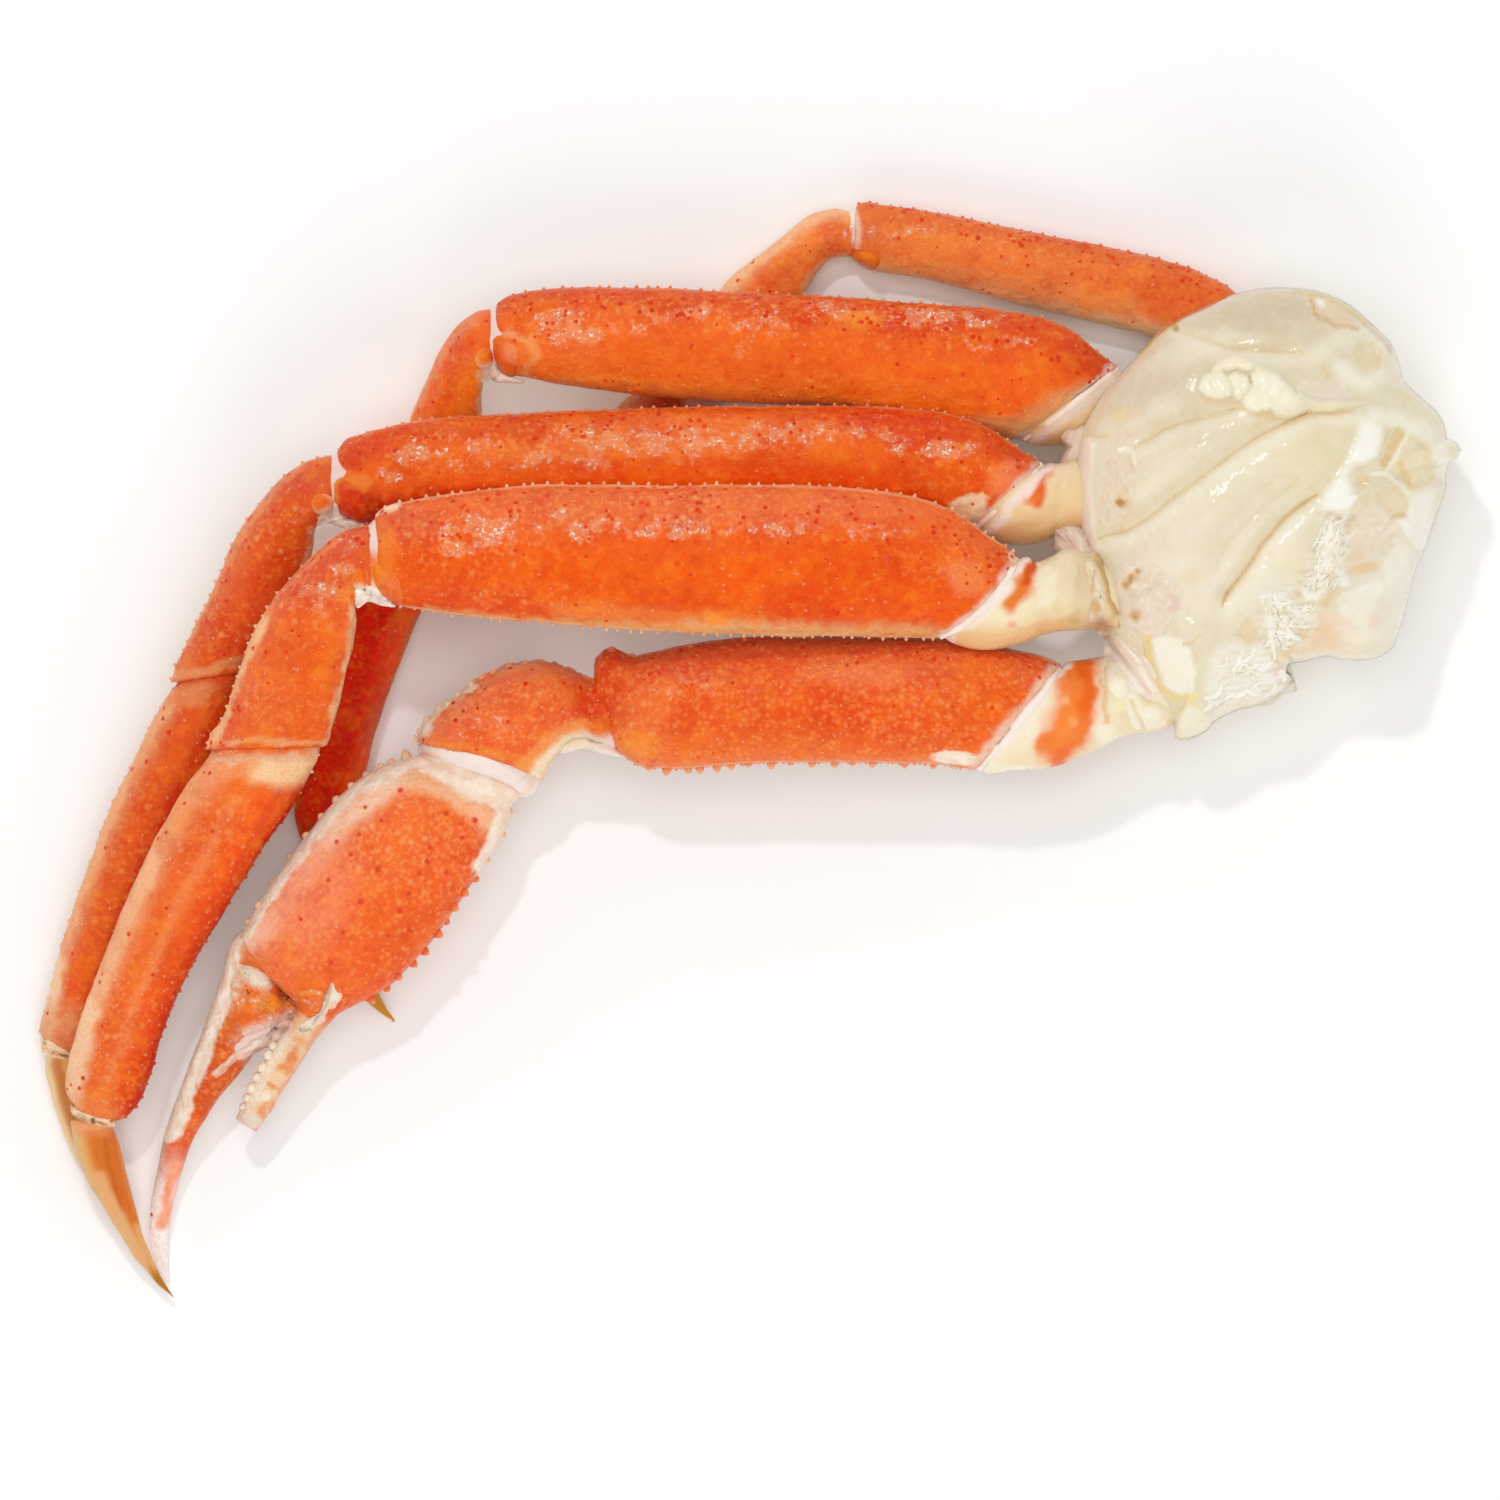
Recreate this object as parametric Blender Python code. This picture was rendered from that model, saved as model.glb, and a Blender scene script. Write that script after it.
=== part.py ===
"""Snow crab cluster: half a crab's body, the shoulder, with its claw arm and four walking legs folded over one
another, as cooked. Metres, +Z up, seen from above as on a table: the shoulder lies at +X, the knees at -X.
The origin is on the table under the middle of the whole."""
import math

import bmesh
import bpy
import numpy as np
from mathutils import Vector

# ------------------------------------------------------------------ driving sizes
UNIT = 0.000165        # one plan unit: the front walking leg's long segment is 640 units, 106 mm, long
EYE = 2.0              # the plan is laid out as seen from this height above the middle, in metres
MIDDLE = (749.5, 751.5)   # plan position of the origin; plan x runs to the right and plan y down the page
GAP = 0.0003           # left between neighbours
AROUND = 12            # points round a segment's section
SKIN_FIT = 0.90        # a joint's soft skin against the shell on both sides of it

SHOULDER_MIDDLE = (1252.0, 505.0)
SHOULDER_HEIGHT = 0.038
SHOULDER_RIM = 0.0185  # height of the shell's cut edge round the meat
SHELL = 0.0014         # thickness of the shoulder's shell
SHOULDER_AROUND = 44

# ------------------------------------------------------------------ colours, linear
COLOURS = {
    "orange_shell": ((0.80, 0.13, 0.022), 0.32),
    "deep_orange_shell": ((0.60, 0.07, 0.012), 0.32),
    "cream_shell": ((0.80, 0.62, 0.42), 0.38),
    "body_shell": ((0.78, 0.66, 0.48), 0.42),
    "joint_skin": ((0.78, 0.66, 0.58), 0.35),
    "meat": ((0.82, 0.72, 0.56), 0.5),
    "golden_tip": ((0.58, 0.30, 0.10), 0.30),
}

# ------------------------------------------------------------------ shell segments
# Each is a loft, from the body outwards, through stations of
#   (one edge x, y,  other edge x, y,  height of the middle,  half thickness): plan units and millimetres.
# "power" squares the section, "ends" is how far each end bulges in millimetres (0 is flat, against a joint).
SEGMENTS = {
    # claw arm, nearest the front
    "claw_base": dict(colour="cream_shell", power=2.1, ends=(0.5, 0), stations=[
        (1158, 640, 1170, 722, 17.4, 6.4), (1118, 655, 1124, 736, 18.0, 7.2), (1092, 658, 1052, 767, 19.0, 7.9),
        (1066, 665, 980, 775, 19.9, 7.4)]),
    "claw_merus": dict(colour="orange_shell", power=2.3, ends=(0, 0), stations=[
        (1062, 664, 976, 772, 20.0, 7.4), (1005, 647, 912, 764, 20.6, 8.2), (840, 636, 800, 763, 20.4, 8.3),
        (690, 644, 685, 769, 19.6, 7.8), (628, 656, 635, 762, 19.0, 6.8), (600, 656, 606, 718, 18.7, 5.0)]),
    "claw_carpus": dict(colour="orange_shell", power=2.2, ends=(0, 0), stations=[
        (591, 676, 597, 724, 18.6, 4.8), (568, 668, 580, 739, 18.0, 6.6), (515, 664, 562, 753, 17.2, 7.8),
        (462, 690, 551, 769, 16.4, 7.8), (419, 736, 535, 779, 15.6, 6.4)]),
    "claw_palm": dict(colour="orange_shell", power=2.2, ends=(0, 0.3), stations=[
        (418, 763, 508, 801, 15.4, 5.8), (374, 771, 506, 830, 15.3, 8.2), (318, 821, 469, 888, 15.0, 9.1),
        (270, 886, 420, 956, 14.4, 8.5), (250, 935, 375, 996, 13.7, 6.8), (290, 985, 338, 1014, 13.0, 4.7),
        (295, 1012, 326, 1027, 12.6, 3.8), (267, 1056, 303, 1060, 11.4, 3.3), (236, 1118, 257, 1131, 8.9, 2.4)]),
    "claw_finger": dict(colour="orange_shell", power=2.1, ends=(0.8, 0.4), stations=[
        (231, 954, 266, 986, 12.6, 4.6), (222, 978, 280, 1012, 12.2, 4.9), (196, 1047, 240, 1073, 9.8, 4.0),
        (168, 1123, 194, 1138, 6.4, 2.8), (151, 1208, 172, 1212, 2.8, 1.8), (154, 1262, 168, 1262, 1.4, 1.2),
        (164, 1279, 169, 1278, 0.9, 0.7)]),
    # first walking leg, over the others
    "leg1_base": dict(colour="cream_shell", power=2.1, ends=(0.5, 0), stations=[
        (1114, 559, 1120, 628, 20.2, 5.6), (1084, 550, 1084, 630, 22.5, 6.2), (1050, 557, 1014, 646, 25.3, 6.8),
        (1021, 558, 944, 643, 27.8, 6.4)]),
    "leg1_merus": dict(colour="orange_shell", power=2.15, ends=(0, 0), stations=[
        (1016, 555, 939, 638, 28.0, 6.4), (960, 514, 876, 637, 29.2, 7.5), (893, 493, 835, 636, 30.4, 7.9),
        (655, 485, 650, 631, 31.5, 7.9), (450, 494, 458, 615, 30.6, 6.9), (402, 503, 412, 608, 30.0, 6.2),
        (379, 513, 391, 602, 29.6, 5.2)]),
    "leg1_carpus": dict(colour="orange_shell", power=2.15, ends=(0, 0), stations=[
        (362, 527, 358, 596, 29.2, 4.9), (313, 555, 356, 613, 27.4, 5.8), (265, 611, 353, 647, 24.9, 6.3),
        (237, 678, 340, 698, 21.8, 6.2), (210, 737, 327, 740, 18.8, 5.4)]),
    "leg1_propodus": dict(colour="orange_shell", power=2.1, ends=(0, 0.7), stations=[
        (212, 758, 320, 754, 18.0, 5.1), (190, 781, 292, 808, 17.2, 5.5), (137, 877, 224, 912, 14.9, 5.5),
        (86, 1002, 162, 1033, 12.4, 4.8), (67, 1069, 141, 1098, 11.3, 4.1), (75, 1106, 114, 1122, 10.7, 2.8)]),
    "leg1_dactyl": dict(colour="golden_tip", power=2.0, ends=(0.5, 0.3), stations=[
        (71, 1124, 114, 1132, 10.3, 2.8), (79, 1160, 122, 1152, 9.3, 3.0), (105, 1208, 132, 1197, 7.3, 2.4),
        (140, 1263, 152, 1257, 4.5, 1.3), (170, 1296, 173, 1294, 2.9, 0.5)]),
    # second walking leg
    "leg2_base": dict(colour="cream_shell", power=2.1, ends=(0.5, 0), stations=[
        (1100, 457, 1102, 531, 18.6, 5.8), (1078, 457, 1064, 534, 19.3, 6.1), (1058, 464, 1008, 545, 20.1, 6.2),
        (1047, 466, 981, 534, 20.7, 6.0)]),
    "leg2_merus": dict(colour="orange_shell", power=2.15, ends=(0, 0), stations=[
        (1042, 462, 976, 529, 20.8, 5.9), (1000, 435, 925, 522, 21.0, 6.7), (935, 411, 860, 517, 21.3, 7.1),
        (740, 406, 715, 516, 21.6, 7.2), (500, 414, 500, 520, 21.5, 6.7), (385, 427, 396, 529, 21.1, 6.0),
        (340, 448, 360, 522, 20.8, 4.8)]),
    "leg2_carpus": dict(colour="orange_shell", power=2.15, ends=(0, 0), stations=[
        (323, 457, 330, 515, 20.6, 4.6), (280, 480, 316, 534, 18.9, 5.4), (236, 537, 309, 566, 15.9, 5.7),
        (204, 608, 287, 624, 13.0, 5.6), (174, 668, 257, 664, 10.9, 4.9)]),
    "leg2_propodus": dict(colour="deep_orange_shell", power=2.1, ends=(0, 0.7), stations=[
        (177, 687, 252, 677, 10.4, 4.4), (152, 722, 236, 742, 9.0, 4.8), (111, 807, 188, 846, 6.8, 4.8),
        (64, 935, 139, 966, 5.1, 4.4), (42, 1015, 102, 1034, 4.5, 3.9), (47, 1043, 78, 1052, 4.2, 3.0)]),
    "leg2_dactyl": dict(colour="golden_tip", power=2.0, ends=(0.4, 0.3), stations=[
        (47, 1058, 79, 1066, 4.0, 2.4), (53, 1101, 91, 1093, 3.5, 2.4), (72, 1152, 104, 1141, 2.7, 1.9),
        (101, 1197, 118, 1190, 1.7, 1.1), (129, 1223, 133, 1221, 1.0, 0.4)]),
    # third walking leg
    "leg3_base": dict(colour="cream_shell", power=2.1, ends=(0.5, 0), stations=[
        (1158, 395, 1116, 461, 13.5, 5.8), (1138, 385, 1080, 446, 13.3, 6.0), (1124, 370, 1026, 444, 13.7, 5.9)]),
    "leg3_merus": dict(colour="orange_shell", power=2.15, ends=(0, 0), stations=[
        (1118, 366, 1021, 440, 14.0, 5.9), (1080, 336, 968, 433, 14.8, 6.5), (1005, 311, 900, 420, 15.3, 6.8),
        (800, 295, 745, 403, 15.6, 6.8), (590, 287, 575, 386, 15.5, 6.2), (525, 293, 523, 377, 15.4, 5.6),
        (501, 303, 501, 370, 15.2, 4.7)]),
    "leg3_carpus": dict(colour="orange_shell", power=2.15, ends=(0, 0), stations=[
        (486, 309, 486, 370, 14.8, 4.6), (457, 325, 483, 384, 13.5, 5.3), (430, 372, 482, 411, 9.7, 5.2),
        (404, 436, 474, 456, 5.7, 4.8), (376, 500, 450, 506, 4.7, 4.3)]),
    "leg3_propodus": dict(colour="deep_orange_shell", power=2.1, ends=(0, 0.7), stations=[
        (372, 513, 448, 521, 4.6, 4.2), (350, 580, 431, 590, 4.5, 4.3), (322, 680, 393, 682, 4.3, 4.2),
        (299, 780, 367, 768, 4.1, 3.9), (297, 826, 353, 822, 3.8, 3.4), (308, 845, 336, 844, 3.5, 2.8)]),
    "leg3_dactyl": dict(colour="golden_tip", power=2.0, ends=(0.4, 0.3), stations=[
        (306, 856, 338, 852, 3.3, 2.2), (316, 905, 351, 895, 2.9, 2.2), (345, 972, 369, 963, 2.2, 1.6),
        (380, 1012, 386, 1008, 1.3, 0.7), (391, 1020, 395, 1018, 1.0, 0.4)]),
    # fourth walking leg, the small one, lowest and furthest back
    "leg4_base": dict(colour="cream_shell", power=2.1, ends=(0.5, 0), stations=[
        (1310, 362, 1264, 404, 13.6, 4.8), (1276, 330, 1218, 366, 9.6, 4.7), (1258, 314, 1200, 352, 7.2, 4.5)]),
    "leg4_merus": dict(colour="orange_shell", power=2.2, ends=(0, 0), stations=[
        (1252, 309, 1195, 348, 6.4, 4.5), (1220, 282, 1158, 339, 5.7, 5.2), (1119, 249, 1070, 316, 5.4, 5.3),
        (940, 213, 925, 279, 5.3, 5.1), (872, 203, 872, 270, 5.2, 4.7), (856, 208, 856, 258, 5.0, 4.0)]),
    "leg4_carpus": dict(colour="orange_shell", power=2.1, ends=(0, 0), stations=[
        (845, 212, 845, 255, 4.9, 3.8), (808, 216, 825, 262, 4.8, 4.2), (758, 255, 808, 288, 4.5, 4.2),
        (710, 304, 768, 338, 4.0, 3.6)]),
    "leg4_propodus": dict(colour="deep_orange_shell", power=2.1, ends=(0, 0.6), stations=[
        (703, 312, 760, 347, 3.9, 3.5), (662, 360, 722, 404, 3.7, 3.5), (600, 426, 653, 468, 3.5, 3.3),
        (563, 478, 600, 504, 3.2, 2.7)]),
    "leg4_dactyl": dict(colour="golden_tip", power=2.0, ends=(0.4, 0.3), stations=[
        (555, 496, 580, 513, 3.0, 2.0), (560, 545, 587, 543, 2.4, 1.8), (590, 591, 602, 585, 1.5, 0.9),
        (605, 604, 608, 602, 1.0, 0.4)]),
}

# Soft skin that fills a joint, from the end of one segment to the start of the next
JOINTS = {
    "claw_knee_skin": ("claw_merus", "claw_carpus"),
    "claw_wrist_skin": ("claw_carpus", "claw_palm"),
    "leg1_knee_skin": ("leg1_merus", "leg1_carpus"),
    "leg1_wrist_skin": ("leg1_carpus", "leg1_propodus"),
    "leg2_knee_skin": ("leg2_merus", "leg2_carpus"),
    "leg2_wrist_skin": ("leg2_carpus", "leg2_propodus"),
    "leg3_knee_skin": ("leg3_merus", "leg3_carpus"),
    "leg4_knee_skin": ("leg4_merus", "leg4_carpus"),
}

# ------------------------------------------------------------------ shoulder
# Its edge seen from above, clockwise from the tip at the right, in plan units
SHOULDER_EDGE = [
    (1459, 447), (1443, 500), (1427, 543), (1407, 602), (1391, 648), (1362, 659), (1325, 658), (1286, 666),
    (1288, 690), (1249, 703), (1214, 724), (1186, 738), (1158, 706), (1124, 664), (1106, 634), (1104, 600),
    (1096, 568), (1084, 540), (1079, 500), (1077, 447), (1096, 409), (1121, 374), (1146, 346), (1178, 322),
    (1224, 298), (1277, 287), (1335, 295), (1368, 324), (1396, 357), (1420, 395), (1443, 428)]
# Its side from the flat it rests on up to the rim: (share of the edge's distance, height in mm)
SHOULDER_SIDE = [(0.52, 0.0), (0.74, 1.4), (0.89, 5.0), (0.97, 11.0), (1.0, SHOULDER_RIM * 1000)]
# Lumps and hollows of the meat on top: plan x, y, reach in plan units, height in mm
LUMPS = [(1225, 372, 46, 1.8), (1300, 378, 48, 2.2), (1368, 357, 24, -3.0), (1406, 462, 32, -4.0),
         (1374, 500, 26, -3.0), (1118, 490, 26, -2.2), (1142, 600, 30, -2.0), (1210, 480, 50, 1.6),
         (1160, 420, 34, 1.0), (1255, 600, 40, 1.8), (1310, 560, 38, 1.6), (1380, 590, 46, 1.4),
         (1200, 700, 30, -1.6), (1256, 430, 24, -1.6), (1190, 500, 22, -1.2), (1252, 556, 24, -1.4)]


def at(px, py, height):
    """A plan position at a height in metres, as a point. Higher things look larger from above."""
    scale = UNIT * (1 - height / EYE)
    return np.array([(px - MIDDLE[0]) * scale, (MIDDLE[1] - py) * scale, height])


def curve_through(points, samples, closed=False):
    """Catmull-Rom curve through rows of numbers, read at equal steps of the plan distance along it."""
    p = np.asarray(points, float)
    if closed:
        p = np.vstack([p[-1:], p, p[:2]])
    else:
        p = np.vstack([2 * p[0] - p[1], p, 2 * p[-1] - p[-2]])
    fine = []
    for k in range(1, len(p) - 2):
        t = np.linspace(0, 1, 16, endpoint=False)[:, None]
        a, b, c, d = p[k - 1], p[k], p[k + 1], p[k + 2]
        fine.append(0.5 * (2 * b + (c - a) * t + (2 * a - 5 * b + 4 * c - d) * t**2
                           + (3 * b - a - 3 * c + d) * t**3))
    fine = np.vstack(fine + [p[-2][None]])
    run = np.concatenate([[0], np.cumsum(np.linalg.norm(np.diff(fine[:, :2], axis=0), axis=1))])
    wanted = np.linspace(0, run[-1], samples + 1 if closed else samples)
    out = np.array([np.interp(wanted, run, fine[:, k]) for k in range(p.shape[1])]).T
    return out[:-1] if closed else out


def rings_of(name, grow=0.0):
    """The rings of one segment, and the outward normal of each end."""
    spec = SEGMENTS[name]
    rows = []
    for ax, ay, bx, by, height, half in spec["stations"]:
        a, b = at(ax, ay, height / 1000), at(bx, by, height / 1000)
        rows.append(np.concatenate([(a + b) / 2, (b - a) / 2, [half / 1000]]))
    count = max(5, min(11, 2 * len(rows) - 1))
    rows = curve_through(rows, count)
    rings, turn = [], np.linspace(0, 2 * math.pi, AROUND, endpoint=False)
    for row in rows:
        middle, across, half = row[:3], row[3:6], row[6]
        width = np.linalg.norm(across)
        across = across / width
        up = np.array([0, 0, 1.0]) - across * across[2]
        up /= np.linalg.norm(up)
        u = np.sign(np.cos(turn)) * np.abs(np.cos(turn)) ** (2 / spec["power"]) * (width + grow)
        v = np.sign(np.sin(turn)) * np.abs(np.sin(turn)) ** (2 / spec["power"]) * (half + grow)
        rings.append(middle + u[:, None] * across + v[:, None] * up)
    normals = []
    for first, second in ((0, 1), (-1, -2)):
        normal = np.cross(rings[first][3] - rings[first][0], rings[first][6] - rings[first][3])
        normal /= np.linalg.norm(normal)
        if normal @ (rings[first].mean(0) - rings[second].mean(0)) < 0:
            normal = -normal
        normals.append(normal)
    return rings, normals


def close_ends(rings, normals, bulges):
    """Rings with each end drawn in: rounded by its bulge in metres, or given a small edge where it is flat."""
    out = list(rings)
    for which, (normal, bulge) in enumerate(zip(normals, bulges)):
        end = rings[0] if which == 0 else rings[-1]
        middle = end.mean(0)
        extra = [middle + (end - middle) * 0.72 + normal * bulge * 0.75] if bulge else []
        out = extra[::-1] + out if which == 0 else out + extra
    return out


def loft(name, rings, tips, colour, collection, root):
    """A closed body through rings, with its origin at its first ring's middle."""
    around = len(rings[0])
    origin = rings[0].mean(0)
    points = np.vstack(rings + [tips[0][None], tips[1][None]]) - origin
    faces = []
    for k in range(len(rings) - 1):
        for j in range(around):
            i = (j + 1) % around
            faces.append((k * around + j, k * around + i, (k + 1) * around + i, (k + 1) * around + j))
    last = (len(rings) - 1) * around
    for j in range(around):
        i = (j + 1) % around
        faces.append((i, j, len(points) - 2))
        faces.append((last + j, last + i, len(points) - 1))
    mesh = bpy.data.meshes.new(name)
    mesh.from_pydata([tuple(p) for p in points], [], faces)
    body = bmesh.new()
    body.from_mesh(mesh)
    bmesh.ops.recalc_face_normals(body, faces=body.faces)
    body.to_mesh(mesh)
    body.free()
    return place(name, mesh, origin, colour, collection, root)


def place(name, mesh, origin, colour, collection, root):
    obj = bpy.data.objects.new(name, mesh)
    obj.location = Vector(origin)
    collection.objects.link(obj)
    if root:
        obj.parent = root
    if colour:
        mesh.materials.append(MATERIALS[colour])
    mesh.shade_smooth()
    mesh.set_sharp_from_angle(angle=math.radians(50))
    return obj


def segment(name, collection, root, grow=0.0):
    spec = SEGMENTS[name]
    rings, normals = rings_of(name, grow)
    bulges = [e / 1000 for e in spec["ends"]]
    closed = close_ends(rings, normals, bulges)
    tips = [rings[0].mean(0) + normals[0] * (bulges[0] + grow), rings[-1].mean(0) + normals[1] * (bulges[1] + grow)]
    return loft(("cutter_" if grow else "") + name, closed, tips, None if grow else spec["colour"], collection, root)


def joint_skin(name, before, after, collection, root):
    """Soft skin between the facing flat ends of two segments, a little smaller than both and bulging between."""
    (rings_a, normals_a), (rings_b, normals_b) = rings_of(before), rings_of(after)
    a, b = rings_a[-1], rings_b[0]
    start = a.mean(0) + (a - a.mean(0)) * SKIN_FIT + normals_a[1] * GAP
    end = b.mean(0) + (b - b.mean(0)) * SKIN_FIT + normals_b[0] * GAP
    middle = (start + end) / 2
    middle = middle.mean(0) + (middle - middle.mean(0)) * 1.05
    return loft(name, [start, middle, end], [start.mean(0), end.mean(0)], "joint_skin", collection, root)


def shoulder_edge():
    """The shoulder's edge in metres from the shoulder's middle, at the rim's height."""
    edge = curve_through(SHOULDER_EDGE, SHOULDER_AROUND, closed=True)
    middle = at(*SHOULDER_MIDDLE, SHOULDER_RIM)
    return np.array([at(x, y, SHOULDER_RIM) - middle for x, y in edge]), middle


def shoulder_ring(edge, middle, share, height):
    ring = middle + edge * share
    ring[:, 2] = height
    return ring


def lump_height(points):
    """What the lumps and hollows add at points, in metres."""
    add = np.zeros(len(points))
    for x, y, reach, height in LUMPS:
        centre = at(x, y, SHOULDER_HEIGHT)
        far = np.linalg.norm(points[:, :2] - centre[:2], axis=1) / (reach * UNIT)
        add += height / 1000 * np.exp(-far**2 * 1.6)
    return add


def shoulder_shell(collection, root):
    """The thin bowl of the shoulder's underside and sides: outside from the flat up, then inside down again."""
    edge, middle = shoulder_edge()
    reach = np.linalg.norm(edge[:, :2], axis=1)[:, None]
    outside = [shoulder_ring(edge, middle, share, height / 1000) for share, height in SHOULDER_SIDE]
    inside = []
    for share, height in reversed(SHOULDER_SIDE):
        top = share == 1.0
        thick = np.where(reach > 0, SHELL / reach, 0) * (1 if share > 0.8 else 0.6)
        inside.append(shoulder_ring(edge, middle, share - thick, height / 1000 + (0 if top else SHELL * 0.8)))
    rings = outside + inside
    foot = middle.copy()
    foot[2] = 0.0
    floor = middle.copy()
    floor[2] = SHELL * 0.8
    return loft("shoulder_shell", rings, [foot, floor], "body_shell", collection, root)


def shoulder_meat(collection, root):
    """The meat in the bowl, rising over its rim."""
    edge, middle = shoulder_edge()
    reach = np.linalg.norm(edge[:, :2], axis=1)[:, None]
    rings = []
    for share, height in SHOULDER_SIDE:
        thick = (SHELL + GAP * 1.6) / reach * (1 if share > 0.8 else 0.6)
        rings.append(shoulder_ring(edge, middle, share - thick, height / 1000 + SHELL * 0.8 + GAP))
    for share in (0.985, 0.95, 0.86, 0.74, 0.60, 0.45, 0.30, 0.14):
        rise = (1 - share**2.6) ** 0.5
        ring = shoulder_ring(edge, middle, share, 0)
        ring[:, 2] = SHOULDER_RIM + 0.0028 + (SHOULDER_HEIGHT - SHOULDER_RIM - 0.0045) * rise
        ring[:, 2] += lump_height(ring) * min(1.0, rise * 1.4)
        rings.append(ring)
    foot = middle.copy()
    foot[2] = SHELL * 0.8 + GAP
    top = middle.copy()
    top[2] = rings[-1][:, 2].mean() + 0.0002
    return loft("shoulder_meat", rings, [foot, top], "meat", collection, root)


def cut_by(obj, cutters):
    for cutter in cutters:
        cut = obj.modifiers.new("room_for_" + cutter.name, "BOOLEAN")
        cut.operation = "DIFFERENCE"
        cut.solver = "EXACT"
        cut.object = cutter


def new_material(name, colour, roughness):
    material = bpy.data.materials.new(name)
    material.use_nodes = True
    shader = material.node_tree.nodes["Principled BSDF"]
    shader.inputs["Base Color"].default_value = (*colour, 1)
    shader.inputs["Roughness"].default_value = roughness
    shader.inputs["Metallic"].default_value = 0.0
    material.diffuse_color = (*colour, 1)
    return material


for old in list(bpy.data.objects):
    bpy.data.objects.remove(old, do_unlink=True)

MATERIALS = {name: new_material(name, *look) for name, look in COLOURS.items()}
parts = bpy.data.collections.new("snow_crab_cluster")
cutting = bpy.data.collections.new("cutters")
bpy.context.scene.collection.children.link(parts)
bpy.context.scene.collection.children.link(cutting)
root = bpy.data.objects.new("cluster", None)
parts.objects.link(root)

for name in SEGMENTS:
    segment(name, parts, root)
for name, (before, after) in JOINTS.items():
    joint_skin(name, before, after, parts, root)

shell = shoulder_shell(parts, root)
meat = shoulder_meat(parts, root)
cutters = [segment(name, cutting, None, grow=GAP)
           for name in ("claw_base", "leg1_base", "leg2_base", "leg3_base", "leg4_base", "leg4_merus")]
for cutter in cutters:
    cutter.hide_render = True
    cutter.display_type = "WIRE"
cut_by(shell, cutters)
cut_by(meat, cutters)
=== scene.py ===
"""The look of a snow crab cluster, seen from straight above: shell segments, soft joints and the cut shoulder."""
import math

import bmesh
import bpy
import numpy as np
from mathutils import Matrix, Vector, kdtree


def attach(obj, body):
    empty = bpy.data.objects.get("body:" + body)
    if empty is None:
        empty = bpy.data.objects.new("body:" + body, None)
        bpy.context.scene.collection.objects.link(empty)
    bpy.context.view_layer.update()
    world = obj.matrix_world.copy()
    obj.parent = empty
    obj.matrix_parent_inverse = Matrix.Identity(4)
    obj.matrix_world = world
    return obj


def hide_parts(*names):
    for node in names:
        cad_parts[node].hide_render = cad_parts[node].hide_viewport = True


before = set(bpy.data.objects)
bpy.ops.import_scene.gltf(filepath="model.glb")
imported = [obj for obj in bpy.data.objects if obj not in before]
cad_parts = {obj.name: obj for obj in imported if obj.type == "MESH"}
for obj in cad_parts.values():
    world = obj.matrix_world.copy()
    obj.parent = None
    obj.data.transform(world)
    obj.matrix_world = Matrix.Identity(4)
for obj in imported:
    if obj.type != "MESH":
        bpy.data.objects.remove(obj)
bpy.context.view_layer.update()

# ------------------------------------------------------------------ layout, as in the part
UNIT = 0.000165          # one plan unit in metres
EYE = 2.0                # height the plan is seen from
MIDDLE = (749.5, 751.5)  # plan position of the origin
CELL = 0.00046   # size of a surface cell
RNG = np.random.default_rng(11)


def at(px, py, height):
    """Plan position(s) at height in metres, as points."""
    scale = UNIT * (1 - np.asarray(height, float) / EYE)
    return np.stack(np.broadcast_arrays((px - MIDDLE[0]) * scale, (MIDDLE[1] - py) * scale, height), axis=-1)


def plan(points):
    """Plan positions of points."""
    scale = UNIT * (1 - points[..., 2] / EYE)
    return MIDDLE[0] + points[..., 0] / scale, MIDDLE[1] - points[..., 1] / scale


def linear(r, g, b):
    c = np.array([r, g, b]) / 255.0
    return np.where(c <= 0.04045, c / 12.92, ((c + 0.055) / 1.055) ** 2.4)


def ramp(x, low, high):
    """0 below low, 1 above high, smooth between."""
    t = np.clip((x - low) / (high - low), 0, 1)
    return t * t * (3 - 2 * t)


# ------------------------------------------------------------------ noise
def scatter(ix, iy, iz, seed):
    """A steady pseudo-random 32-bit number for each lattice point."""
    h = (ix.astype(np.uint32) * np.uint32(374761393) + iy.astype(np.uint32) * np.uint32(668265263)
         + iz.astype(np.uint32) * np.uint32(2147483647) + np.uint32(seed) * np.uint32(1274126177))
    h = (h ^ (h >> np.uint32(13))) * np.uint32(1103515245)
    h = (h ^ (h >> np.uint32(16))) * np.uint32(2654435761)
    return h ^ (h >> np.uint32(15))


def noise(points, size, seed=0):
    """Smooth noise, about -1 to 1, whose bumps are about size metres wide."""
    q = np.asarray(points, float) / size + 1000.0
    base = np.floor(q)
    f = q - base
    base = base.astype(np.int64)
    w = f * f * f * (f * (f * 6 - 15) + 10)
    out = 0
    for dx in (0, 1):
        for dy in (0, 1):
            for dz in (0, 1):
                h = scatter(base[..., 0] + dx, base[..., 1] + dy, base[..., 2] + dz, seed)
                gx = (h & 1023).astype(float) / 511.5 - 1
                gy = ((h >> np.uint32(10)) & 1023).astype(float) / 511.5 - 1
                gz = ((h >> np.uint32(20)) & 1023).astype(float) / 511.5 - 1
                d = gx * (f[..., 0] - dx) + gy * (f[..., 1] - dy) + gz * (f[..., 2] - dz)
                k = ((w[..., 0] if dx else 1 - w[..., 0]) * (w[..., 1] if dy else 1 - w[..., 1])
                     * (w[..., 2] if dz else 1 - w[..., 2]))
                out = out + d * k
    return out * 1.35


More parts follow.
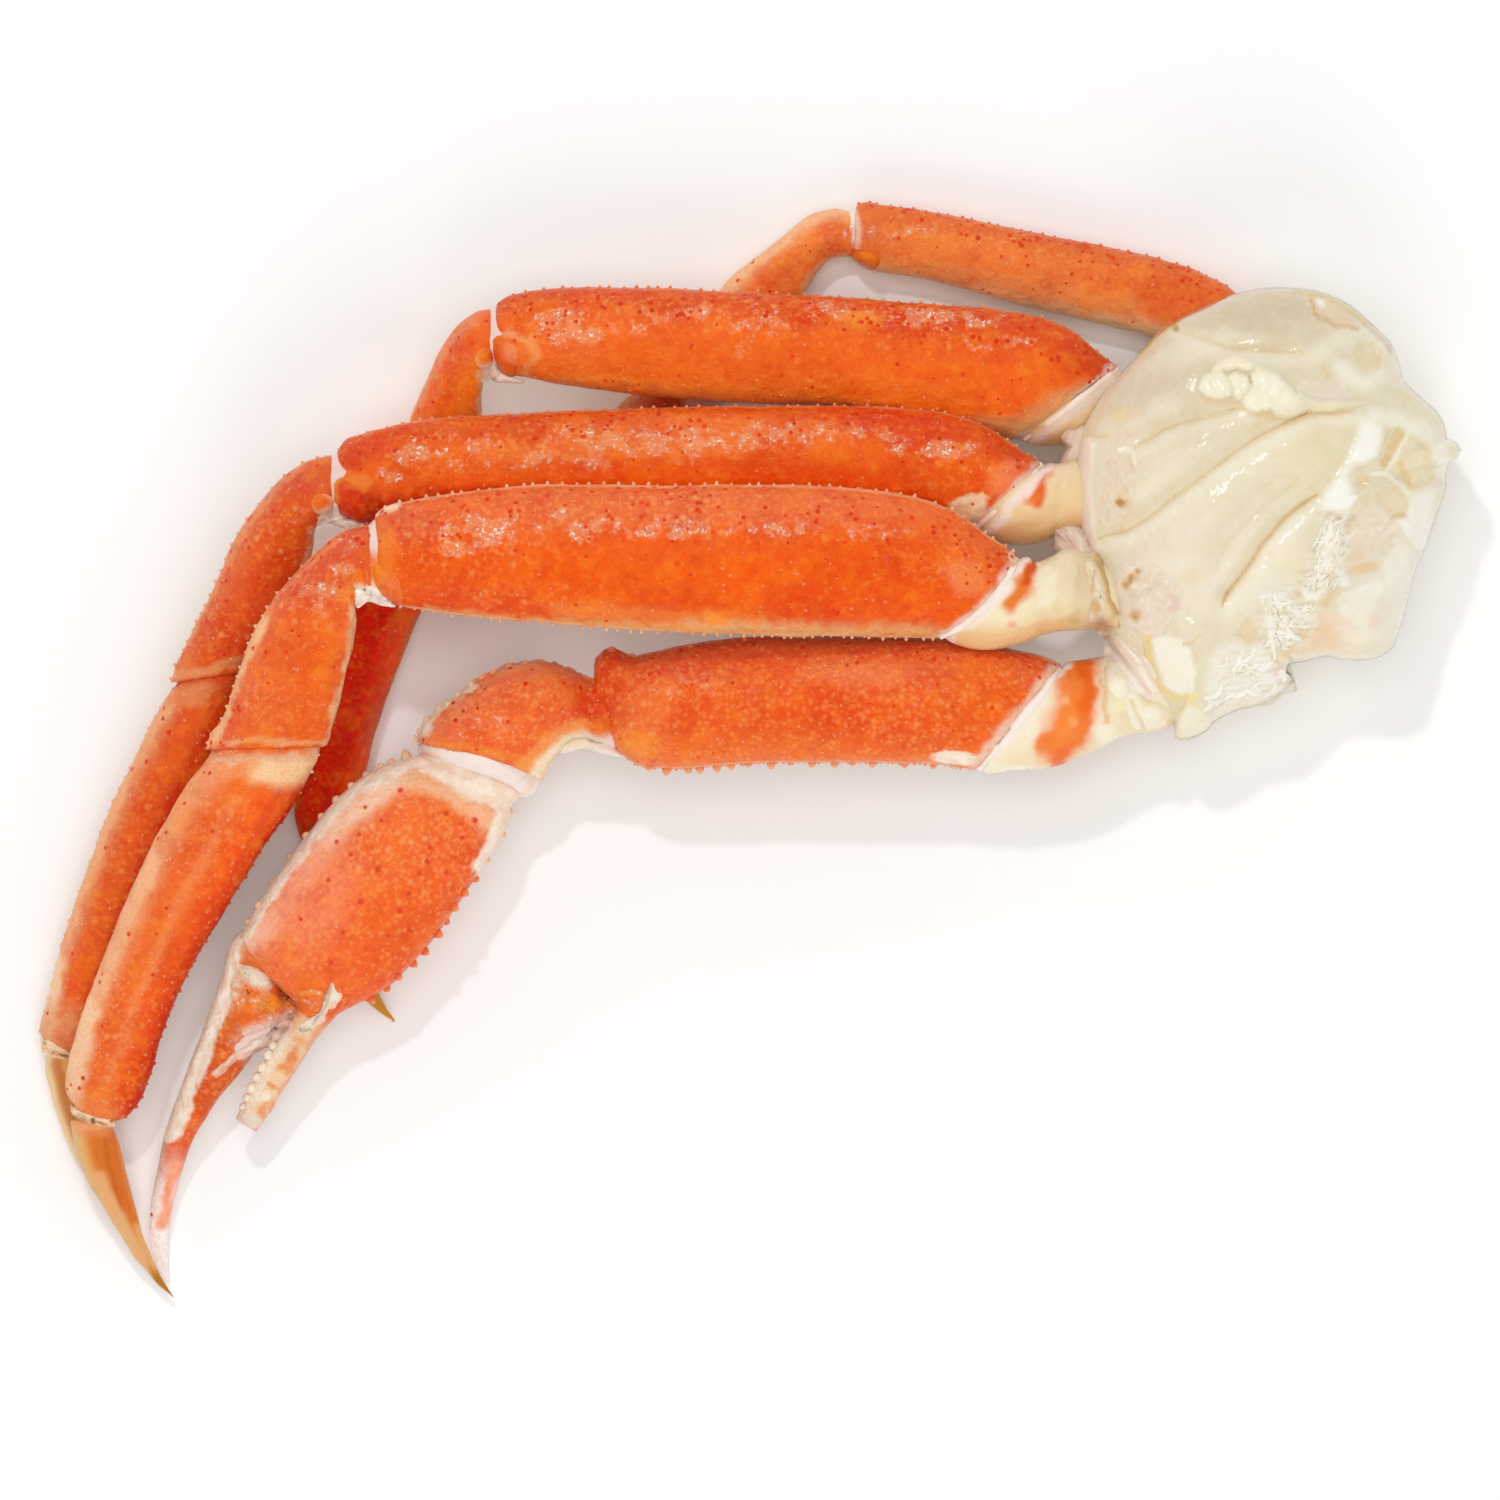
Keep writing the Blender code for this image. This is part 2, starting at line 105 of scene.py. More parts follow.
def clouds(points, size, seed=0, octaves=3):
    total, weight = 0, 1.0
    for k in range(octaves):
        total = total + noise(points, size / 2**k, seed + 17 * k) * weight
        weight *= 0.5
    return total / 1.4


# ------------------------------------------------------------------ marks on the plan
def blob(x, y, cx, cy, rx, ry=None, turn=0, soft=0.35):
    """1 inside an oval, 0 outside, soft at its edge. turn is in degrees, clockwise on the plan."""
    ry = rx if ry is None else ry
    c, s = math.cos(math.radians(turn)), math.sin(math.radians(turn))
    u, v = ((x - cx) * c + (y - cy) * s) / rx, (-(x - cx) * s + (y - cy) * c) / ry
    return 1 - ramp(np.hypot(u, v), 1 - soft, 1 + soft)


def line_distance(x, y, points):
    """Distance from a chain of plan points, and how far along it (0 to 1) the nearest place is."""
    best = np.full(np.shape(x), 1e9)
    along = np.zeros(np.shape(x))
    steps = [math.dist(a, b) for a, b in zip(points, points[1:])]
    total, run = sum(steps), 0.0
    for (ax, ay), (bx, by), length in zip(points, points[1:], steps):
        t = np.clip(((x - ax) * (bx - ax) + (y - ay) * (by - ay)) / length**2, 0, 1)
        d = np.hypot(x - ax - t * (bx - ax), y - ay - t * (by - ay))
        closer = d < best
        best = np.where(closer, d, best)
        along = np.where(closer, (run + t * length) / total, along)
        run += length
    return best, along


def stroke(x, y, points, width, soft=0.5):
    """1 along a chain of plan points, 0 further off than width."""
    return 1 - ramp(line_distance(x, y, points)[0] / width, 1 - soft, 1 + soft)


def inside(x, y, outline):
    """True where a plan position is inside an outline."""
    hit = np.zeros(np.shape(x), bool)
    for (ax, ay), (bx, by) in zip(outline, outline[1:] + outline[:1]):
        cross = ((ay > y) != (by > y)) & (x < (bx - ax) * (y - ay) / ((by - ay) or 1e-9) + ax)
        hit ^= cross
    return hit


# ------------------------------------------------------------------ shell segments, as in the part, with more stations
# name: (section power, end bulges in mm, stations of edge x, y, other edge x, y, height in mm, half thickness in mm)
SEGMENTS = {
    "claw_base": (2.1, (0.6, 0.5), [
        (1172, 636, 1190, 716, 17.0, 6.2), (1142, 648, 1160, 731, 17.5, 6.8), (1118, 655, 1124, 736, 18.0, 7.2),
        (1104, 656, 1094, 751, 18.5, 7.6), (1092, 658, 1052, 767, 19.0, 7.9), (1080, 660, 1012, 771, 19.5, 7.8),
        (1069, 661, 990, 774, 19.8, 7.6), (1060, 668, 978, 769, 20.0, 7.3)]),
    "claw_merus": (2.3, (0.5, 0.8), [
        (1061, 664, 977, 771, 20.0, 7.4), (1035, 654, 940, 765, 20.4, 7.9), (990, 645, 900, 763, 20.6, 8.2),
        (930, 638, 860, 763, 20.6, 8.3), (840, 636, 800, 763, 20.4, 8.3), (750, 637, 730, 765, 20.0, 8.1),
        (690, 644, 685, 769, 19.6, 7.8), (650, 652, 655, 768, 19.2, 7.4), (632, 655, 638, 764, 19.0, 6.8),
        (616, 650, 624, 754, 18.8, 6.2), (606, 649, 613, 738, 18.7, 5.4), (598, 656, 606, 722, 18.6, 4.6)]),
    "claw_carpus": (2.2, (0.8, 0.6), [
        (604, 678, 614, 750, 18.6, 4.4), (592, 677, 600, 746, 18.5, 5.2), (578, 672, 586, 744, 18.2, 6.2),
        (560, 665, 573, 745, 17.8, 7.2), (535, 661, 563, 750, 17.4, 7.7), (508, 665, 556, 758, 17.0, 7.9),
        (482, 675, 550, 766, 16.7, 7.8), (460, 692, 546, 774, 16.3, 7.6), (438, 709, 543, 780, 16.0, 7.3),
        (424, 722, 542, 778, 15.8, 6.8), (416, 738, 538, 769, 15.7, 6.5)]),
    "claw_palm": (2.2, (0.6, 0.25), [
        (421, 757, 522, 794, 15.4, 5.4), (407, 757, 512, 806, 15.4, 6.8), (372, 771, 506, 830, 15.3, 8.2),
        (342, 794, 489, 858, 15.2, 8.9), (318, 821, 469, 888, 15.0, 9.1), (294, 851, 446, 922, 14.8, 9),
        (270, 886, 420, 956, 14.4, 8.5), (249, 919, 394, 982, 14.0, 7.6), (241, 943, 370, 998, 13.6, 6.6),
        (253, 968, 352, 1007, 13.3, 5.6), (281, 990, 338, 1014, 13.0, 4.7), (297, 1008, 328, 1025, 12.6, 3.9),
        (283, 1032, 317, 1038, 12.2, 3.5), (267, 1056, 303, 1060, 11.4, 3.3), (254, 1082, 286, 1086, 10.4, 3),
        (242, 1106, 270, 1112, 9.4, 2.7), (236, 1118, 257, 1131, 8.9, 2.4)]),
    "claw_finger": (2.1, (0.8, 0.5), [
        (237, 934, 280, 968, 13.0, 3.4), (228, 950, 281, 988, 12.8, 4.6), (224, 968, 283, 1007, 12.4, 4.9), (218, 987, 276, 1026, 11.8, 4.8),
        (208, 1014, 258, 1048, 10.9, 4.4), (196, 1047, 240, 1073, 9.8, 4), (182, 1085, 216, 1102, 8.2, 3.4),
        (168, 1123, 194, 1138, 6.4, 2.8), (158, 1165, 181, 1173, 4.5, 2.2), (151, 1208, 172, 1212, 2.8, 1.8),
        (150, 1240, 168, 1240, 1.8, 1.5), (156, 1264, 168, 1263, 1.2, 1.1), (164, 1278, 169, 1277, 0.9, 0.6)]),
    "leg1_base": (2.1, (0.6, 0.5), [
        (1125, 560, 1130, 628, 19.8, 5.4), (1104, 558, 1110, 629, 21.2, 5.8), (1084, 550, 1084, 630, 22.5, 6.2),
        (1066, 549, 1050, 633, 23.9, 6.6), (1050, 557, 1014, 646, 25.3, 6.8), (1036, 562, 980, 650, 26.4, 6.6),
        (1027, 557, 954, 644, 27.5, 6.7), (1014, 561, 940, 634, 27.9, 6.3)]),
    "leg1_merus": (2.15, (0.5, 0.8), [
        (1016, 555, 939, 638, 28.0, 6.2), (988, 535, 904, 638, 28.6, 7), (950, 509, 870, 637, 29.4, 7.6),
        (893, 493, 835, 636, 30.4, 7.9), (790, 485, 770, 636, 31.2, 8), (655, 485, 650, 631, 31.5, 7.9),
        (534, 485, 540, 622, 31.2, 7.4), (450, 494, 458, 615, 30.6, 6.9), (400, 503, 412, 608, 30.0, 6.2),
        (386, 508, 398, 605, 29.8, 5.7), (378, 514, 389, 600, 29.6, 5.1)]),
    "leg1_carpus": (2.15, (0.7, 0.5), [
        (368, 525, 371, 592, 29.4, 4.6), (354, 528, 360, 600, 28.9, 5.2), (338, 534, 354, 606, 28.3, 5.5), (313, 555, 356, 614, 27.4, 5.8),
        (287, 583, 356, 627, 26.3, 6.1), (265, 611, 353, 647, 24.9, 6.3), (249, 642, 346, 672, 23.3, 6.3),
        (237, 678, 340, 698, 21.8, 6.2), (225, 712, 335, 716, 20.2, 5.9), (211, 734, 330, 734, 19.0, 5.5), (206, 749, 328, 745, 18.3, 5.1)]),
    "leg1_propodus": (2.1, (0.6, 0.8), [
        (212, 750, 322, 742, 18.0, 4.7), (204, 764, 314, 765, 17.8, 5.2), (190, 781, 292, 808, 17.2, 5.5),
        (169, 814, 261, 851, 16.2, 5.6), (137, 877, 224, 912, 14.9, 5.5), (112, 935, 190, 968, 13.6, 5.2),
        (86, 1002, 162, 1033, 12.4, 4.8), (75, 1037, 153, 1068, 11.8, 4.5), (67, 1069, 141, 1098, 11.3, 4.1),
        (66, 1092, 128, 1116, 10.9, 3.6), (75, 1106, 114, 1122, 10.7, 2.8)]),
    "leg1_dactyl": (2.0, (0.6, 0.4), [
        (71, 1122, 114, 1130, 10.4, 2.8), (74, 1140, 118, 1140, 9.9, 3), (79, 1160, 122, 1152, 9.3, 3),
        (89, 1184, 126, 1170, 8.5, 2.8), (105, 1208, 132, 1197, 7.3, 2.4), (122, 1236, 140, 1228, 5.9, 1.8),
        (140, 1263, 152, 1257, 4.5, 1.3), (156, 1282, 162, 1279, 3.5, 0.8), (171, 1296, 173, 1295, 2.8, 0.3)]),
    "leg2_base": (2.1, (0.6, 0.5), [
        (1110, 458, 1112, 530, 18.6, 5.6), (1094, 456, 1092, 531, 19.0, 5.9), (1078, 457, 1064, 534, 19.4, 6.1),
        (1067, 460, 1036, 544, 19.9, 6.2), (1058, 464, 1008, 545, 20.3, 6.2), (1050, 463, 986, 538, 20.6, 6.3), (1040, 466, 974, 524, 20.8, 5.9)]),
    "leg2_merus": (2.15, (0.5, 0.8), [
        (1042, 462, 976, 529, 20.8, 5.9), (1017, 447, 945, 524, 20.9, 6.5), (985, 426, 905, 520, 21.1, 6.9),
        (935, 411, 860, 517, 21.3, 7.1), (860, 406, 800, 516, 21.5, 7.2), (740, 406, 715, 516, 21.6, 7.2),
        (620, 409, 612, 517, 21.6, 7), (500, 414, 500, 520, 21.5, 6.7), (430, 419, 434, 526, 21.3, 6.4),
        (385, 427, 396, 529, 21.1, 6), (352, 437, 374, 526, 20.9, 5.5), (340, 448, 361, 518, 20.8, 4.8)]),
    "leg2_carpus": (2.15, (0.7, 0.5), [
        (331, 455, 330, 512, 20.7, 4.5), (318, 458, 320, 523, 20.3, 4.9), (302, 464, 316, 529, 19.7, 5.2), (280, 480, 314, 536, 18.8, 5.4),
        (256, 507, 313, 547, 17.5, 5.6), (236, 537, 309, 566, 16.0, 5.7), (220, 573, 300, 594, 14.4, 5.7),
        (204, 608, 287, 624, 13.0, 5.6), (188, 640, 272, 648, 11.8, 5.3), (176, 664, 260, 661, 11.0, 5.0), (170, 682, 254, 670, 10.6, 4.6)]),
    "leg2_propodus": (2.1, (0.6, 0.8), [
        (180, 678, 250, 668, 10.3, 4.1), (168, 695, 247, 694, 9.9, 4.5), (152, 722, 236, 742, 9.0, 4.8),
        (135, 757, 214, 790, 8.0, 4.9), (111, 807, 188, 846, 6.8, 4.8), (86, 871, 163, 906, 5.8, 4.6),
        (64, 935, 139, 966, 5.1, 4.4), (48, 998, 112, 1022, 4.6, 4.1), (40, 1028, 92, 1046, 4.3, 3.6),
        (47, 1043, 78, 1052, 4.2, 2.9)]),
    "leg2_dactyl": (2.0, (0.5, 0.4), [
        (47, 1056, 79, 1064, 4.0, 2.4), (46, 1076, 84, 1072, 3.8, 2.5), (53, 1101, 91, 1093, 3.5, 2.4),
        (62, 1127, 98, 1117, 3.1, 2.2), (72, 1152, 104, 1141, 2.7, 1.9), (86, 1176, 111, 1166, 2.2, 1.5),
        (101, 1197, 118, 1190, 1.7, 1.1), (117, 1213, 126, 1209, 1.3, 0.8), (130, 1223, 132, 1222, 1.0, 0.3)]),
    "leg3_base": (2.1, (0.6, 0.5), [
        (1168, 398, 1130, 466, 13.4, 5.6), (1150, 392, 1104, 456, 13.4, 5.9), (1138, 385, 1080, 446, 13.3, 6),
        (1131, 378, 1055, 446, 13.5, 6), (1126, 370, 1032, 445, 13.7, 6.1), (1117, 370, 1020, 437, 13.9, 5.8)]),
    "leg3_merus": (2.15, (0.5, 0.8), [
        (1118, 366, 1021, 440, 14.0, 5.8), (1096, 350, 988, 436, 14.6, 6.3), (1064, 326, 950, 430, 15.0, 6.6),
        (1005, 311, 900, 420, 15.3, 6.8), (915, 303, 835, 408, 15.5, 6.8), (800, 295, 745, 403, 15.6, 6.8),
        (680, 289, 650, 396, 15.6, 6.6), (590, 287, 575, 386, 15.5, 6.2), (540, 290, 535, 379, 15.4, 5.8),
        (514, 295, 513, 374, 15.3, 5.4), (500, 302, 504, 370, 15.2, 4.7)]),
    "leg3_carpus": (2.15, (0.7, 0.5), [
        (490, 309, 490, 368, 14.9, 4.4), (475, 312, 484, 376, 14.5, 5), (457, 325, 483, 384, 13.6, 5.3),
        (443, 346, 482, 396, 11.8, 5.4), (430, 372, 482, 411, 9.7, 5.2), (417, 402, 481, 430, 7.4, 5),
        (404, 436, 474, 456, 5.7, 4.8), (390, 470, 462, 484, 4.9, 4.6), (376, 500, 450, 506, 4.7, 4.3)]),
    "leg3_propodus": (2.1, (0.6, 0.8), [
        (372, 512, 448, 520, 4.5, 4.1), (364, 532, 444, 546, 4.5, 4.2), (350, 580, 431, 590, 4.5, 4.3),
        (337, 622, 412, 633, 4.4, 4.3), (322, 680, 393, 682, 4.3, 4.2), (308, 735, 378, 726, 4.2, 4.1),
        (299, 780, 367, 768, 4.1, 3.9), (295, 812, 358, 808, 3.9, 3.6), (299, 834, 347, 832, 3.7, 3.2),
        (308, 845, 336, 844, 3.5, 2.6)]),
    "leg3_dactyl": (2.0, (0.5, 0.4), [
        (306, 855, 338, 851, 3.3, 2.2), (308, 874, 344, 864, 3.1, 2.3), (316, 905, 351, 895, 2.9, 2.2),
        (329, 940, 360, 930, 2.6, 1.9), (345, 972, 369, 963, 2.2, 1.6), (365, 999, 378, 992, 1.7, 1.1),
        (380, 1012, 386, 1008, 1.3, 0.7), (392, 1020, 394, 1019, 1.0, 0.3)]),
    "leg4_base": (2.1, (0.6, 0.5), [
        (1330, 380, 1286, 420, 15.0, 4.6), (1300, 352, 1250, 392, 12.6, 4.8), (1276, 330, 1218, 366, 9.6, 4.7),
        (1262, 318, 1203, 354, 7.6, 4.5)]),
    "leg4_merus": (2.2, (0.5, 0.7), [
        (1254, 309, 1196, 349, 6.4, 4.4), (1240, 297, 1180, 345, 6.0, 4.9), (1220, 282, 1158, 339, 5.7, 5.2),
        (1183, 266, 1120, 329, 5.5, 5.3), (1119, 249, 1070, 316, 5.4, 5.3), (1030, 232, 1000, 299, 5.4, 5.2),
        (940, 213, 925, 279, 5.3, 5.1), (886, 205, 885, 273, 5.2, 4.9), (868, 202, 864, 268, 5.1, 4.6),
        (859, 204, 856, 260, 5.0, 4.0)]),
    "leg4_carpus": (2.1, (0.6, 0.5), [
        (850, 212, 850, 256, 4.9, 3.6), (832, 209, 836, 257, 4.9, 4), (808, 216, 825, 262, 4.8, 4.2),
        (783, 236, 817, 272, 4.7, 4.3), (758, 255, 808, 288, 4.5, 4.2), (736, 272, 796, 306, 4.3, 4),
        (719, 290, 782, 324, 4.1, 3.8), (708, 306, 766, 336, 4.0, 3.5)]),
    "leg4_propodus": (2.1, (0.5, 0.7), [
        (701, 316, 757, 346, 3.9, 3.4), (690, 330, 750, 368, 3.8, 3.5), (662, 360, 722, 404, 3.7, 3.5),
        (630, 394, 688, 438, 3.6, 3.4), (600, 426, 653, 468, 3.5, 3.3), (575, 456, 621, 493, 3.4, 3.1),
        (560, 482, 594, 506, 3.2, 2.6)]),
    "leg4_dactyl": (2.0, (0.4, 0.3), [
        (555, 496, 580, 513, 3.0, 1.9), (553, 514, 583, 522, 2.8, 2), (560, 545, 587, 543, 2.4, 1.8),
        (573, 571, 594, 563, 2.0, 1.4), (590, 591, 602, 585, 1.5, 0.9), (605, 603, 607, 601, 1.0, 0.3)]),
}


# ------------------------------------------------------------------ curves and surfaces
def curve_through(rows, step):
    """Catmull-Rom curve through rows of numbers, read at even steps of its length in the first three."""
    p = np.asarray(rows, float)
    p = np.vstack([2 * p[0] - p[1], p, 2 * p[-1] - p[-2]])
    fine = []
    for k in range(1, len(p) - 2):
        t = np.linspace(0, 1, 40, endpoint=False)[:, None]
        a, b, c, d = p[k - 1], p[k], p[k + 1], p[k + 2]
        fine.append(0.5 * (2 * b + (c - a) * t + (2 * a - 5 * b + 4 * c - d) * t**2
                           + (3 * b - a - 3 * c + d) * t**3))
    fine = np.vstack(fine + [p[-2][None]])
    run = np.concatenate([[0], np.cumsum(np.linalg.norm(np.diff(fine[:, :3], axis=0), axis=1))])
    count = max(6, int(round(run[-1] / step)))
    wanted = np.linspace(0, run[-1], count + 1)
    return np.array([np.interp(wanted, run, fine[:, k]) for k in range(p.shape[1])]).T


def grid_normals(p):
    """Outward normals of a grid of points, rings by around."""
    along = np.gradient(p, axis=0)
    round_ = np.roll(p, -1, axis=1) - np.roll(p, 1, axis=1)
    n = np.cross(along, round_)
    n /= np.maximum(np.linalg.norm(n, axis=-1, keepdims=True), 1e-12)
    middle = p.mean(axis=1, keepdims=True)
    facing = np.sign(np.sum(n * (p - middle), axis=-1).mean())
    return n * (facing or 1)


class Surface:
    """A closed tube of rings: points p (rings, around), angle t round the section, share s along."""

    def __init__(self, p, t, s):
        self.p, self.t, self.s = p, t, s
        self.n = grid_normals(p)

    @property
    def xy(self):
        return plan(self.p)

    def push(self, amount):
        """Moves the surface out along its normals by amount in metres."""
        self.p = self.p + self.n * np.asarray(amount)[..., None]

    def again(self):
        self.n = grid_normals(self.p)


def rows_of(name):
    """A segment's stations as rows: middle, half width vector, half thickness, in metres."""
    table = []
    for ax, ay, bx, by, height, half in SEGMENTS[name][2]:
        a, b = at(ax, ay, height / 1000), at(bx, by, height / 1000)
        table.append(np.concatenate([(a + b) / 2, (b - a) / 2, [half / 1000]]))
    return table


def tube_surface(table, power, ends, cell, upper=0.5, steps=7, least=16):
    """A fine closed surface through rows of middle, half width vector and half thickness, with rounded ends. upper: the upper side's share of the points."""
    rings = curve_through(table, cell)
    wide = np.linalg.norm(rings[:, 3:6], axis=1)
    around = int(2 * math.pi * math.sqrt((wide.max()**2 + rings[:, 6].max()**2) / 2) / cell)
    half = max(least // 2, around // 2)
    below = max(least // 2, int(round(half * (1 - upper) / upper)))
    around = half + below
    t = np.concatenate([np.linspace(0, math.pi, half, endpoint=False), np.linspace(math.pi, 2 * math.pi, below, endpoint=False)])
    across = rings[:, 3:6] / wide[:, None]
    up = np.array([0, 0, 1.0]) - across * across[:, 2:3]
    up /= np.linalg.norm(up, axis=1)[:, None]
    u = np.sign(np.cos(t)) * np.abs(np.cos(t)) ** (2 / power)
    v = np.sign(np.sin(t)) * np.abs(np.sin(t)) ** (2 / power)
    body = (rings[:, None, :3] + u[None, :, None] * (across * wide[:, None])[:, None]
            + v[None, :, None] * (up * rings[:, 6:7])[:, None])
    s = np.linspace(0, 1, len(rings))
    out, share = [body], [s]
    for which in (0, 1):
        end, inner = (body[0], body[1]) if which == 0 else (body[-1], body[-2])
        middle = (end[0] + end[half]) / 2
        away = np.cross(end[around // 4] - middle, end[0] - middle)
        away /= np.linalg.norm(away)
        if away @ (middle - inner.mean(0)) < 0:
            away = -away
        caps = []
        for k in range(1, steps + 1):
            turn = k / steps * math.pi / 2
            caps.append(middle + (end - middle) * max(0.02, math.cos(turn) ** 0.55)
                        + away * ends[which] * 0.001 * math.sin(turn))
        caps = np.array(caps)
        if which == 0:
            out.insert(0, caps[::-1])
            share.insert(0, np.zeros(steps))
        else:
            out.append(caps)
            share.append(np.ones(steps))
    p = np.concatenate(out)
    s = np.concatenate(share)
    return Surface(p, np.broadcast_to(t, p.shape[:2]), np.broadcast_to(s[:, None], p.shape[:2]))


BOWS = {"leg1_merus": (1.9, 0.0), "leg1_base": (0.0, 1.9)}   # how far an end's upper side reaches beyond its plane, in mm, along the way to the body


def segment_surface(name):
    power, ends, _ = SEGMENTS[name]
    surface = tube_surface(rows_of(name), power, ends, CELL, 0.7)
    if name in BOWS:
        p, count = surface.p, len(surface.p)
        away = p[0].mean(0) - p[-1].mean(0)
        away = away / np.linalg.norm(away)
        length = np.linalg.norm(p[0].mean(0) - p[-1].mean(0))
        share = np.arange(count) / (count - 1)
        for bow, run in zip(BOWS[name], (share * length, (1 - share) * length)):
            lift = np.clip(np.sin(surface.t), 0, 1) ** 0.8 * np.exp(-(run / 0.007) ** 2)[:, None]
            p = p + away * (bow / 1000 * lift)[..., None]
        surface = Surface(p, surface.t, surface.s)
    return surface


def make_object(name, vertices, faces, material, paint=None, masks=None, smooth=True):
    mesh = bpy.data.meshes.new(name)
    mesh.from_pydata(np.asarray(vertices).tolist(), [], faces if isinstance(faces, list) else faces.tolist())
    for label, values in (("paint", paint), ("masks", masks)):
        if values is not None:
            attribute = mesh.color_attributes.new(label, "FLOAT_COLOR", "POINT")
            flat = np.ones((len(mesh.vertices), 4), np.float32)
            flat[:, :values.shape[-1]] = values.reshape(-1, values.shape[-1])
            attribute.data.foreach_set("color", flat.ravel())
    if smooth:
        mesh.shade_smooth()
    mesh.materials.append(material)
    obj = bpy.data.objects.new(name, mesh)
    bpy.context.scene.collection.objects.link(obj)
    return obj


def tube_faces(rings, around):
    """Quads of a tube and a fan at each end, whose middles are the two last points."""
    k, j = np.meshgrid(np.arange(rings - 1), np.arange(around), indexing="ij")
    i = (j + 1) % around
    quads = np.stack([k * around + j, k * around + i, (k + 1) * around + i, (k + 1) * around + j], -1).reshape(-1, 4)
    j = np.arange(around)
    i = (j + 1) % around
    first, last = rings * around, rings * around + 1
    start = np.stack([i, j, np.full(around, first)], -1)
    end = np.stack([(rings - 1) * around + j, (rings - 1) * around + i, np.full(around, last)], -1)
    return quads.tolist() + start.tolist() + end.tolist()


def outward(obj):
    body = bmesh.new()
    body.from_mesh(obj.data)
    bmesh.ops.recalc_face_normals(body, faces=body.faces)
    body.to_mesh(obj.data)
    body.free()


def surface_object(name, surface, material, paint, masks):
    p = surface.p
    rings, around = p.shape[:2]
    ends = np.stack([p[0].mean(0), p[-1].mean(0)])
    flat = np.vstack([p.reshape(-1, 3), ends])
    def with_ends(values):
        return np.vstack([values.reshape(-1, values.shape[-1]), values[0].mean(0)[None], values[-1].mean(0)[None]])
    obj = make_object(name, flat, tube_faces(rings, around), material, with_ends(paint), with_ends(masks))
    outward(obj)
    return obj


# ------------------------------------------------------------------ materials
class Nodes:
    """Short names for building a shader's node tree."""

    def __init__(self, name):
        self.material = bpy.data.materials.new(name)
        self.material.use_nodes = True
        self.tree = self.material.node_tree
        self.shader = self.tree.nodes["Principled BSDF"]

    def node(self, kind, inputs=None, **settings):
        n = self.tree.nodes.new(kind)
        for key, value in settings.items():
            setattr(n, key, value)
        for key, value in (inputs or {}).items():
            self.put(n.inputs[key], value)
        return n

    def put(self, socket, value):
        if isinstance(value, bpy.types.NodeSocket):
            self.tree.links.new(value, socket)
        else:
            socket.default_value = value

    def math(self, kind, a, b=0.0, c=0.0):
        return self.node("ShaderNodeMath", {0: a, 1: b, 2: c}, operation=kind).outputs[0]

    def ramp(self, value, low, high, out_low=0.0, out_high=1.0):
        n = self.node("ShaderNodeMapRange", {"Value": value, "From Min": low, "From Max": high,
                                             "To Min": out_low, "To Max": out_high}, interpolation_type="SMOOTHSTEP")
        return n.outputs[0]

    def noise(self, size, detail=2.0, rough=0.5, stretch=None, distortion=0.0):
        """Noise whose bumps are about size metres wide, optionally stretched."""
        where = self.where
        if stretch:
            where = self.node("ShaderNodeMapping", {"Vector": where, "Rotation": stretch[1], "Scale": stretch[0]}).outputs[0]
        n = self.node("ShaderNodeTexNoise", {"Vector": where, "Scale": 1 / size, "Detail": detail,
                                             "Roughness": rough, "Distortion": distortion})
        return n.outputs["Fac"]

    def cells(self, size, jitter=1.0):
        """(distance to the nearest cell point in cells, a random number per cell)."""
        n = self.node("ShaderNodeTexVoronoi", {"Vector": self.where, "Scale": 1 / size, "Randomness": jitter})
        return n.outputs["Distance"], self.node("ShaderNodeSeparateColor", {0: n.outputs["Color"]}).outputs[0]

    @property
    def where(self):
        if not hasattr(self, "_where"):
            self._where = self.node("ShaderNodeTexCoord").outputs["Object"]
        return self._where

    def mix(self, amount, a, b, kind="MIX"):
        n = self.node("ShaderNodeMix", data_type="RGBA", blend_type=kind)
        self.put(n.inputs[0], amount)
        for socket, value in ((n.inputs[6], a), (n.inputs[7], b)):
            self.put(socket, value if isinstance(value, bpy.types.NodeSocket) else (*value, 1) if len(value) == 3 else value)
        return n.outputs[2]

    def attribute(self, name):
        return self.node("ShaderNodeAttribute", attribute_name=name).outputs["Color"]

    def bump(self, parts):
        """Bumps from (height 0 to 1, depth in metres) pairs."""
        normal = None
        for height, depth in parts:
            inputs = {"Height": height, "Distance": depth, "Strength": 1.0}
            if normal is not None:
                inputs["Normal"] = normal
            normal = self.node("ShaderNodeBump", inputs).outputs[0]
        self.put(self.shader.inputs["Normal"], normal)
        self.put(self.shader.inputs["Coat Normal"], normal)


def rgb(*c):
    return tuple(float(v) for v in linear(*c))


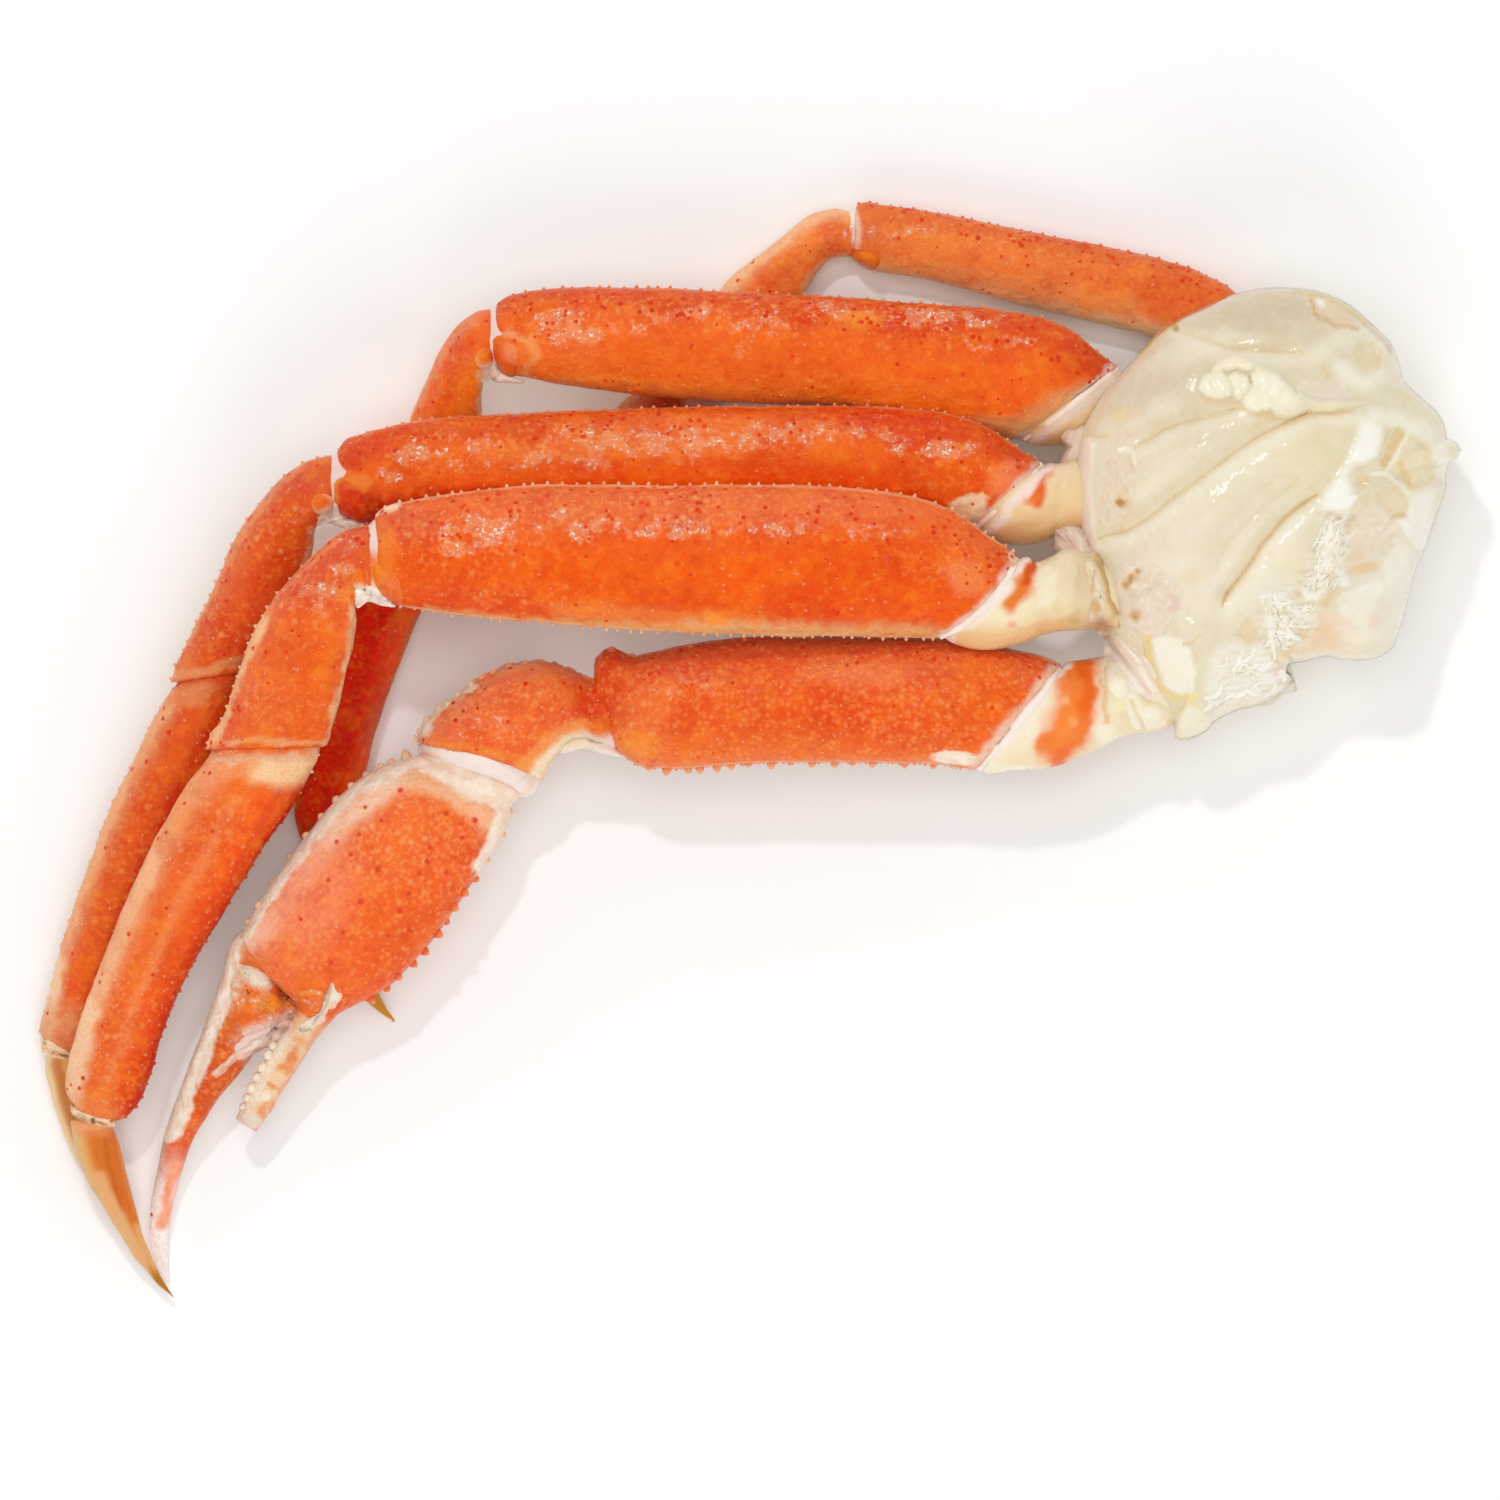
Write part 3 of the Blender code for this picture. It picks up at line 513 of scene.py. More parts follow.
def shell_material(name, rough=0.27, glint_paint=1.0, net=0.0, soft=0.05, pores=1.0, cloudy=1.0, edge=0.8, pale=((236, 196, 146), (244, 222, 186))):
    """Cooked shell: painted colour, mottled, grainy where masked, with painted glints (white highlight specks on a
    paler painted sheen) and granular edges of cream.
    """
    m = Nodes(name)
    paint, masks = m.attribute("paint"), m.attribute("masks")
    split = m.node("ShaderNodeSeparateColor", {0: masks})
    cream, glint_mask, grainy = split.outputs[0], split.outputs[1], split.outputs[2]
    fine, grain = m.noise(0.0010, 4, 0.65), m.noise(0.00042, 2, 0.6)
    wide, middle = m.noise(0.0065, 3, 0.6), m.noise(0.0023, 3, 0.6)
    bare = m.ramp(m.node("ShaderNodeSeparateColor", {0: paint}).outputs[2], 0.42, 0.10)      # pale places stay clean
    clouded = m.math("MULTIPLY", bare, cloudy)
    # clouds, brighter and redder, of two sizes
    colour = m.mix(m.math("MULTIPLY", m.ramp(wide, 0.49, 0.72), m.math("MULTIPLY", clouded, 0.60)), paint, m.mix(0.45, paint, rgb(255, 146, 22)))
    colour = m.mix(m.math("MULTIPLY", m.ramp(wide, 0.51, 0.28), m.math("MULTIPLY", clouded, 0.60)), colour, m.mix(0.5, colour, rgb(208, 38, 0)))
    colour = m.mix(m.math("MULTIPLY", m.ramp(middle, 0.50, 0.70), m.math("MULTIPLY", clouded, 0.55)), colour, m.mix(0.42, colour, rgb(255, 146, 44)))
    colour = m.mix(m.math("MULTIPLY", m.ramp(middle, 0.49, 0.32), m.math("MULTIPLY", clouded, 0.50)), colour, m.mix(0.42, colour, rgb(212, 44, 0)))
    # soft pale lentils, fine peach flecks, and faint darker grain
    spot_far, spot_pick = m.cells(0.0021)
    lentil = m.math("MULTIPLY", m.ramp(spot_far, 0.40, 0.06), m.ramp(spot_pick, 0.46, 0.58))
    lentil = m.math("MULTIPLY", lentil, m.math("ADD", 0.30 * pores, m.math("MULTIPLY", grainy, 0.60 * pores)))
    colour = m.mix(lentil, colour, m.mix(0.6, colour, m.mix(grainy, rgb(255, 150, 40), rgb(255, 190, 126))))
    peach = m.math("MULTIPLY", m.ramp(fine, 0.51, 0.61), m.math("ADD", 0.16 * pores, m.math("MULTIPLY", grainy, 0.60 * pores)))
    colour = m.mix(peach, colour, m.mix(0.5, colour, m.mix(grainy, rgb(255, 142, 34), rgb(255, 172, 104))))
    colour = m.mix(m.math("MULTIPLY", m.ramp(grain, 0.54, 0.34), 0.24 * pores), colour,
                   m.mix(1.0, colour, rgb(226, 160, 120), "MULTIPLY"))
    if net:
        far, pick = m.cells(0.00115)
        knot = m.math("MULTIPLY", m.ramp(far, 0.50, 0.20), m.math("MULTIPLY", m.ramp(pick, 0.15, 0.45), m.math("MULTIPLY", bare, net)))
        colour = m.mix(knot, colour, m.mix(0.5, colour, rgb(255, 166, 92)))
    # cream, with a granular edge
    border = m.math("ADD", cream, m.math("MULTIPLY", m.math("SUBTRACT", fine, 0.5), edge))
    creamy = m.mix(m.ramp(middle, 0.35, 0.7), rgb(*pale[0]), rgb(*pale[1]))
    wide_edge = 0.34 - 0.25 * (0.8 - edge)
    colour = m.mix(m.math("MULTIPLY", m.ramp(border, wide_edge, 1.02 - wide_edge), 0.92), colour, creamy)
    # painted highlights: white glint specks of two sizes on a paler painted sheen, clustered where the mask's second
    # channel is set
    cluster = m.ramp(m.math("ADD", m.noise(0.0030, 3, 0.6), m.math("MULTIPLY", m.math("SUBTRACT", glint_mask, 0.5), 0.22)), 0.46, 0.60)
    cluster = m.math("MULTIPLY", cluster, m.math("MULTIPLY", m.ramp(glint_mask, 0.05, 0.6), glint_paint))
    colour = m.mix(m.math("MULTIPLY", cluster, 0.42), colour, m.mix(0.7, colour, rgb(255, 186, 132)))
    speck = m.math("MULTIPLY", m.ramp(m.noise(0.00062, 3, 0.72, distortion=0.6), 0.55, 0.63), cluster)
    colour = m.mix(m.math("MULTIPLY", speck, 0.95), colour, rgb(255, 250, 240))
    sparkle = m.math("MULTIPLY", m.noise(0.00060, 2, 0.6), m.math("ADD", cluster, 0.05))
    m.put(m.shader.inputs["Base Color"], colour)
    m.put(m.shader.inputs["Roughness"], m.ramp(fine, 0.3, 0.7, rough - 0.08, rough + 0.12))
    m.shader.inputs["Specular IOR Level"].default_value = 0.04
    m.shader.inputs["Coat Weight"].default_value = 0.26
    m.shader.inputs["Coat Roughness"].default_value = 0.09
    m.shader.inputs["Subsurface Weight"].default_value = soft
    m.shader.inputs["Subsurface Radius"].default_value = (1.0, 0.35, 0.18)
    m.shader.inputs["Subsurface Scale"].default_value = 0.0012
    m.bump([(wide, 0.0008), (middle, 0.00045 * cloudy), (fine, 0.00022), (grain, 0.00005), (lentil, 0.00018), (speck, 0.00005), (sparkle, 0.00028)])
    return m.material


def meat_material(name, rough=0.34, soft=0.35, fibres=1.0, depth=0.0015, mottle=1.0):
    """Moist meat and body shell: painted ivory with faint streaks and watery patches."""
    m = Nodes(name)
    paint, masks = m.attribute("paint"), m.attribute("masks")
    split = m.node("ShaderNodeSeparateColor", {0: masks})
    wet, fibrous = split.outputs[1], split.outputs[0]
    wide, fine, middle = m.noise(0.007, 3, 0.55), m.noise(0.0012, 4, 0.6), m.noise(0.0032, 3, 0.6)
    fibre = m.noise(0.0011, 3, 0.6, stretch=((0.16, 1.0, 1.0), (0, 0, math.radians(52))))
    colour = m.mix(m.math("MULTIPLY", m.ramp(wide, 0.45, 0.75), 0.5 * mottle), paint, m.mix(1.0, paint, rgb(250, 240, 214), "MULTIPLY"))
    colour = m.mix(m.math("MULTIPLY", m.ramp(middle, 0.50, 0.30), 0.55 * mottle), colour, m.mix(1.0, colour, rgb(245, 236, 214), "MULTIPLY"))
    colour = m.mix(m.math("MULTIPLY", m.ramp(middle, 0.52, 0.74), 0.45 * mottle), colour, m.mix(0.6, colour, rgb(250, 246, 232)))
    colour = m.mix(m.math("MULTIPLY", m.ramp(fine, 0.46, 0.72), 0.40 * mottle), colour, m.mix(0.6, colour, rgb(252, 248, 236)))
    colour = m.mix(m.math("MULTIPLY", m.ramp(fibre, 0.52, 0.35), m.math("MULTIPLY", fibrous, 0.5)), colour,
                   m.mix(1.0, colour, rgb(238, 226, 204), "MULTIPLY"))
    m.put(m.shader.inputs["Base Color"], colour)
    m.put(m.shader.inputs["Roughness"], m.ramp(wet, 0, 1, rough + 0.12, rough - 0.14))
    m.shader.inputs["Specular IOR Level"].default_value = 0.15
    m.shader.inputs["Coat Weight"].default_value = 0.42
    m.shader.inputs["Coat Roughness"].default_value = 0.10
    m.shader.inputs["Subsurface Weight"].default_value = soft
    m.shader.inputs["Subsurface Radius"].default_value = (1.0, 0.88, 0.76)
    m.shader.inputs["Subsurface Scale"].default_value = depth
    m.bump([(wide, 0.0006), (middle, 0.0002 * mottle), (fine, 0.00014 * mottle), (m.math("MULTIPLY", fibre, fibrous), 0.0003 * fibres)])
    return m.material


SHELL = shell_material("shell", rough=0.25)
DEEP = shell_material("deep_shell", glint_paint=0.7)
CLAW = shell_material("claw_shell", glint_paint=0.6, net=0.6, edge=0.45, pale=((243, 222, 196), (252, 242, 226)))
BASE = shell_material("base_shell", glint_paint=0.3, soft=0.2, pores=0.1, cloudy=0.12)
HORN = shell_material("horn", rough=0.24, glint_paint=0.1, soft=0.1, pores=0.2, cloudy=0.2)
DOTS = shell_material("shell_dots", glint_paint=0.0, soft=0.0, pores=0.1, cloudy=0.1)
SKIN = meat_material("joint_skin", rough=0.3, soft=0.06, fibres=0.4, depth=0.0008, mottle=0.7)
MEAT = meat_material("meat", rough=0.30, soft=0.22, mottle=0.45)
FIBRE = meat_material("meat_fibre", soft=0.0, fibres=0.3)
BODY_SHELL = meat_material("body_shell", rough=0.36, soft=0.15, fibres=0.2)


# ------------------------------------------------------------------ colours, as 0 to 255 screen values
ORANGE, ORANGE_TOP, ORANGE_LOW = (238, 88, 16), (236, 106, 52), (222, 66, 12)
RED, DEEP_RED, DARK_RED, PINK_RED = (208, 52, 12), (186, 32, 8), (150, 16, 4), (226, 88, 62)
BRIGHT, YELLOW_ORANGE, PEACH = (246, 104, 14), (246, 146, 48), (248, 152, 104)
CREAM, TAN, IVORY, LAVENDER = (236, 204, 158), (214, 166, 112), (244, 228, 200), (236, 214, 204)
GOLD, GOLD_DARK, GOLD_PALE, BROWN = (208, 150, 84), (176, 112, 24), (224, 176, 122), (176, 104, 44)

# Painting and relief of each segment. base: colours of the far edge, middle and near edge as seen from above.
# marks: blob (x, y, rx, ry, turn, colour, strength), line (points, width, colour, strength); "cream" paints the
# granular cream. relief: the same with a height in mm in place of colour and strength.
LOOKS = {
    "claw_base": dict(material="BASE", base=((244, 232, 206), (246, 234, 206), (240, 220, 182)), marks=[
        ("blob", 1118, 710, 12, 26, 10, (236, 222, 182), 0.6), ("blob", 1134, 720, 14, 8, 20, (226, 206, 160), 0.5), ("blob", 1106, 736, 12, 12, 0, (250, 242, 222), 0.6),
        ("line", [(1078, 666), (1076, 704), (1058, 744)], 20, (246, 128, 44), 0.97), ("line", [(1084, 664), (1088, 694), (1080, 736), (1056, 762)], 7, (238, 104, 26), 0.9),
        ("blob", 1046, 742, 14, 8, -40, (244, 130, 52), 0.9), ("blob", 1066, 700, 5, 4, 0, (252, 196, 140), 0.6), ("blob", 1074, 722, 4, 5, 0, (252, 190, 130), 0.6),
        ("blob", 1070, 730, 14, 20, 30, (248, 150, 70), 0.5), ("line", [(1068, 660), (1038, 700), (1030, 745)], 5, (250, 236, 214), 0.5),
        ("line", [(1104, 680), (1108, 722)], 2.5, (228, 170, 100), 0.6), ("line", [(1064, 664), (1030, 712), (980, 770)], 5, (248, 232, 224), 0.95),
        ("blob", 1000, 772, 40, 9, 0, (246, 236, 212), 0.9), ("blob", 1135, 705, 20, 12, 20, (246, 234, 190), 0.8)],
        relief=[("line", [(1104, 665), (1100, 740)], 5, -0.5), ("blob", 1122, 690, 14, 12, 0, 0.8),
                ("blob", 1146, 712, 14, 10, 30, 0.7), ("line", [(1128, 700), (1140, 732)], 4, -0.5)]),
    "claw_merus": dict(material="CLAW", base=((234, 100, 56), (236, 96, 34), (240, 112, 44)), marks=[
        ("blob", 640, 720, 34, 36, 0, (236, 110, 56), 0.8), ("blob", 612, 690, 12, 36, 0, RED, 0.55),
        ("blob", 640, 744, 22, 12, 0, YELLOW_ORANGE, 0.7), ("blob", 760, 700, 90, 30, 0, (236, 84, 26), 0.7),
        ("blob", 880, 720, 70, 26, 0, (234, 80, 24), 0.6), ("blob", 985, 690, 30, 34, 30, BRIGHT, 0.5),
        ("blob", 860, 672, 60, 14, 0, (240, 132, 84), 0.6), ("blob", 700, 672, 40, 12, 0, PINK_RED, 0.5),
        ("line", [(1058, 666), (1040, 692), (1010, 726), (976, 766)], 7, (240, 200, 176), 0.92),
        ("blob", 955, 758, 26, 8, 0, "cream", 0.8)],
        relief=[("line", [(1062, 668), (1014, 722), (978, 768)], 5, -0.35), ("line", [(1046, 668), (1020, 700), (966, 762)], 4, 0.3),
                ("blob", 612, 672, 16, 26, 10, 0.9), ("blob", 640, 736, 30, 24, 0, 0.7), ("line", [(630, 664), (622, 720)], 6, -0.5)],
        dots=0.6, serrate=(1, 9, 0.35, 0.32)),
    "claw_carpus": dict(material="CLAW", base=((240, 130, 84), (240, 102, 48), (242, 104, 50)), marks=[
        ("line", [(412, 742), (424, 718), (446, 700), (468, 684)], 8, "cream", 0.8), ("line", [(468, 684), (500, 667), (540, 661)], 4, (244, 180, 130), 0.7),
        ("blob", 420, 728, 10, 12, 40, (243, 228, 208), 0.8),
        ("blob", 560, 700, 22, 26, 0, (226, 84, 54), 0.6), ("blob", 490, 720, 46, 22, -30, (236, 100, 44), 0.6),
        ("line", [(419, 745), (480, 749), (530, 764)], 4, (240, 140, 56), 0.7), 
        ("line", [(528, 786), (546, 762), (562, 744), (584, 738)], 8, (248, 232, 196), 0.95), ("line", [(520, 770), (540, 748), (560, 732), (584, 726)], 7, (246, 170, 92), 0.6),
        ("blob", 590, 700, 18, 22, 0, (222, 58, 22), 0.75), ("blob", 597, 729, 12, 11, 0, (240, 120, 40), 0.95),
        ("blob", 606, 748, 34, 13, 8, (236, 218, 208), 0.97), ("blob", 592, 738, 10, 6, 20, (240, 224, 200), 0.8)],
        relief=[("line", [(419, 742), (480, 746), (530, 768)], 6, 0.4), ("blob", 588, 700, 12, 24, 0, -0.9), ("blob", 597, 729, 10, 9, 0, 0.9),
                ("blob", 580, 742, 16, 8, 0, -0.5)],
        dots=0.5, serrate=(0, 9, 0.30, 0.5)),
    "claw_palm": dict(material="CLAW", base=((242, 134, 88), (242, 106, 50), (236, 94, 34)), marks=[
        ("line", [(404, 762), (374, 784), (340, 812), (310, 850), (280, 892), (254, 934)], 20, (246, 166, 128), 0.7),
        ("line", [(400, 772), (372, 792), (338, 820), (306, 860), (276, 902), (256, 936)], 15, (249, 214, 184), 0.85),
        ("line", [(408, 748), (383, 764), (350, 784), (320, 816), (287, 856), (260, 896), (238, 932)], 14, "cream", 1.0), ("blob", 392, 768, 22, 12, -30, "cream", 1.0),
        ("line", [(424, 754), (460, 772), (505, 796)], 18, "cream", 1.0), ("line", [(414, 778), (446, 788), (470, 804), (488, 822)], 11, (249, 206, 164), 0.8),
        ("line", [(508, 808), (503, 836), (486, 868)], 14, "cream", 1.0), ("line", [(484, 872), (466, 904), (440, 940)], 5, "cream", 0.55),
        ("blob", 486, 798, 14, 6, 20, (244, 140, 66), 0.9), ("blob", 310, 900, 40, 60, 30, (250, 140, 100), 0.75), ("blob", 400, 920, 60, 40, -40, (244, 96, 30), 0.5),
        ("line", [(236, 940), (243, 962)], 6, "cream", 0.9), ("blob", 282, 960, 24, 20, 30, (240, 110, 66), 0.6),
        ("blob", 310, 992, 12, 12, 0, (236, 106, 40), 0.9), ("blob", 300, 1040, 30, 20, 0, (236, 150, 84), 0.7),
        ("line", [(304, 1034), (284, 1064), (254, 1112)], 20, (238, 208, 168), 0.95), ("line", [(320, 1034), (298, 1074), (274, 1112)], 5, (238, 150, 106), 0.8),
        ("blob", 292, 1058, 5, 12, 30, (232, 132, 52), 0.7), ("blob", 287, 1070, 9, 4, 10, (232, 132, 52), 0.7), ("blob", 272, 1087, 9, 3, 24, (228, 126, 46), 0.7),
        ("blob", 268, 1104, 7, 4, -30, (232, 140, 70), 0.6), ("blob", 262, 1114, 4, 6, 20, (226, 128, 60), 0.6), ("blob", 300, 1040, 10, 4, 20, (236, 160, 90), 0.6),
        ("blob", 284, 1046, 6, 4, 10, (236, 160, 90), 0.5), ("line", [(279, 1040), (258, 1076), (240, 1112)], 9, (242, 228, 206), 0.85),
        ("blob", 262, 1098, 9, 5, 30, (244, 232, 214), 0.8), ("blob", 252, 1120, 7, 8, 0, (242, 226, 210), 0.8),
        ("blob", 246, 1122, 12, 12, 0, (230, 212, 196), 0.95)],
        relief=[("line", [(418, 752), (460, 768), (509, 794)], 6, 0.6), ("line", [(424, 772), (500, 806)], 6, -0.3),
                ("blob", 268, 968, 26, 8, 40, -0.5), ("blob", 312, 990, 14, 12, 0, 0.6), ("line", [(292, 978), (330, 972)], 5, -0.6)],
        dots=0.0),
    "claw_finger": dict(material="CLAW", base=((232, 202, 162), (222, 114, 60), (214, 94, 36)), marks=[
        ("line", [(230, 944), (224, 984), (208, 1030), (188, 1084), (172, 1130)], 12, "cream", 0.95), ("line", [(222, 1000), (204, 1046), (190, 1090)], 3, (214, 186, 140), 0.5),
        ("blob", 250, 985, 26, 20, 40, (232, 112, 52), 0.7), ("line", [(250, 1010), (226, 1060), (198, 1116)], 15, (214, 84, 24), 0.92),
        ("blob", 260, 1040, 24, 22, -40, (226, 200, 184), 0.6),
        ("line", [(186, 1120), (178, 1150), (170, 1170)], 12, (232, 88, 40), 0.8), ("blob", 158, 1246, 40, 76, 8, (250, 240, 236), 1.0),
        ("line", [(176, 1168), (169, 1196), (163, 1224)], 6, (250, 166, 128), 0.95)],
        relief=[("line", [(236, 970), (214, 1030), (184, 1104)], 5, -0.4), ("line", [(256, 1000), (226, 1058), (196, 1120)], 7, 0.35)],
        dots=0.08),
    "leg1_base": dict(material="BASE", base=((244, 228, 194), (244, 228, 190), (232, 196, 142)), marks=[
        ("blob", 1070, 586, 12, 22, 10, (232, 214, 178), 0.4), ("blob", 1046, 590, 10, 22, 14, (248, 238, 212), 0.6), ("blob", 1060, 612, 30, 8, -6, (238, 212, 164), 0.6),
        ("blob", 1092, 590, 14, 34, -10, (224, 196, 150), 0.7), ("blob", 1080, 616, 12, 7, 0, (214, 168, 118), 0.6),
        ("line", [(1030, 560), (1024, 586), (1010, 604)], 8, (236, 116, 24), 0.95), ("line", [(1034, 561), (1028, 582)], 4, (220, 76, 8), 0.8),
        ("blob", 1098, 622, 12, 9, 0, (196, 136, 104), 0.7), ("line", [(960, 644), (1010, 636), (1060, 628)], 8, (240, 190, 134), 0.6),
        ("line", [(1024, 558), (990, 606), (946, 642)], 5, (248, 230, 222), 0.95), ("blob", 1086, 596, 10, 30, 0, (238, 216, 178), 0.5),
        ("blob", 1012, 624, 5, 3, 0, (240, 150, 120), 0.6)],
        relief=[("line", [(1052, 562), (1044, 592), (1046, 626)], 5, -0.15), ("line", [(1066, 556), (1058, 590), (1064, 622)], 5, -0.2),
                ("blob", 1084, 590, 8, 26, 6, -0.5), ("blob", 1060, 575, 10, 8, 0, 0.4), ("blob", 1076, 612, 10, 7, 0, 0.4), ("blob", 1092, 566, 7, 8, 0, 0.5)]),
    "leg1_merus": dict(material="SHELL", base=((236, 104, 42), ORANGE, (232, 78, 10)), marks=[
        ("line", [(430, 612), (500, 620), (570, 624)], 6, (238, 170, 104), 0.6), ("line", [(560, 610), (660, 616), (760, 622)], 8, (240, 138, 62), 0.6),
        ("blob", 700, 506, 230, 20, 0, (236, 112, 68), 0.6), ("blob", 480, 585, 60, 22, 0, (226, 78, 36), 0.5),
        ("blob", 405, 525, 34, 20, 0, (226, 96, 62), 0.7), ("blob", 384, 560, 14, 34, 0, YELLOW_ORANGE, 0.55),
        ("blob", 640, 565, 240, 34, 0, (243, 94, 10), 0.6), ("blob", 860, 590, 80, 26, 0, (238, 78, 12), 0.6),
        ("line", [(690, 632), (760, 635), (850, 637), (945, 640)], 13, (228, 176, 116), 0.9), ("line", [(566, 628), (630, 630), (700, 634)], 8, (230, 164, 96), 0.9),
        ("blob", 966, 578, 22, 16, 30, PEACH, 0.55), ("blob", 715, 618, 11, 8, 0, YELLOW_ORANGE, 0.9),
        ("line", [(1014, 556), (1003, 586), (978, 614), (941, 638)], 6, (240, 204, 182), 0.95),
        ("line", [(376, 513), (396, 506)], 4, IVORY, 0.9), ("blob", 1000, 560, 16, 8, 40, RED, 0.35)],
        relief=[("line", [(1016, 558), (990, 604), (944, 640)], 4, -0.3), ("line", [(1004, 560), (978, 600), (930, 638)], 4, 0.22),
                ("line", [(377, 513), (397, 507)], 4, 0.35), ("blob", 386, 572, 14, 26, 0, 0.5), ("line", [(404, 540), (398, 600)], 6, -0.25)],
        dots=1.0, serrate=(2, 15, 0.55, 0.4)),
    "leg1_carpus": dict(material="SHELL", base=((228, 96, 58), (236, 100, 38), (234, 104, 46)), marks=[
        ("blob", 318, 568, 44, 36, 0, (220, 80, 52), 0.75), ("blob", 315, 690, 20, 60, 12, (240, 98, 16), 0.7),
        ("blob", 262, 690, 22, 50, 20, (236, 110, 48), 0.5),
        ("line", [(356, 606), (356, 634), (346, 676), (336, 716), (328, 746)], 6, (240, 200, 150), 0.9),
        ("line", [(207, 742), (250, 740), (326, 742)], 3, (238, 180, 128), 0.7), ("blob", 350, 596, 14, 9, 0, (244, 140, 60), 0.8),
        ("line", [(338, 536), (288, 584), (250, 642)], 4, (242, 150, 100), 0.6), ("line", [(262, 620), (240, 670), (222, 715), (212, 744)], 6, (246, 196, 140), 0.9)],
        relief=[("line", [(350, 606), (346, 660), (326, 738)], 5, 0.3), ("line", [(344, 560), (322, 640), (296, 730)], 9, -0.35),
                ("line", [(290, 600), (262, 680), (240, 730)], 8, 0.25), ("line", [(210, 732), (326, 736)], 5, 0.35)],
        dots=0.6, serrate=(0, 17, 0.45, 0.4)),
    "leg1_propodus": dict(material="SHELL", base=((242, 160, 108), (238, 106, 46), (214, 58, 14)), marks=[
        ("line", [(150, 860), (114, 940), (84, 1020), (68, 1100)], 12, (246, 186, 140), 0.9), ("line", [(92, 1010), (80, 1050), (74, 1096)], 8, (246, 204, 166), 0.8),
        ("line", [(262, 800), (206, 900), (156, 1000), (124, 1090)], 8, (244, 92, 22), 0.8), ("line", [(236, 800), (180, 900), (136, 1000), (106, 1080)], 5, (244, 138, 84), 0.6),
        ("line", [(284, 800), (228, 900), (178, 1000), (142, 1090)], 6, (246, 120, 44), 0.7),
        ("line", [(290, 806), (228, 898), (190, 966), (153, 1039), (124, 1106)], 12, (222, 66, 8), 0.8),
        ("line", [(297, 808), (236, 900), (199, 967), (162, 1040), (134, 1108)], 8.5, (198, 26, 2), 0.95),
        ("line", [(262, 770), (290, 772), (318, 764)], 15, (250, 214, 164), 0.9), ("line", [(210, 774), (250, 766)], 9, (244, 160, 110), 0.7),
        ("blob", 96, 1108, 26, 14, 20, (236, 130, 70), 0.7), ("line", [(214, 760), (320, 756)], 4, (236, 190, 150), 0.8)],
        relief=[("line", [(222, 776), (150, 920), (92, 1080)], 7, 0.28), ("line", [(262, 790), (180, 950), (118, 1100)], 8, -0.22),
                ("line", [(286, 800), (206, 950), (134, 1100)], 6, 0.2), ("line", [(214, 764), (318, 760)], 6, 0.4)],
        dots=0.4, serrate=(1, 14, 0.4, 0.4)),
    "leg1_dactyl": dict(material="HORN", base=((228, 178, 110), (222, 142, 66), (228, 170, 100)), marks=[
        ("line", [(108, 1130), (113, 1162), (120, 1192), (130, 1216)], 9, (214, 104, 28), 0.9), ("line", [(93, 1130), (97, 1152), (102, 1166)], 6, (214, 112, 40), 0.9),
        ("line", [(98, 1178), (108, 1202), (122, 1230), (140, 1256)], 7, (232, 172, 118), 0.9), ("line", [(120, 1218), (131, 1240), (145, 1262)], 6, (226, 172, 118), 0.8),
        ("line", [(127, 1150), (134, 1190), (142, 1224)], 4, (216, 130, 62), 0.8), ("line", [(104, 1140), (111, 1176), (120, 1206)], 1.8, (184, 88, 26), 0.5), ("line", [(118, 1136), (126, 1180), (134, 1212)], 2.6, (232, 138, 58), 0.7),
        ("line", [(74, 1136), (84, 1170), (104, 1212), (130, 1250)], 4, (218, 182, 128), 0.85), ("line", [(76, 1128), (104, 1124), (136, 1126)], 4, (248, 200, 160), 0.8),
        ("blob", 162, 1286, 16, 14, 50, GOLD_DARK, 0.95), ("blob", 92, 1128, 24, 8, 5, (226, 140, 84), 0.7)],
        relief=[("line", [(93, 1130), (106, 1182), (128, 1228), (156, 1272)], 5, -0.4), ("line", [(80, 1146), (104, 1206), (140, 1262)], 5, 0.25),
                ("line", [(110, 1140), (120, 1180), (136, 1226)], 5, 0.25)]),
    "leg2_base": dict(material="BASE", base=((242, 220, 182), (238, 208, 160), (226, 180, 124)), marks=[
        ("blob", 1060, 482, 10, 16, 10, (232, 206, 164), 0.6), ("blob", 1040, 514, 24, 8, -24, (230, 190, 138), 0.6), ("blob", 1020, 528, 24, 6, -20, (216, 168, 112), 0.5),
        ("line", [(1046, 464), (1040, 482), (1036, 498)], 7, (230, 90, 16), 0.95), ("blob", 1030, 498, 10, 6, -30, (236, 130, 56), 0.7),
        ("line", [(1048, 466), (1018, 500), (984, 536)], 5, (246, 226, 214), 0.9), ("blob", 1050, 540, 26, 10, 0, (230, 182, 124), 0.5)],
        relief=[("line", [(1064, 462), (1056, 530)], 4, -0.3), ("blob", 1062, 470, 10, 8, 0, 0.5)]),
    "leg2_merus": dict(material="SHELL", base=((226, 82, 18), (238, 94, 22), (224, 60, 8)), marks=[
        ("line", [(600, 470), (700, 474), (800, 476), (900, 484)], 10, (236, 74, 10), 0.6), ("line", [(480, 452), (600, 450), (740, 446)], 9, (246, 132, 58), 0.5),
        ("blob", 900, 428, 60, 20, 8, (224, 50, 14), 0.7), ("blob", 700, 430, 150, 16, 0, (240, 116, 54), 0.6),
        ("blob", 425, 508, 80, 18, -4, (196, 36, 8), 0.8), ("blob", 356, 505, 20, 20, 0, (190, 36, 8), 0.9),
        ("line", [(334, 482), (350, 475), (366, 484)], 6, (240, 130, 50), 0.8), ("blob", 352, 455, 14, 15, 0, (214, 70, 38), 0.8),
        ("blob", 396, 450, 26, 20, 0, (222, 66, 26), 0.6), ("blob", 820, 480, 180, 20, 0, (232, 80, 10), 0.5),
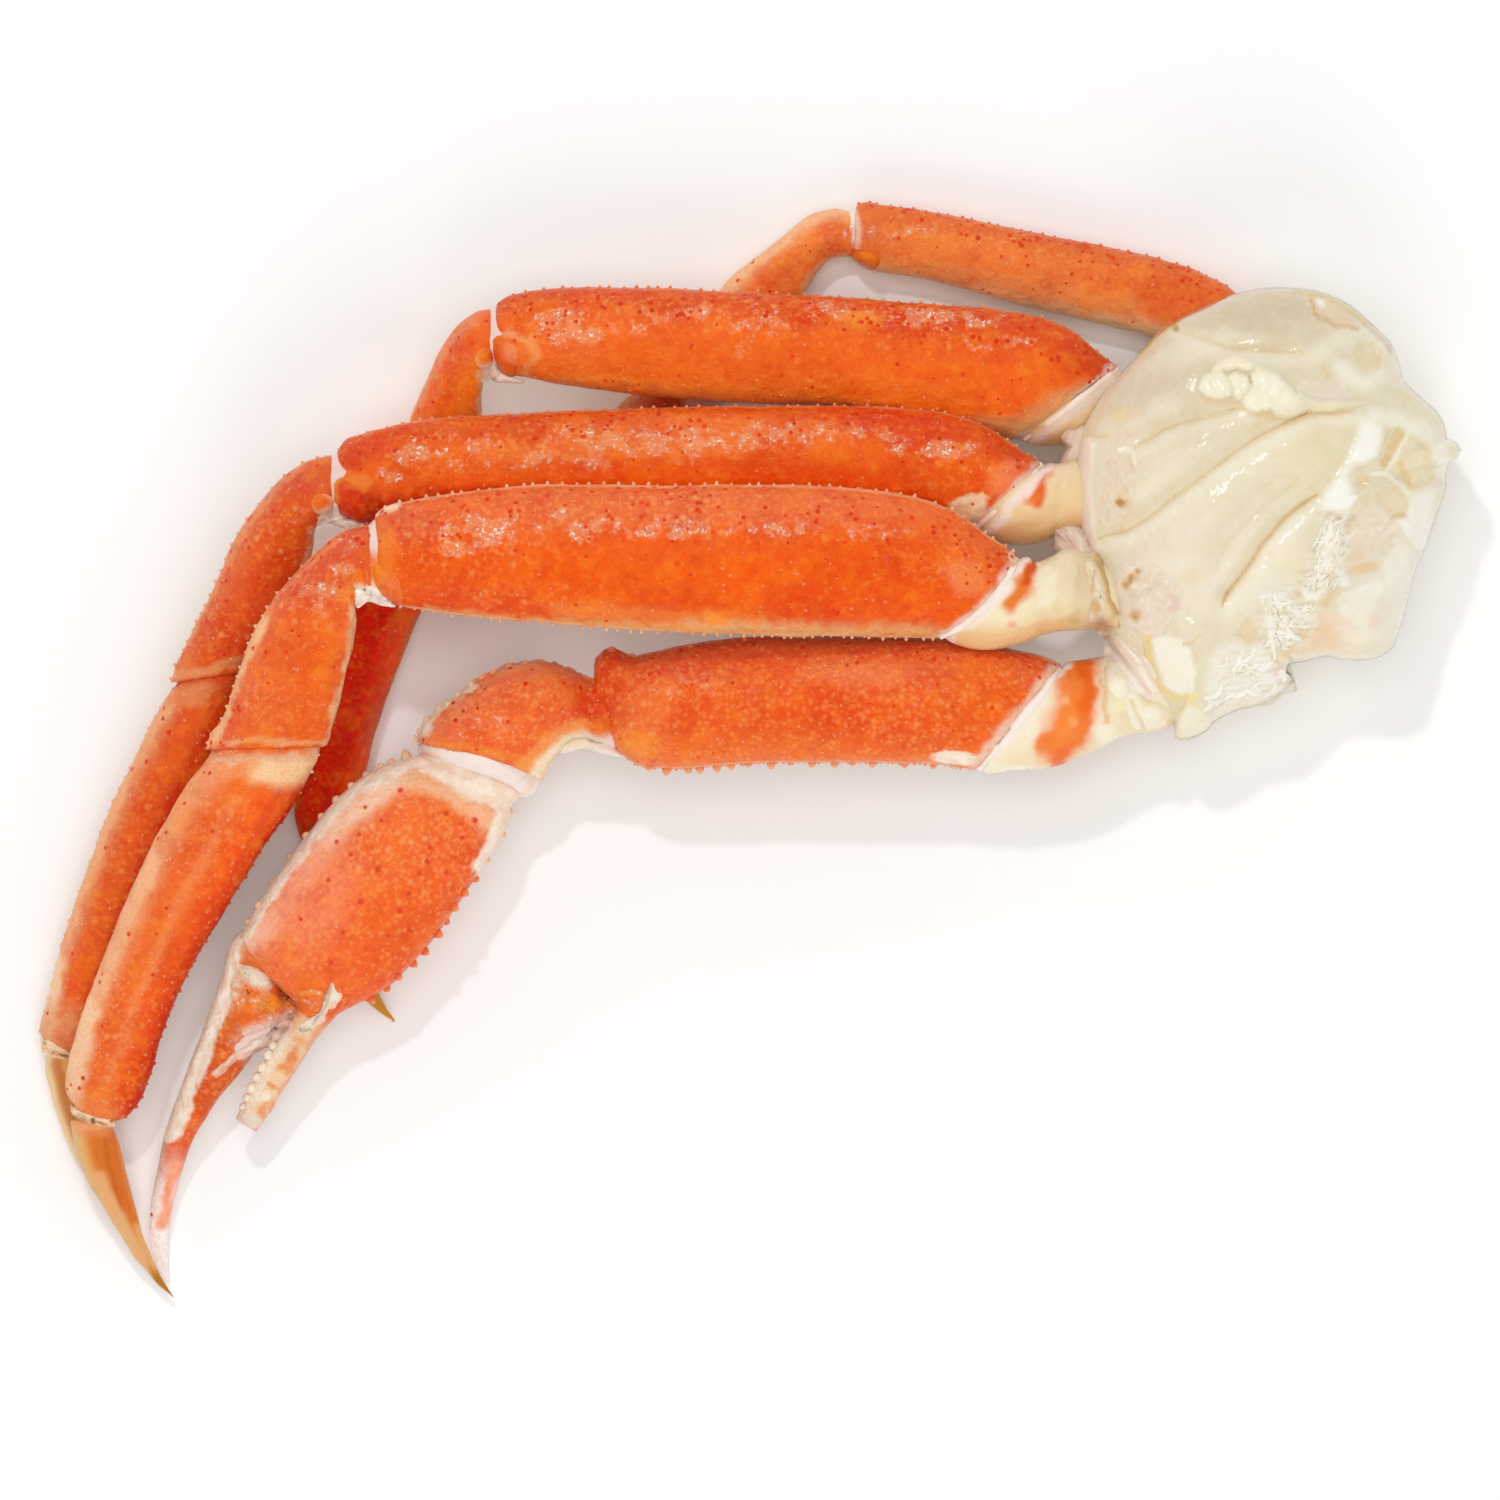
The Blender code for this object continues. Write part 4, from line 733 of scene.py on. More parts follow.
        ("blob", 966, 512, 26, 16, -30, "cream", 0.9), ("blob", 1004, 478, 20, 12, -40, PEACH, 0.5),
        ("line", [(1040, 464), (1022, 484), (1000, 506), (976, 528)], 6, (236, 196, 176), 0.9), ("blob", 1008, 452, 26, 8, 30, (206, 56, 14), 0.4)],
        relief=[("line", [(1038, 462), (974, 526)], 4, -0.3), ("line", [(1028, 460), (962, 522)], 4, 0.22), ("blob", 350, 454, 12, 16, 0, 0.7),
                ("line", [(366, 436), (369, 454), (364, 472)], 3.5, -0.45), ("blob", 376, 456, 8, 16, 0, 0.3), ("line", [(386, 434), (391, 462), (388, 492)], 4, -0.35),
                ("blob", 352, 498, 20, 22, 0, 1.1), ("line", [(334, 474), (352, 470), (374, 484), (382, 510)], 4, -0.5),
                ("line", [(380, 440), (372, 470)], 6, -0.4)],
        dots=0.8, serrate=(0, 17, 0.4, 0.4)),
    "leg2_carpus": dict(material="SHELL", base=((224, 110, 62), (224, 84, 34), (206, 56, 14)), marks=[
        ("blob", 300, 478, 26, 18, -20, (216, 78, 46), 0.7), ("blob", 296, 540, 24, 36, 10, (226, 92, 20), 0.7),
        ("blob", 230, 640, 40, 30, 20, (214, 64, 24), 0.5), ("line", [(314, 530), (312, 556), (300, 590)], 5, (238, 190, 140), 0.8),
        ("line", [(176, 676), (240, 662)], 5, (232, 160, 104), 0.8), ("line", [(300, 468), (254, 512), (220, 576), (186, 645)], 4, (238, 158, 108), 0.5)],
        relief=[("line", [(300, 500), (268, 560), (222, 650)], 8, 0.25), ("line", [(180, 668), (250, 656)], 5, 0.35), ("blob", 318, 500, 14, 14, 0, 0.4)],
        dots=0.6, serrate=(0, 15, 0.5, 0.4)),
    "leg2_propodus": dict(material="DEEP", base=((226, 130, 82), (214, 84, 32), (196, 54, 14)), marks=[
        ("line", [(172, 692), (140, 745), (108, 815), (74, 905), (44, 1010)], 9, (242, 176, 128), 0.9), ("line", [(54, 960), (46, 1010), (44, 1040)], 10, (246, 212, 172), 0.8),
        ("line", [(196, 712), (150, 800), (104, 910), (74, 1000)], 12, (232, 92, 30), 0.7), ("line", [(226, 710), (180, 790), (130, 900), (92, 1000)], 7, (206, 46, 10), 0.8), ("blob", 190, 694, 26, 14, -10, (230, 146, 92), 0.8),
        ("blob", 56, 1026, 26, 26, 30, (226, 158, 108), 0.7)],
        relief=[("line", [(184, 700), (120, 830), (60, 1000)], 7, 0.25), ("line", [(178, 692), (250, 684)], 5, 0.35)],
        dots=0.3, serrate=(0, 15, 0.3, 0.35)),
    "leg2_dactyl": dict(material="HORN", base=((236, 200, 148), (222, 160, 96), (216, 160, 96)), marks=[
        ("line", [(56, 1062), (66, 1110), (82, 1150), (104, 1190)], 5, (180, 92, 30), 0.6), ("blob", 120, 1212, 20, 14, 50, GOLD_DARK, 0.9)],
        relief=[("line", [(60, 1062), (70, 1110), (90, 1160)], 5, -0.3)]),
    "leg3_base": dict(material="BASE", base=((240, 200, 150), (240, 204, 154), (228, 180, 124)), marks=[
        ("line", [(1124, 372), (1076, 412), (1030, 444)], 6, LAVENDER, 0.7)], relief=[("line", [(1120, 390), (1080, 436)], 4, -0.3)]),
    # The near edge's colour and the pale line along the lower margin are painted lighter to offset the shade the leg
    # beside it casts there: painted light.
    "leg3_merus": dict(material="SHELL", base=((222, 80, 18), (242, 100, 24), (255, 132, 34)), marks=[
        ("line", [(560, 380), (660, 392), (780, 400), (900, 412)], 9, (252, 144, 56), 0.75), ("blob", 820, 316, 30, 10, 0, (226, 60, 14), 0.7), ("blob", 900, 322, 60, 12, 4, (224, 56, 12), 0.6),
        ("blob", 640, 306, 110, 14, 2, (236, 92, 42), 0.5), ("blob", 860, 318, 22, 10, 0, YELLOW_ORANGE, 0.8),
        ("blob", 560, 350, 50, 24, 5, (238, 108, 48), 0.6), ("blob", 512, 320, 16, 18, 0, (234, 92, 40), 0.6),
        ("blob", 514, 356, 20, 18, 0, (236, 116, 50), 0.7), ("line", [(498, 336), (512, 332), (530, 342), (536, 358), (524, 374)], 4, (242, 170, 110), 0.7),
        ("blob", 1050, 426, 56, 24, -34, (218, 164, 108), 0.95), ("blob", 1052, 430, 44, 14, -34, "cream", 0.7), ("blob", 1010, 428, 40, 10, 10, TAN, 0.7), ("blob", 1085, 402, 22, 14, -40, TAN, 0.6),
        ("blob", 1086, 360, 26, 14, 35, (214, 66, 16), 0.6), ("blob", 1000, 350, 60, 20, 12, (236, 88, 28), 0.5),
        ("line", [(1114, 370), (1086, 396), (1058, 420), (1020, 442)], 6, (236, 208, 192), 0.9), ("blob", 730, 370, 120, 18, 3, (240, 106, 36), 0.5)],
        relief=[("line", [(1116, 368), (1022, 442)], 4, -0.3), ("line", [(1104, 366), (1006, 440)], 4, 0.22), ("blob", 508, 314, 12, 17, 0, 0.6),
                ("line", [(523, 298), (527, 314), (520, 330)], 3.5, -0.4),
                ("blob", 514, 354, 20, 20, 0, 0.9), ("line", [(500, 334), (520, 332), (540, 352)], 4, -0.45)],
        dots=1.0, serrate=(0, 16, 0.5, 0.4)),
    # Colours painted lighter than the shell's own to offset the shade the merus above casts on it: painted light.
    "leg3_carpus": dict(material="SHELL", base=((246, 124, 52), (248, 112, 34), (250, 116, 30)), marks=[
        ("line", [(462, 330), (440, 366), (424, 410)], 8, (238, 84, 26), 0.5), ("blob", 468, 390, 14, 34, 10, (255, 132, 30), 0.7),
        ("line", [(484, 375), (483, 400), (482, 430)], 5, (240, 196, 150), 0.8), ("blob", 462, 350, 16, 24, 20, (226, 86, 40), 0.6),
        ("line", [(474, 316), (446, 346), (420, 404)], 4, (240, 164, 116), 0.5)],
        relief=[("line", [(466, 336), (446, 380), (430, 430)], 7, 0.3), ("blob", 478, 358, 10, 12, 0, 0.5)], dots=0.6),
    "leg3_propodus": dict(material="DEEP", base=((236, 46, 12), (232, 34, 6), (240, 76, 28)), marks=[
        ("line", [(420, 620), (398, 680), (374, 750)], 8, (206, 96, 48), 0.7), ("line", [(380, 620), (350, 720), (330, 800)], 8, (206, 26, 4), 0.7),
        ("line", [(400, 600), (376, 690), (352, 780)], 4, (206, 70, 30), 0.6), ("blob", 322, 834, 22, 16, 0, (186, 60, 24), 0.6)],
        relief=[("line", [(392, 600), (350, 740), (320, 830)], 7, 0.25), ("line", [(410, 600), (370, 740)], 6, -0.25)], dots=0.2),
    "leg3_dactyl": dict(material="HORN", base=(GOLD, (196, 126, 60), GOLD), marks=[
        ("line", [(324, 870), (336, 920), (360, 980)], 5, (180, 92, 30), 0.6), ("blob", 384, 1006, 22, 20, 40, (204, 142, 36), 0.95)],
        relief=[("line", [(324, 870), (336, 920), (360, 980)], 5, -0.3)]),
    "leg4_base": dict(material="BASE", base=((240, 200, 150), (240, 204, 154), (228, 180, 124)), marks=[], relief=[]),
    # The near edge's colour is painted lighter to offset the shade the leg beside it casts on the lower margin: painted
    # light.
    "leg4_merus": dict(material="SHELL", base=((228, 104, 46), (240, 124, 58), (250, 158, 92)), marks=[
        ("line", [(990, 306), (1060, 324), (1160, 344)], 18, (236, 198, 150), 0.95), ("line", [(860, 270), (960, 292), (1010, 302)], 9, (250, 184, 128), 0.85),

        ("line", [(930, 270), (1020, 286), (1130, 306)], 9, (242, 150, 88), 0.6),
        ("blob", 1160, 290, 60, 16, 12, (232, 96, 36), 0.6), ("blob", 868, 236, 14, 24, 0, (226, 104, 60), 0.7),
        ("line", [(857, 214), (857, 256)], 4, IVORY, 0.7)],
        relief=[("blob", 870, 226, 14, 14, 0, 0.5), ("line", [(880, 220), (880, 262)], 5, -0.3)], dots=1.0, serrate=(0, 14, 0.35, 0.35)),
    # Colours painted lighter than the shell's own to offset the shade the merus above casts on it: painted light.
    "leg4_carpus": dict(material="SHELL", base=((250, 176, 120), (250, 134, 62), (248, 126, 52)), marks=[
        ("line", [(836, 210), (800, 226), (760, 256), (726, 288)], 7, (250, 196, 148), 0.8), ("line", [(844, 254), (822, 264), (800, 292)], 4, (240, 178, 128), 0.8),
        ("blob", 832, 236, 12, 16, 0, (230, 98, 54), 0.7), ("blob", 775, 275, 22, 14, -35, (226, 94, 44), 0.6)],
        relief=[("line", [(836, 234), (800, 250), (760, 290)], 7, 0.25)], dots=0.6),
    "leg4_propodus": dict(material="DEEP", base=((216, 120, 80), (196, 70, 30), (180, 50, 16)), marks=[
        ("line", [(690, 402), (722, 405)], 8, (236, 190, 180), 0.7), ("line", [(700, 318), (640, 386), (575, 456)], 6, (228, 150, 110), 0.7)],
        relief=[("line", [(720, 350), (650, 420), (590, 480)], 6, 0.25)], dots=0.2),
    "leg4_dactyl": dict(material="HORN", base=(GOLD, (196, 126, 60), GOLD), marks=[("blob", 600, 598, 12, 12, 40, GOLD_DARK, 0.9)], relief=[]),
}


# Further detail by segment. Glint and peach ovals (x, y, rx, ry, strength): where white highlight specks, the painted
# glints, and peach grain go. dots, pale: how many dark and pale
# pimples. spines: (x, y, length, radius) on the plan. rim: strength of the pale line on the two edges.
EXTRAS = {
    "leg1_merus": dict(
        glint_paint=[(474, 530, 40, 16, 1.0), (583, 532, 30, 12, 0.8), (674, 530, 40, 10, 0.8), (790, 528, 60, 9, 0.6), (458, 547, 18, 9, 0.9), (620, 526, 60, 12, 0.5),
               (405, 512, 16, 7, 0.4), (530, 522, 40, 14, 0.45), (870, 534, 50, 9, 0.5), (905, 560, 26, 10, 0.3), (560, 516, 20, 10, 0.5), (736, 532, 24, 8, 0.7)],
        peach=[(660, 512, 260, 26, 0.9), (470, 540, 90, 34, 0.8), (520, 600, 90, 22, 0.5), (940, 560, 50, 30, 0.7), (800, 520, 120, 20, 0.7)],
        dots=1.2, pale=0.7, rim=(0.7, 0.6)),
    "leg2_merus": dict(
        glint_paint=[(412, 454, 18, 13, 1.0), (390, 476, 13, 9, 0.9), (470, 452, 60, 18, 0.5), (640, 442, 60, 14, 0.8), (690, 440, 40, 14, 0.9), (780, 434, 60, 12, 0.9), (932, 449, 40, 9, 1.0),
               (590, 436, 40, 12, 0.7), (560, 462, 60, 12, 0.5), (740, 446, 40, 10, 0.7), (860, 436, 50, 10, 0.6), (660, 462, 60, 8, 0.3)],
        peach=[(620, 436, 230, 20, 0.8), (450, 450, 70, 24, 0.7), (960, 470, 50, 24, 0.6), (820, 430, 120, 16, 0.6)],
        dots=1.3, pale=0.8, rim=(0.35, 0.0)),
    "leg3_merus": dict(
        glint_paint=[(560, 324, 26, 18, 1.0), (586, 334, 16, 10, 0.8), (640, 320, 40, 16, 0.5), (690, 312, 30, 9, 0.7), (760, 322, 40, 20, 0.4), (830, 310, 30, 10, 0.5), (940, 318, 70, 12, 0.8),
               (1000, 342, 40, 10, 0.5), (750, 350, 20, 12, 0.4)],
        peach=[(720, 312, 260, 20, 0.8), (560, 340, 60, 30, 0.6), (960, 330, 90, 22, 0.7), (700, 384, 180, 10, 0.5)],
        dots=1.6, pale=0.8, rim=(0.2, 0.0)),
    "leg4_merus": dict(peach=[(960, 240, 130, 24, 0.8), (1100, 275, 80, 20, 0.7)], glint_paint=[(900, 232, 40, 10, 0.4), (1040, 262, 60, 8, 0.3)], dots=2.2, pale=0.5),
    "claw_merus": dict(
        glint_paint=[(700, 690, 70, 20, 0.35), (930, 690, 40, 20, 0.3), (650, 700, 26, 20, 0.3)],
        peach=[(700, 690, 90, 30, 0.8), (900, 710, 90, 36, 0.7), (640, 730, 30, 24, 0.8), (1000, 700, 36, 40, 0.6)],
        pale=1.2, rim=(0.6, 0.4),
        spines=[(648, 768, 4, 3), (667, 770, 8, 4), (688, 769, 6, 3.6), (700, 769, 7, 3.6), (717, 768, 7, 3.6), (731, 767, 6, 3.4), (748, 765, 4, 3),
                (770, 765, 7, 3.6), (790, 764, 3.5, 3), (811, 764, 6, 3.4), (834, 763, 6, 3.4), (852, 763, 4, 3), (872, 763, 6, 3.4),
                (904, 763, 6, 3.4), (934, 765, 5, 3.2), (955, 768, 3.5, 3), (612, 650, 4, 4), (632, 656, 3, 3), (690, 646, 3, 3), (745, 640, 3, 3),
                (800, 638, 2.5, 3), (870, 638, 2.5, 3)]),
    "claw_carpus": dict(
        glint_paint=[(470, 720, 50, 24, 0.4)], peach=[(480, 710, 70, 34, 1.0), (550, 690, 30, 24, 0.6)], pale=1.6, rim=(0.3, 0.3),
        spines=[(571, 668, 2, 3), (556, 664, 3, 3.2), (540, 661, 3, 3.2), (524, 663, 3, 3.2), (508, 666, 3, 3.2), (494, 671, 3, 3.2), (482, 677, 3.4, 3.4),
                (470, 685, 3.4, 3.2), (459, 694, 3.4, 3.2), (449, 703, 3.4, 3.2), (437, 709, 3.4, 3.4), (427, 717, 3.4, 3.4), (419, 731, 3.4, 3.4), (414, 741, 3, 3.4)]),
    "claw_palm": dict(
        glint_paint=[(300, 870, 20, 30, 0.4), (460, 800, 40, 12, 0.3)], peach=[(400, 840, 90, 70, 1.0), (300, 930, 50, 40, 0.7)], pale=0.8,
        spines=[(404, 752, 9, 4.4), (392, 758, 4, 4), (379, 766, 4, 3.6), (366, 774, 4, 3.6), (350, 786, 4, 3.6), (336, 798, 4.4, 4), (321, 816, 4, 3.6),
                (305, 836, 4, 4), (290, 857, 4.4, 4), (273, 882, 4, 4), (258, 905, 4, 4), (247, 921, 4, 3.6), (236, 937, 4, 4), (228, 946, 5, 4),
                (511, 812, 3, 3), (504, 836, 3, 3), (488, 860, 3.5, 3), (474, 877, 6, 3.6), (464, 892, 7, 3.8), (453, 906, 8, 4), (446, 920, 6, 3.6),
                (437, 933, 8, 4), (424, 950, 7, 4), (412, 962, 8, 4), (398, 976, 6, 3.6), (386, 987, 7, 3.8), (372, 998, 8, 4)],
        redspots=[(400, 792), (365, 807), (380, 821), (336, 843), (360, 834), (350, 853), (327, 880), (431, 849), (426, 862), (420, 874), (408, 893),
                  (446, 874), (401, 911), (300, 918), (446, 812), (462, 838), (376, 870), (388, 936), (344, 932), (360, 900), (474, 820), (330, 962), (410, 930)]),
    "claw_finger": dict(peach=[(230, 1050, 40, 60, 0.8)], pale=0.6),
    "leg1_carpus": dict(
        glint_paint=[(345, 572, 14, 10, 1.0), (326, 590, 10, 12, 0.8), (310, 600, 30, 18, 0.4), (345, 540, 14, 12, 0.5)],
        peach=[(300, 600, 40, 50, 0.8), (270, 700, 50, 34, 0.7)], dots=0.7, pale=1.0, rim=(0.5, 0.0)),
    "leg2_carpus": dict(glint_paint=[(300, 500, 26, 26, 0.3)], peach=[(270, 530, 40, 40, 0.7), (220, 630, 40, 40, 0.6)], dots=0.6, pale=1.0, rim=(0.5, 0.0)),
    "leg3_carpus": dict(glint_paint=[(480, 330, 10, 14, 0.6)], peach=[(450, 370, 30, 40, 0.6)], pale=0.8, rim=(0.4, 0.0)),
    "leg4_carpus": dict(peach=[(800, 240, 50, 40, 0.8)], pale=0.6),
    "leg1_propodus": dict(peach=[(110, 980, 40, 120, 0.7), (200, 840, 50, 60, 0.6)], glint_paint=[(140, 900, 30, 70, 0.15)], pale=2.6, rim=(0.5, 0.0)),
    "leg2_propodus": dict(peach=[(120, 860, 50, 120, 0.6)], pale=2.0, rim=(0.3, 0.0)),
    "leg3_propodus": dict(pale=0.6), "leg4_propodus": dict(pale=0.4),
}
for name, extra in EXTRAS.items():
    LOOKS[name].update(extra)


SURFACES = {}


def height_over(names):
    """A function of plan position giving the height in mm of the named pieces' upper side."""
    rows = []
    for name in names:
        s = SURFACES[name]
        x, y = s.xy
        keep = np.sin(s.t) > -0.05
        rows.append(np.stack([x[keep], y[keep], s.p[..., 2][keep] * 1000], -1))
    rows = np.concatenate(rows)
    tree = kdtree.KDTree(len(rows))
    for k, (x, y, _) in enumerate(rows):
        tree.insert((x, y, 0), k)
    tree.balance()

    def read(x, y):
        x, y = np.broadcast_arrays(np.asarray(x, float), np.asarray(y, float))
        out = np.empty(x.shape)
        for k in np.ndindex(x.shape):
            near = tree.find_n((x[k], y[k], 0), 6)
            out[k] = max(rows[i][2] for _, i, d in near if d < near[0][2] + 2.5)
        return out
    return read


def apply_marks(x, y, paint, cream, marks):
    for mark in marks:
        if mark[0] == "blob":
            cx, cy, rx, ry, turn, colour, strength = mark[1:]
            amount = blob(x, y, cx, cy, rx, ry, turn, 0.5) * strength
        else:
            points, width, colour, strength = mark[1:]
            amount = stroke(x, y, points, width, 0.6) * strength
        if isinstance(colour, str):
            cream[:] = np.maximum(cream, amount)
        else:
            paint[:] = paint + (linear(*colour) - paint) * amount[..., None]


def relief_of(x, y, relief):
    total = np.zeros(np.shape(x))
    for mark in relief:
        if mark[0] == "blob":
            cx, cy, rx, ry, turn, height = mark[1:]
            c, s = math.cos(math.radians(turn)), math.sin(math.radians(turn))
            u, v = ((x - cx) * c + (y - cy) * s) / rx, (-(x - cx) * s + (y - cy) * c) / ry
            amount = np.exp(-(u * u + v * v) ** 1.3)
        else:
            points, width, height = mark[1:]
            amount = np.exp(-(line_distance(x, y, points)[0] / width) ** 2)
        total += amount * height / 1000
    return total


def pimples(surface, spots):
    """Small cones on a surface: rows of (ring, place round, radius, height) in cells and metres."""
    p, n = surface.p, surface.n
    rings, around = p.shape[:2]
    vertices, faces, sides = [], [], 7
    for ring, place, radius, height in spots:
        i, j = int(np.clip(ring, 1, rings - 2)), int(place) % around
        out, foot = n[i, j], p[i, j] - n[i, j] * radius * 0.35
        side = np.cross(out, p[i + 1, j] - p[i - 1, j])
        side /= np.linalg.norm(side) + 1e-12
        other = np.cross(out, side)
        start = len(vertices)
        for lift, wide in ((0.0, 1.0), (0.42, 0.72), (0.82, 0.36)):
            for k in range(sides):
                a = 2 * math.pi * k / sides
                vertices.append(foot + out * (height * lift + (radius * 0.35 if lift else 0)) + (side * math.cos(a) + other * math.sin(a)) * radius * wide)
        vertices.append(foot + out * (height + radius * 0.35))
        vertices.append(foot)
        for level in range(2):
            for k in range(sides):
                a, b = start + level * sides + k, start + level * sides + (k + 1) % sides
                faces.append((a, b, b + sides, a + sides))
        for k in range(sides):
            faces.append((start + 2 * sides + k, start + 2 * sides + (k + 1) % sides, start + 3 * sides))
            faces.append((start + (k + 1) % sides, start + k, start + 3 * sides + 1))
    return np.array(vertices), faces


def ovals(x, y, rows, base=0.0):
    total = np.full(np.shape(x), float(base))
    for cx, cy, rx, ry, strength in rows:
        total = np.maximum(total, blob(x, y, cx, cy, rx, ry, 0, 0.7) * strength)
    return total


def build_shell(name):
    look = LOOKS[name]
    surface = segment_surface(name)
    t, s = surface.t, surface.s
    x, y = surface.xy
    upper = ramp(np.sin(t), -0.15, 0.3)
    p0 = surface.p.copy()
    horny = look["material"] in ("SHELL", "DEEP", "CLAW")
    surface.push(upper * relief_of(x, y, look["relief"]) + clouds(p0, 0.009, 3) * 0.00026
                 + clouds(p0, 0.0026, 5, 3) * (0.00013 if horny else 0.00006))
    surface.again()
    v = (1 + np.cos(t)) / 2
    wobble = clouds(p0, 0.006, 21)
    v = np.clip(v + wobble * 0.06, 0, 1)
    far, middle, near = (linear(*c) for c in look["base"])
    paint = far + (middle - far) * ramp(v, 0.10, 0.40)[..., None]
    paint = paint + (near - paint) * ramp(v, 0.62, 0.95)[..., None]
    cream = np.zeros(v.shape)
    warp = 2.0 if look["material"] == "HORN" else 7.0
    wx, wy = x + clouds(p0, 0.0030, 31, 3) * warp, y + clouds(p0, 0.0030, 47, 3) * warp
    apply_marks(wx, wy, paint, cream, look["marks"])
    under = ramp(np.sin(t) + wobble * 0.25, -0.30, -0.8)
    if horny:
        cream = np.maximum(cream, under * 0.85)
    cloudy = clouds(p0, 0.012, 61)
    paint = paint * (1 + cloudy * 0.08)[..., None]
    edge = (1 + np.cos(t)) / 2
    for which, strength in enumerate(look.get("rim", ())):
        line = ramp(edge, 0.030, 0.008) if which == 0 else ramp(edge, 0.970, 0.992)
        line = line * ramp(np.sin(t), -0.35, -0.1) * strength * ramp(clouds(p0, 0.003, 67, 2), -0.9, 0.2)
        paint = paint + (linear(246, 206, 160) - paint) * line[..., None]
    grainy = ovals(wx, wy, look.get("peach", ()), 0.06) * ramp(np.sin(t), -0.1, 0.3)
    # where the shader paints white highlight specks, the painted glints, on the upper side
    glint_mask = ovals(x, y, look.get("glint_paint", ()), 0.06) * ramp(np.sin(t), 0.1, 0.5)
    masks = np.stack([cream, np.clip(glint_mask, 0, 1), np.clip(grainy, 0, 1)], axis=-1)
    material = {"SHELL": SHELL, "DEEP": DEEP, "CLAW": CLAW, "BASE": BASE, "HORN": HORN}[look["material"]]
    obj = surface_object(name + "_shell", surface, material, np.clip(paint, 0, 1), masks)
    finish_piece(obj, name)
    SURFACES[name] = surface
    shown = paint + (linear(238, 214, 174) - paint) * ramp(cream, 0.3, 0.7)[..., None]
    add_pimples(name, look, surface, shown, material)
    return surface


def nearest(surface, x, y, top=True):
    """Ring and place of the surface point nearest a plan position, on its upper side."""
    px, py = surface.xy
    d = np.hypot(px - x, py - y) + np.where(np.sin(surface.t) < (-0.2 if top else -2), 1e6, 0)
    return np.unravel_index(np.argmin(d), d.shape)


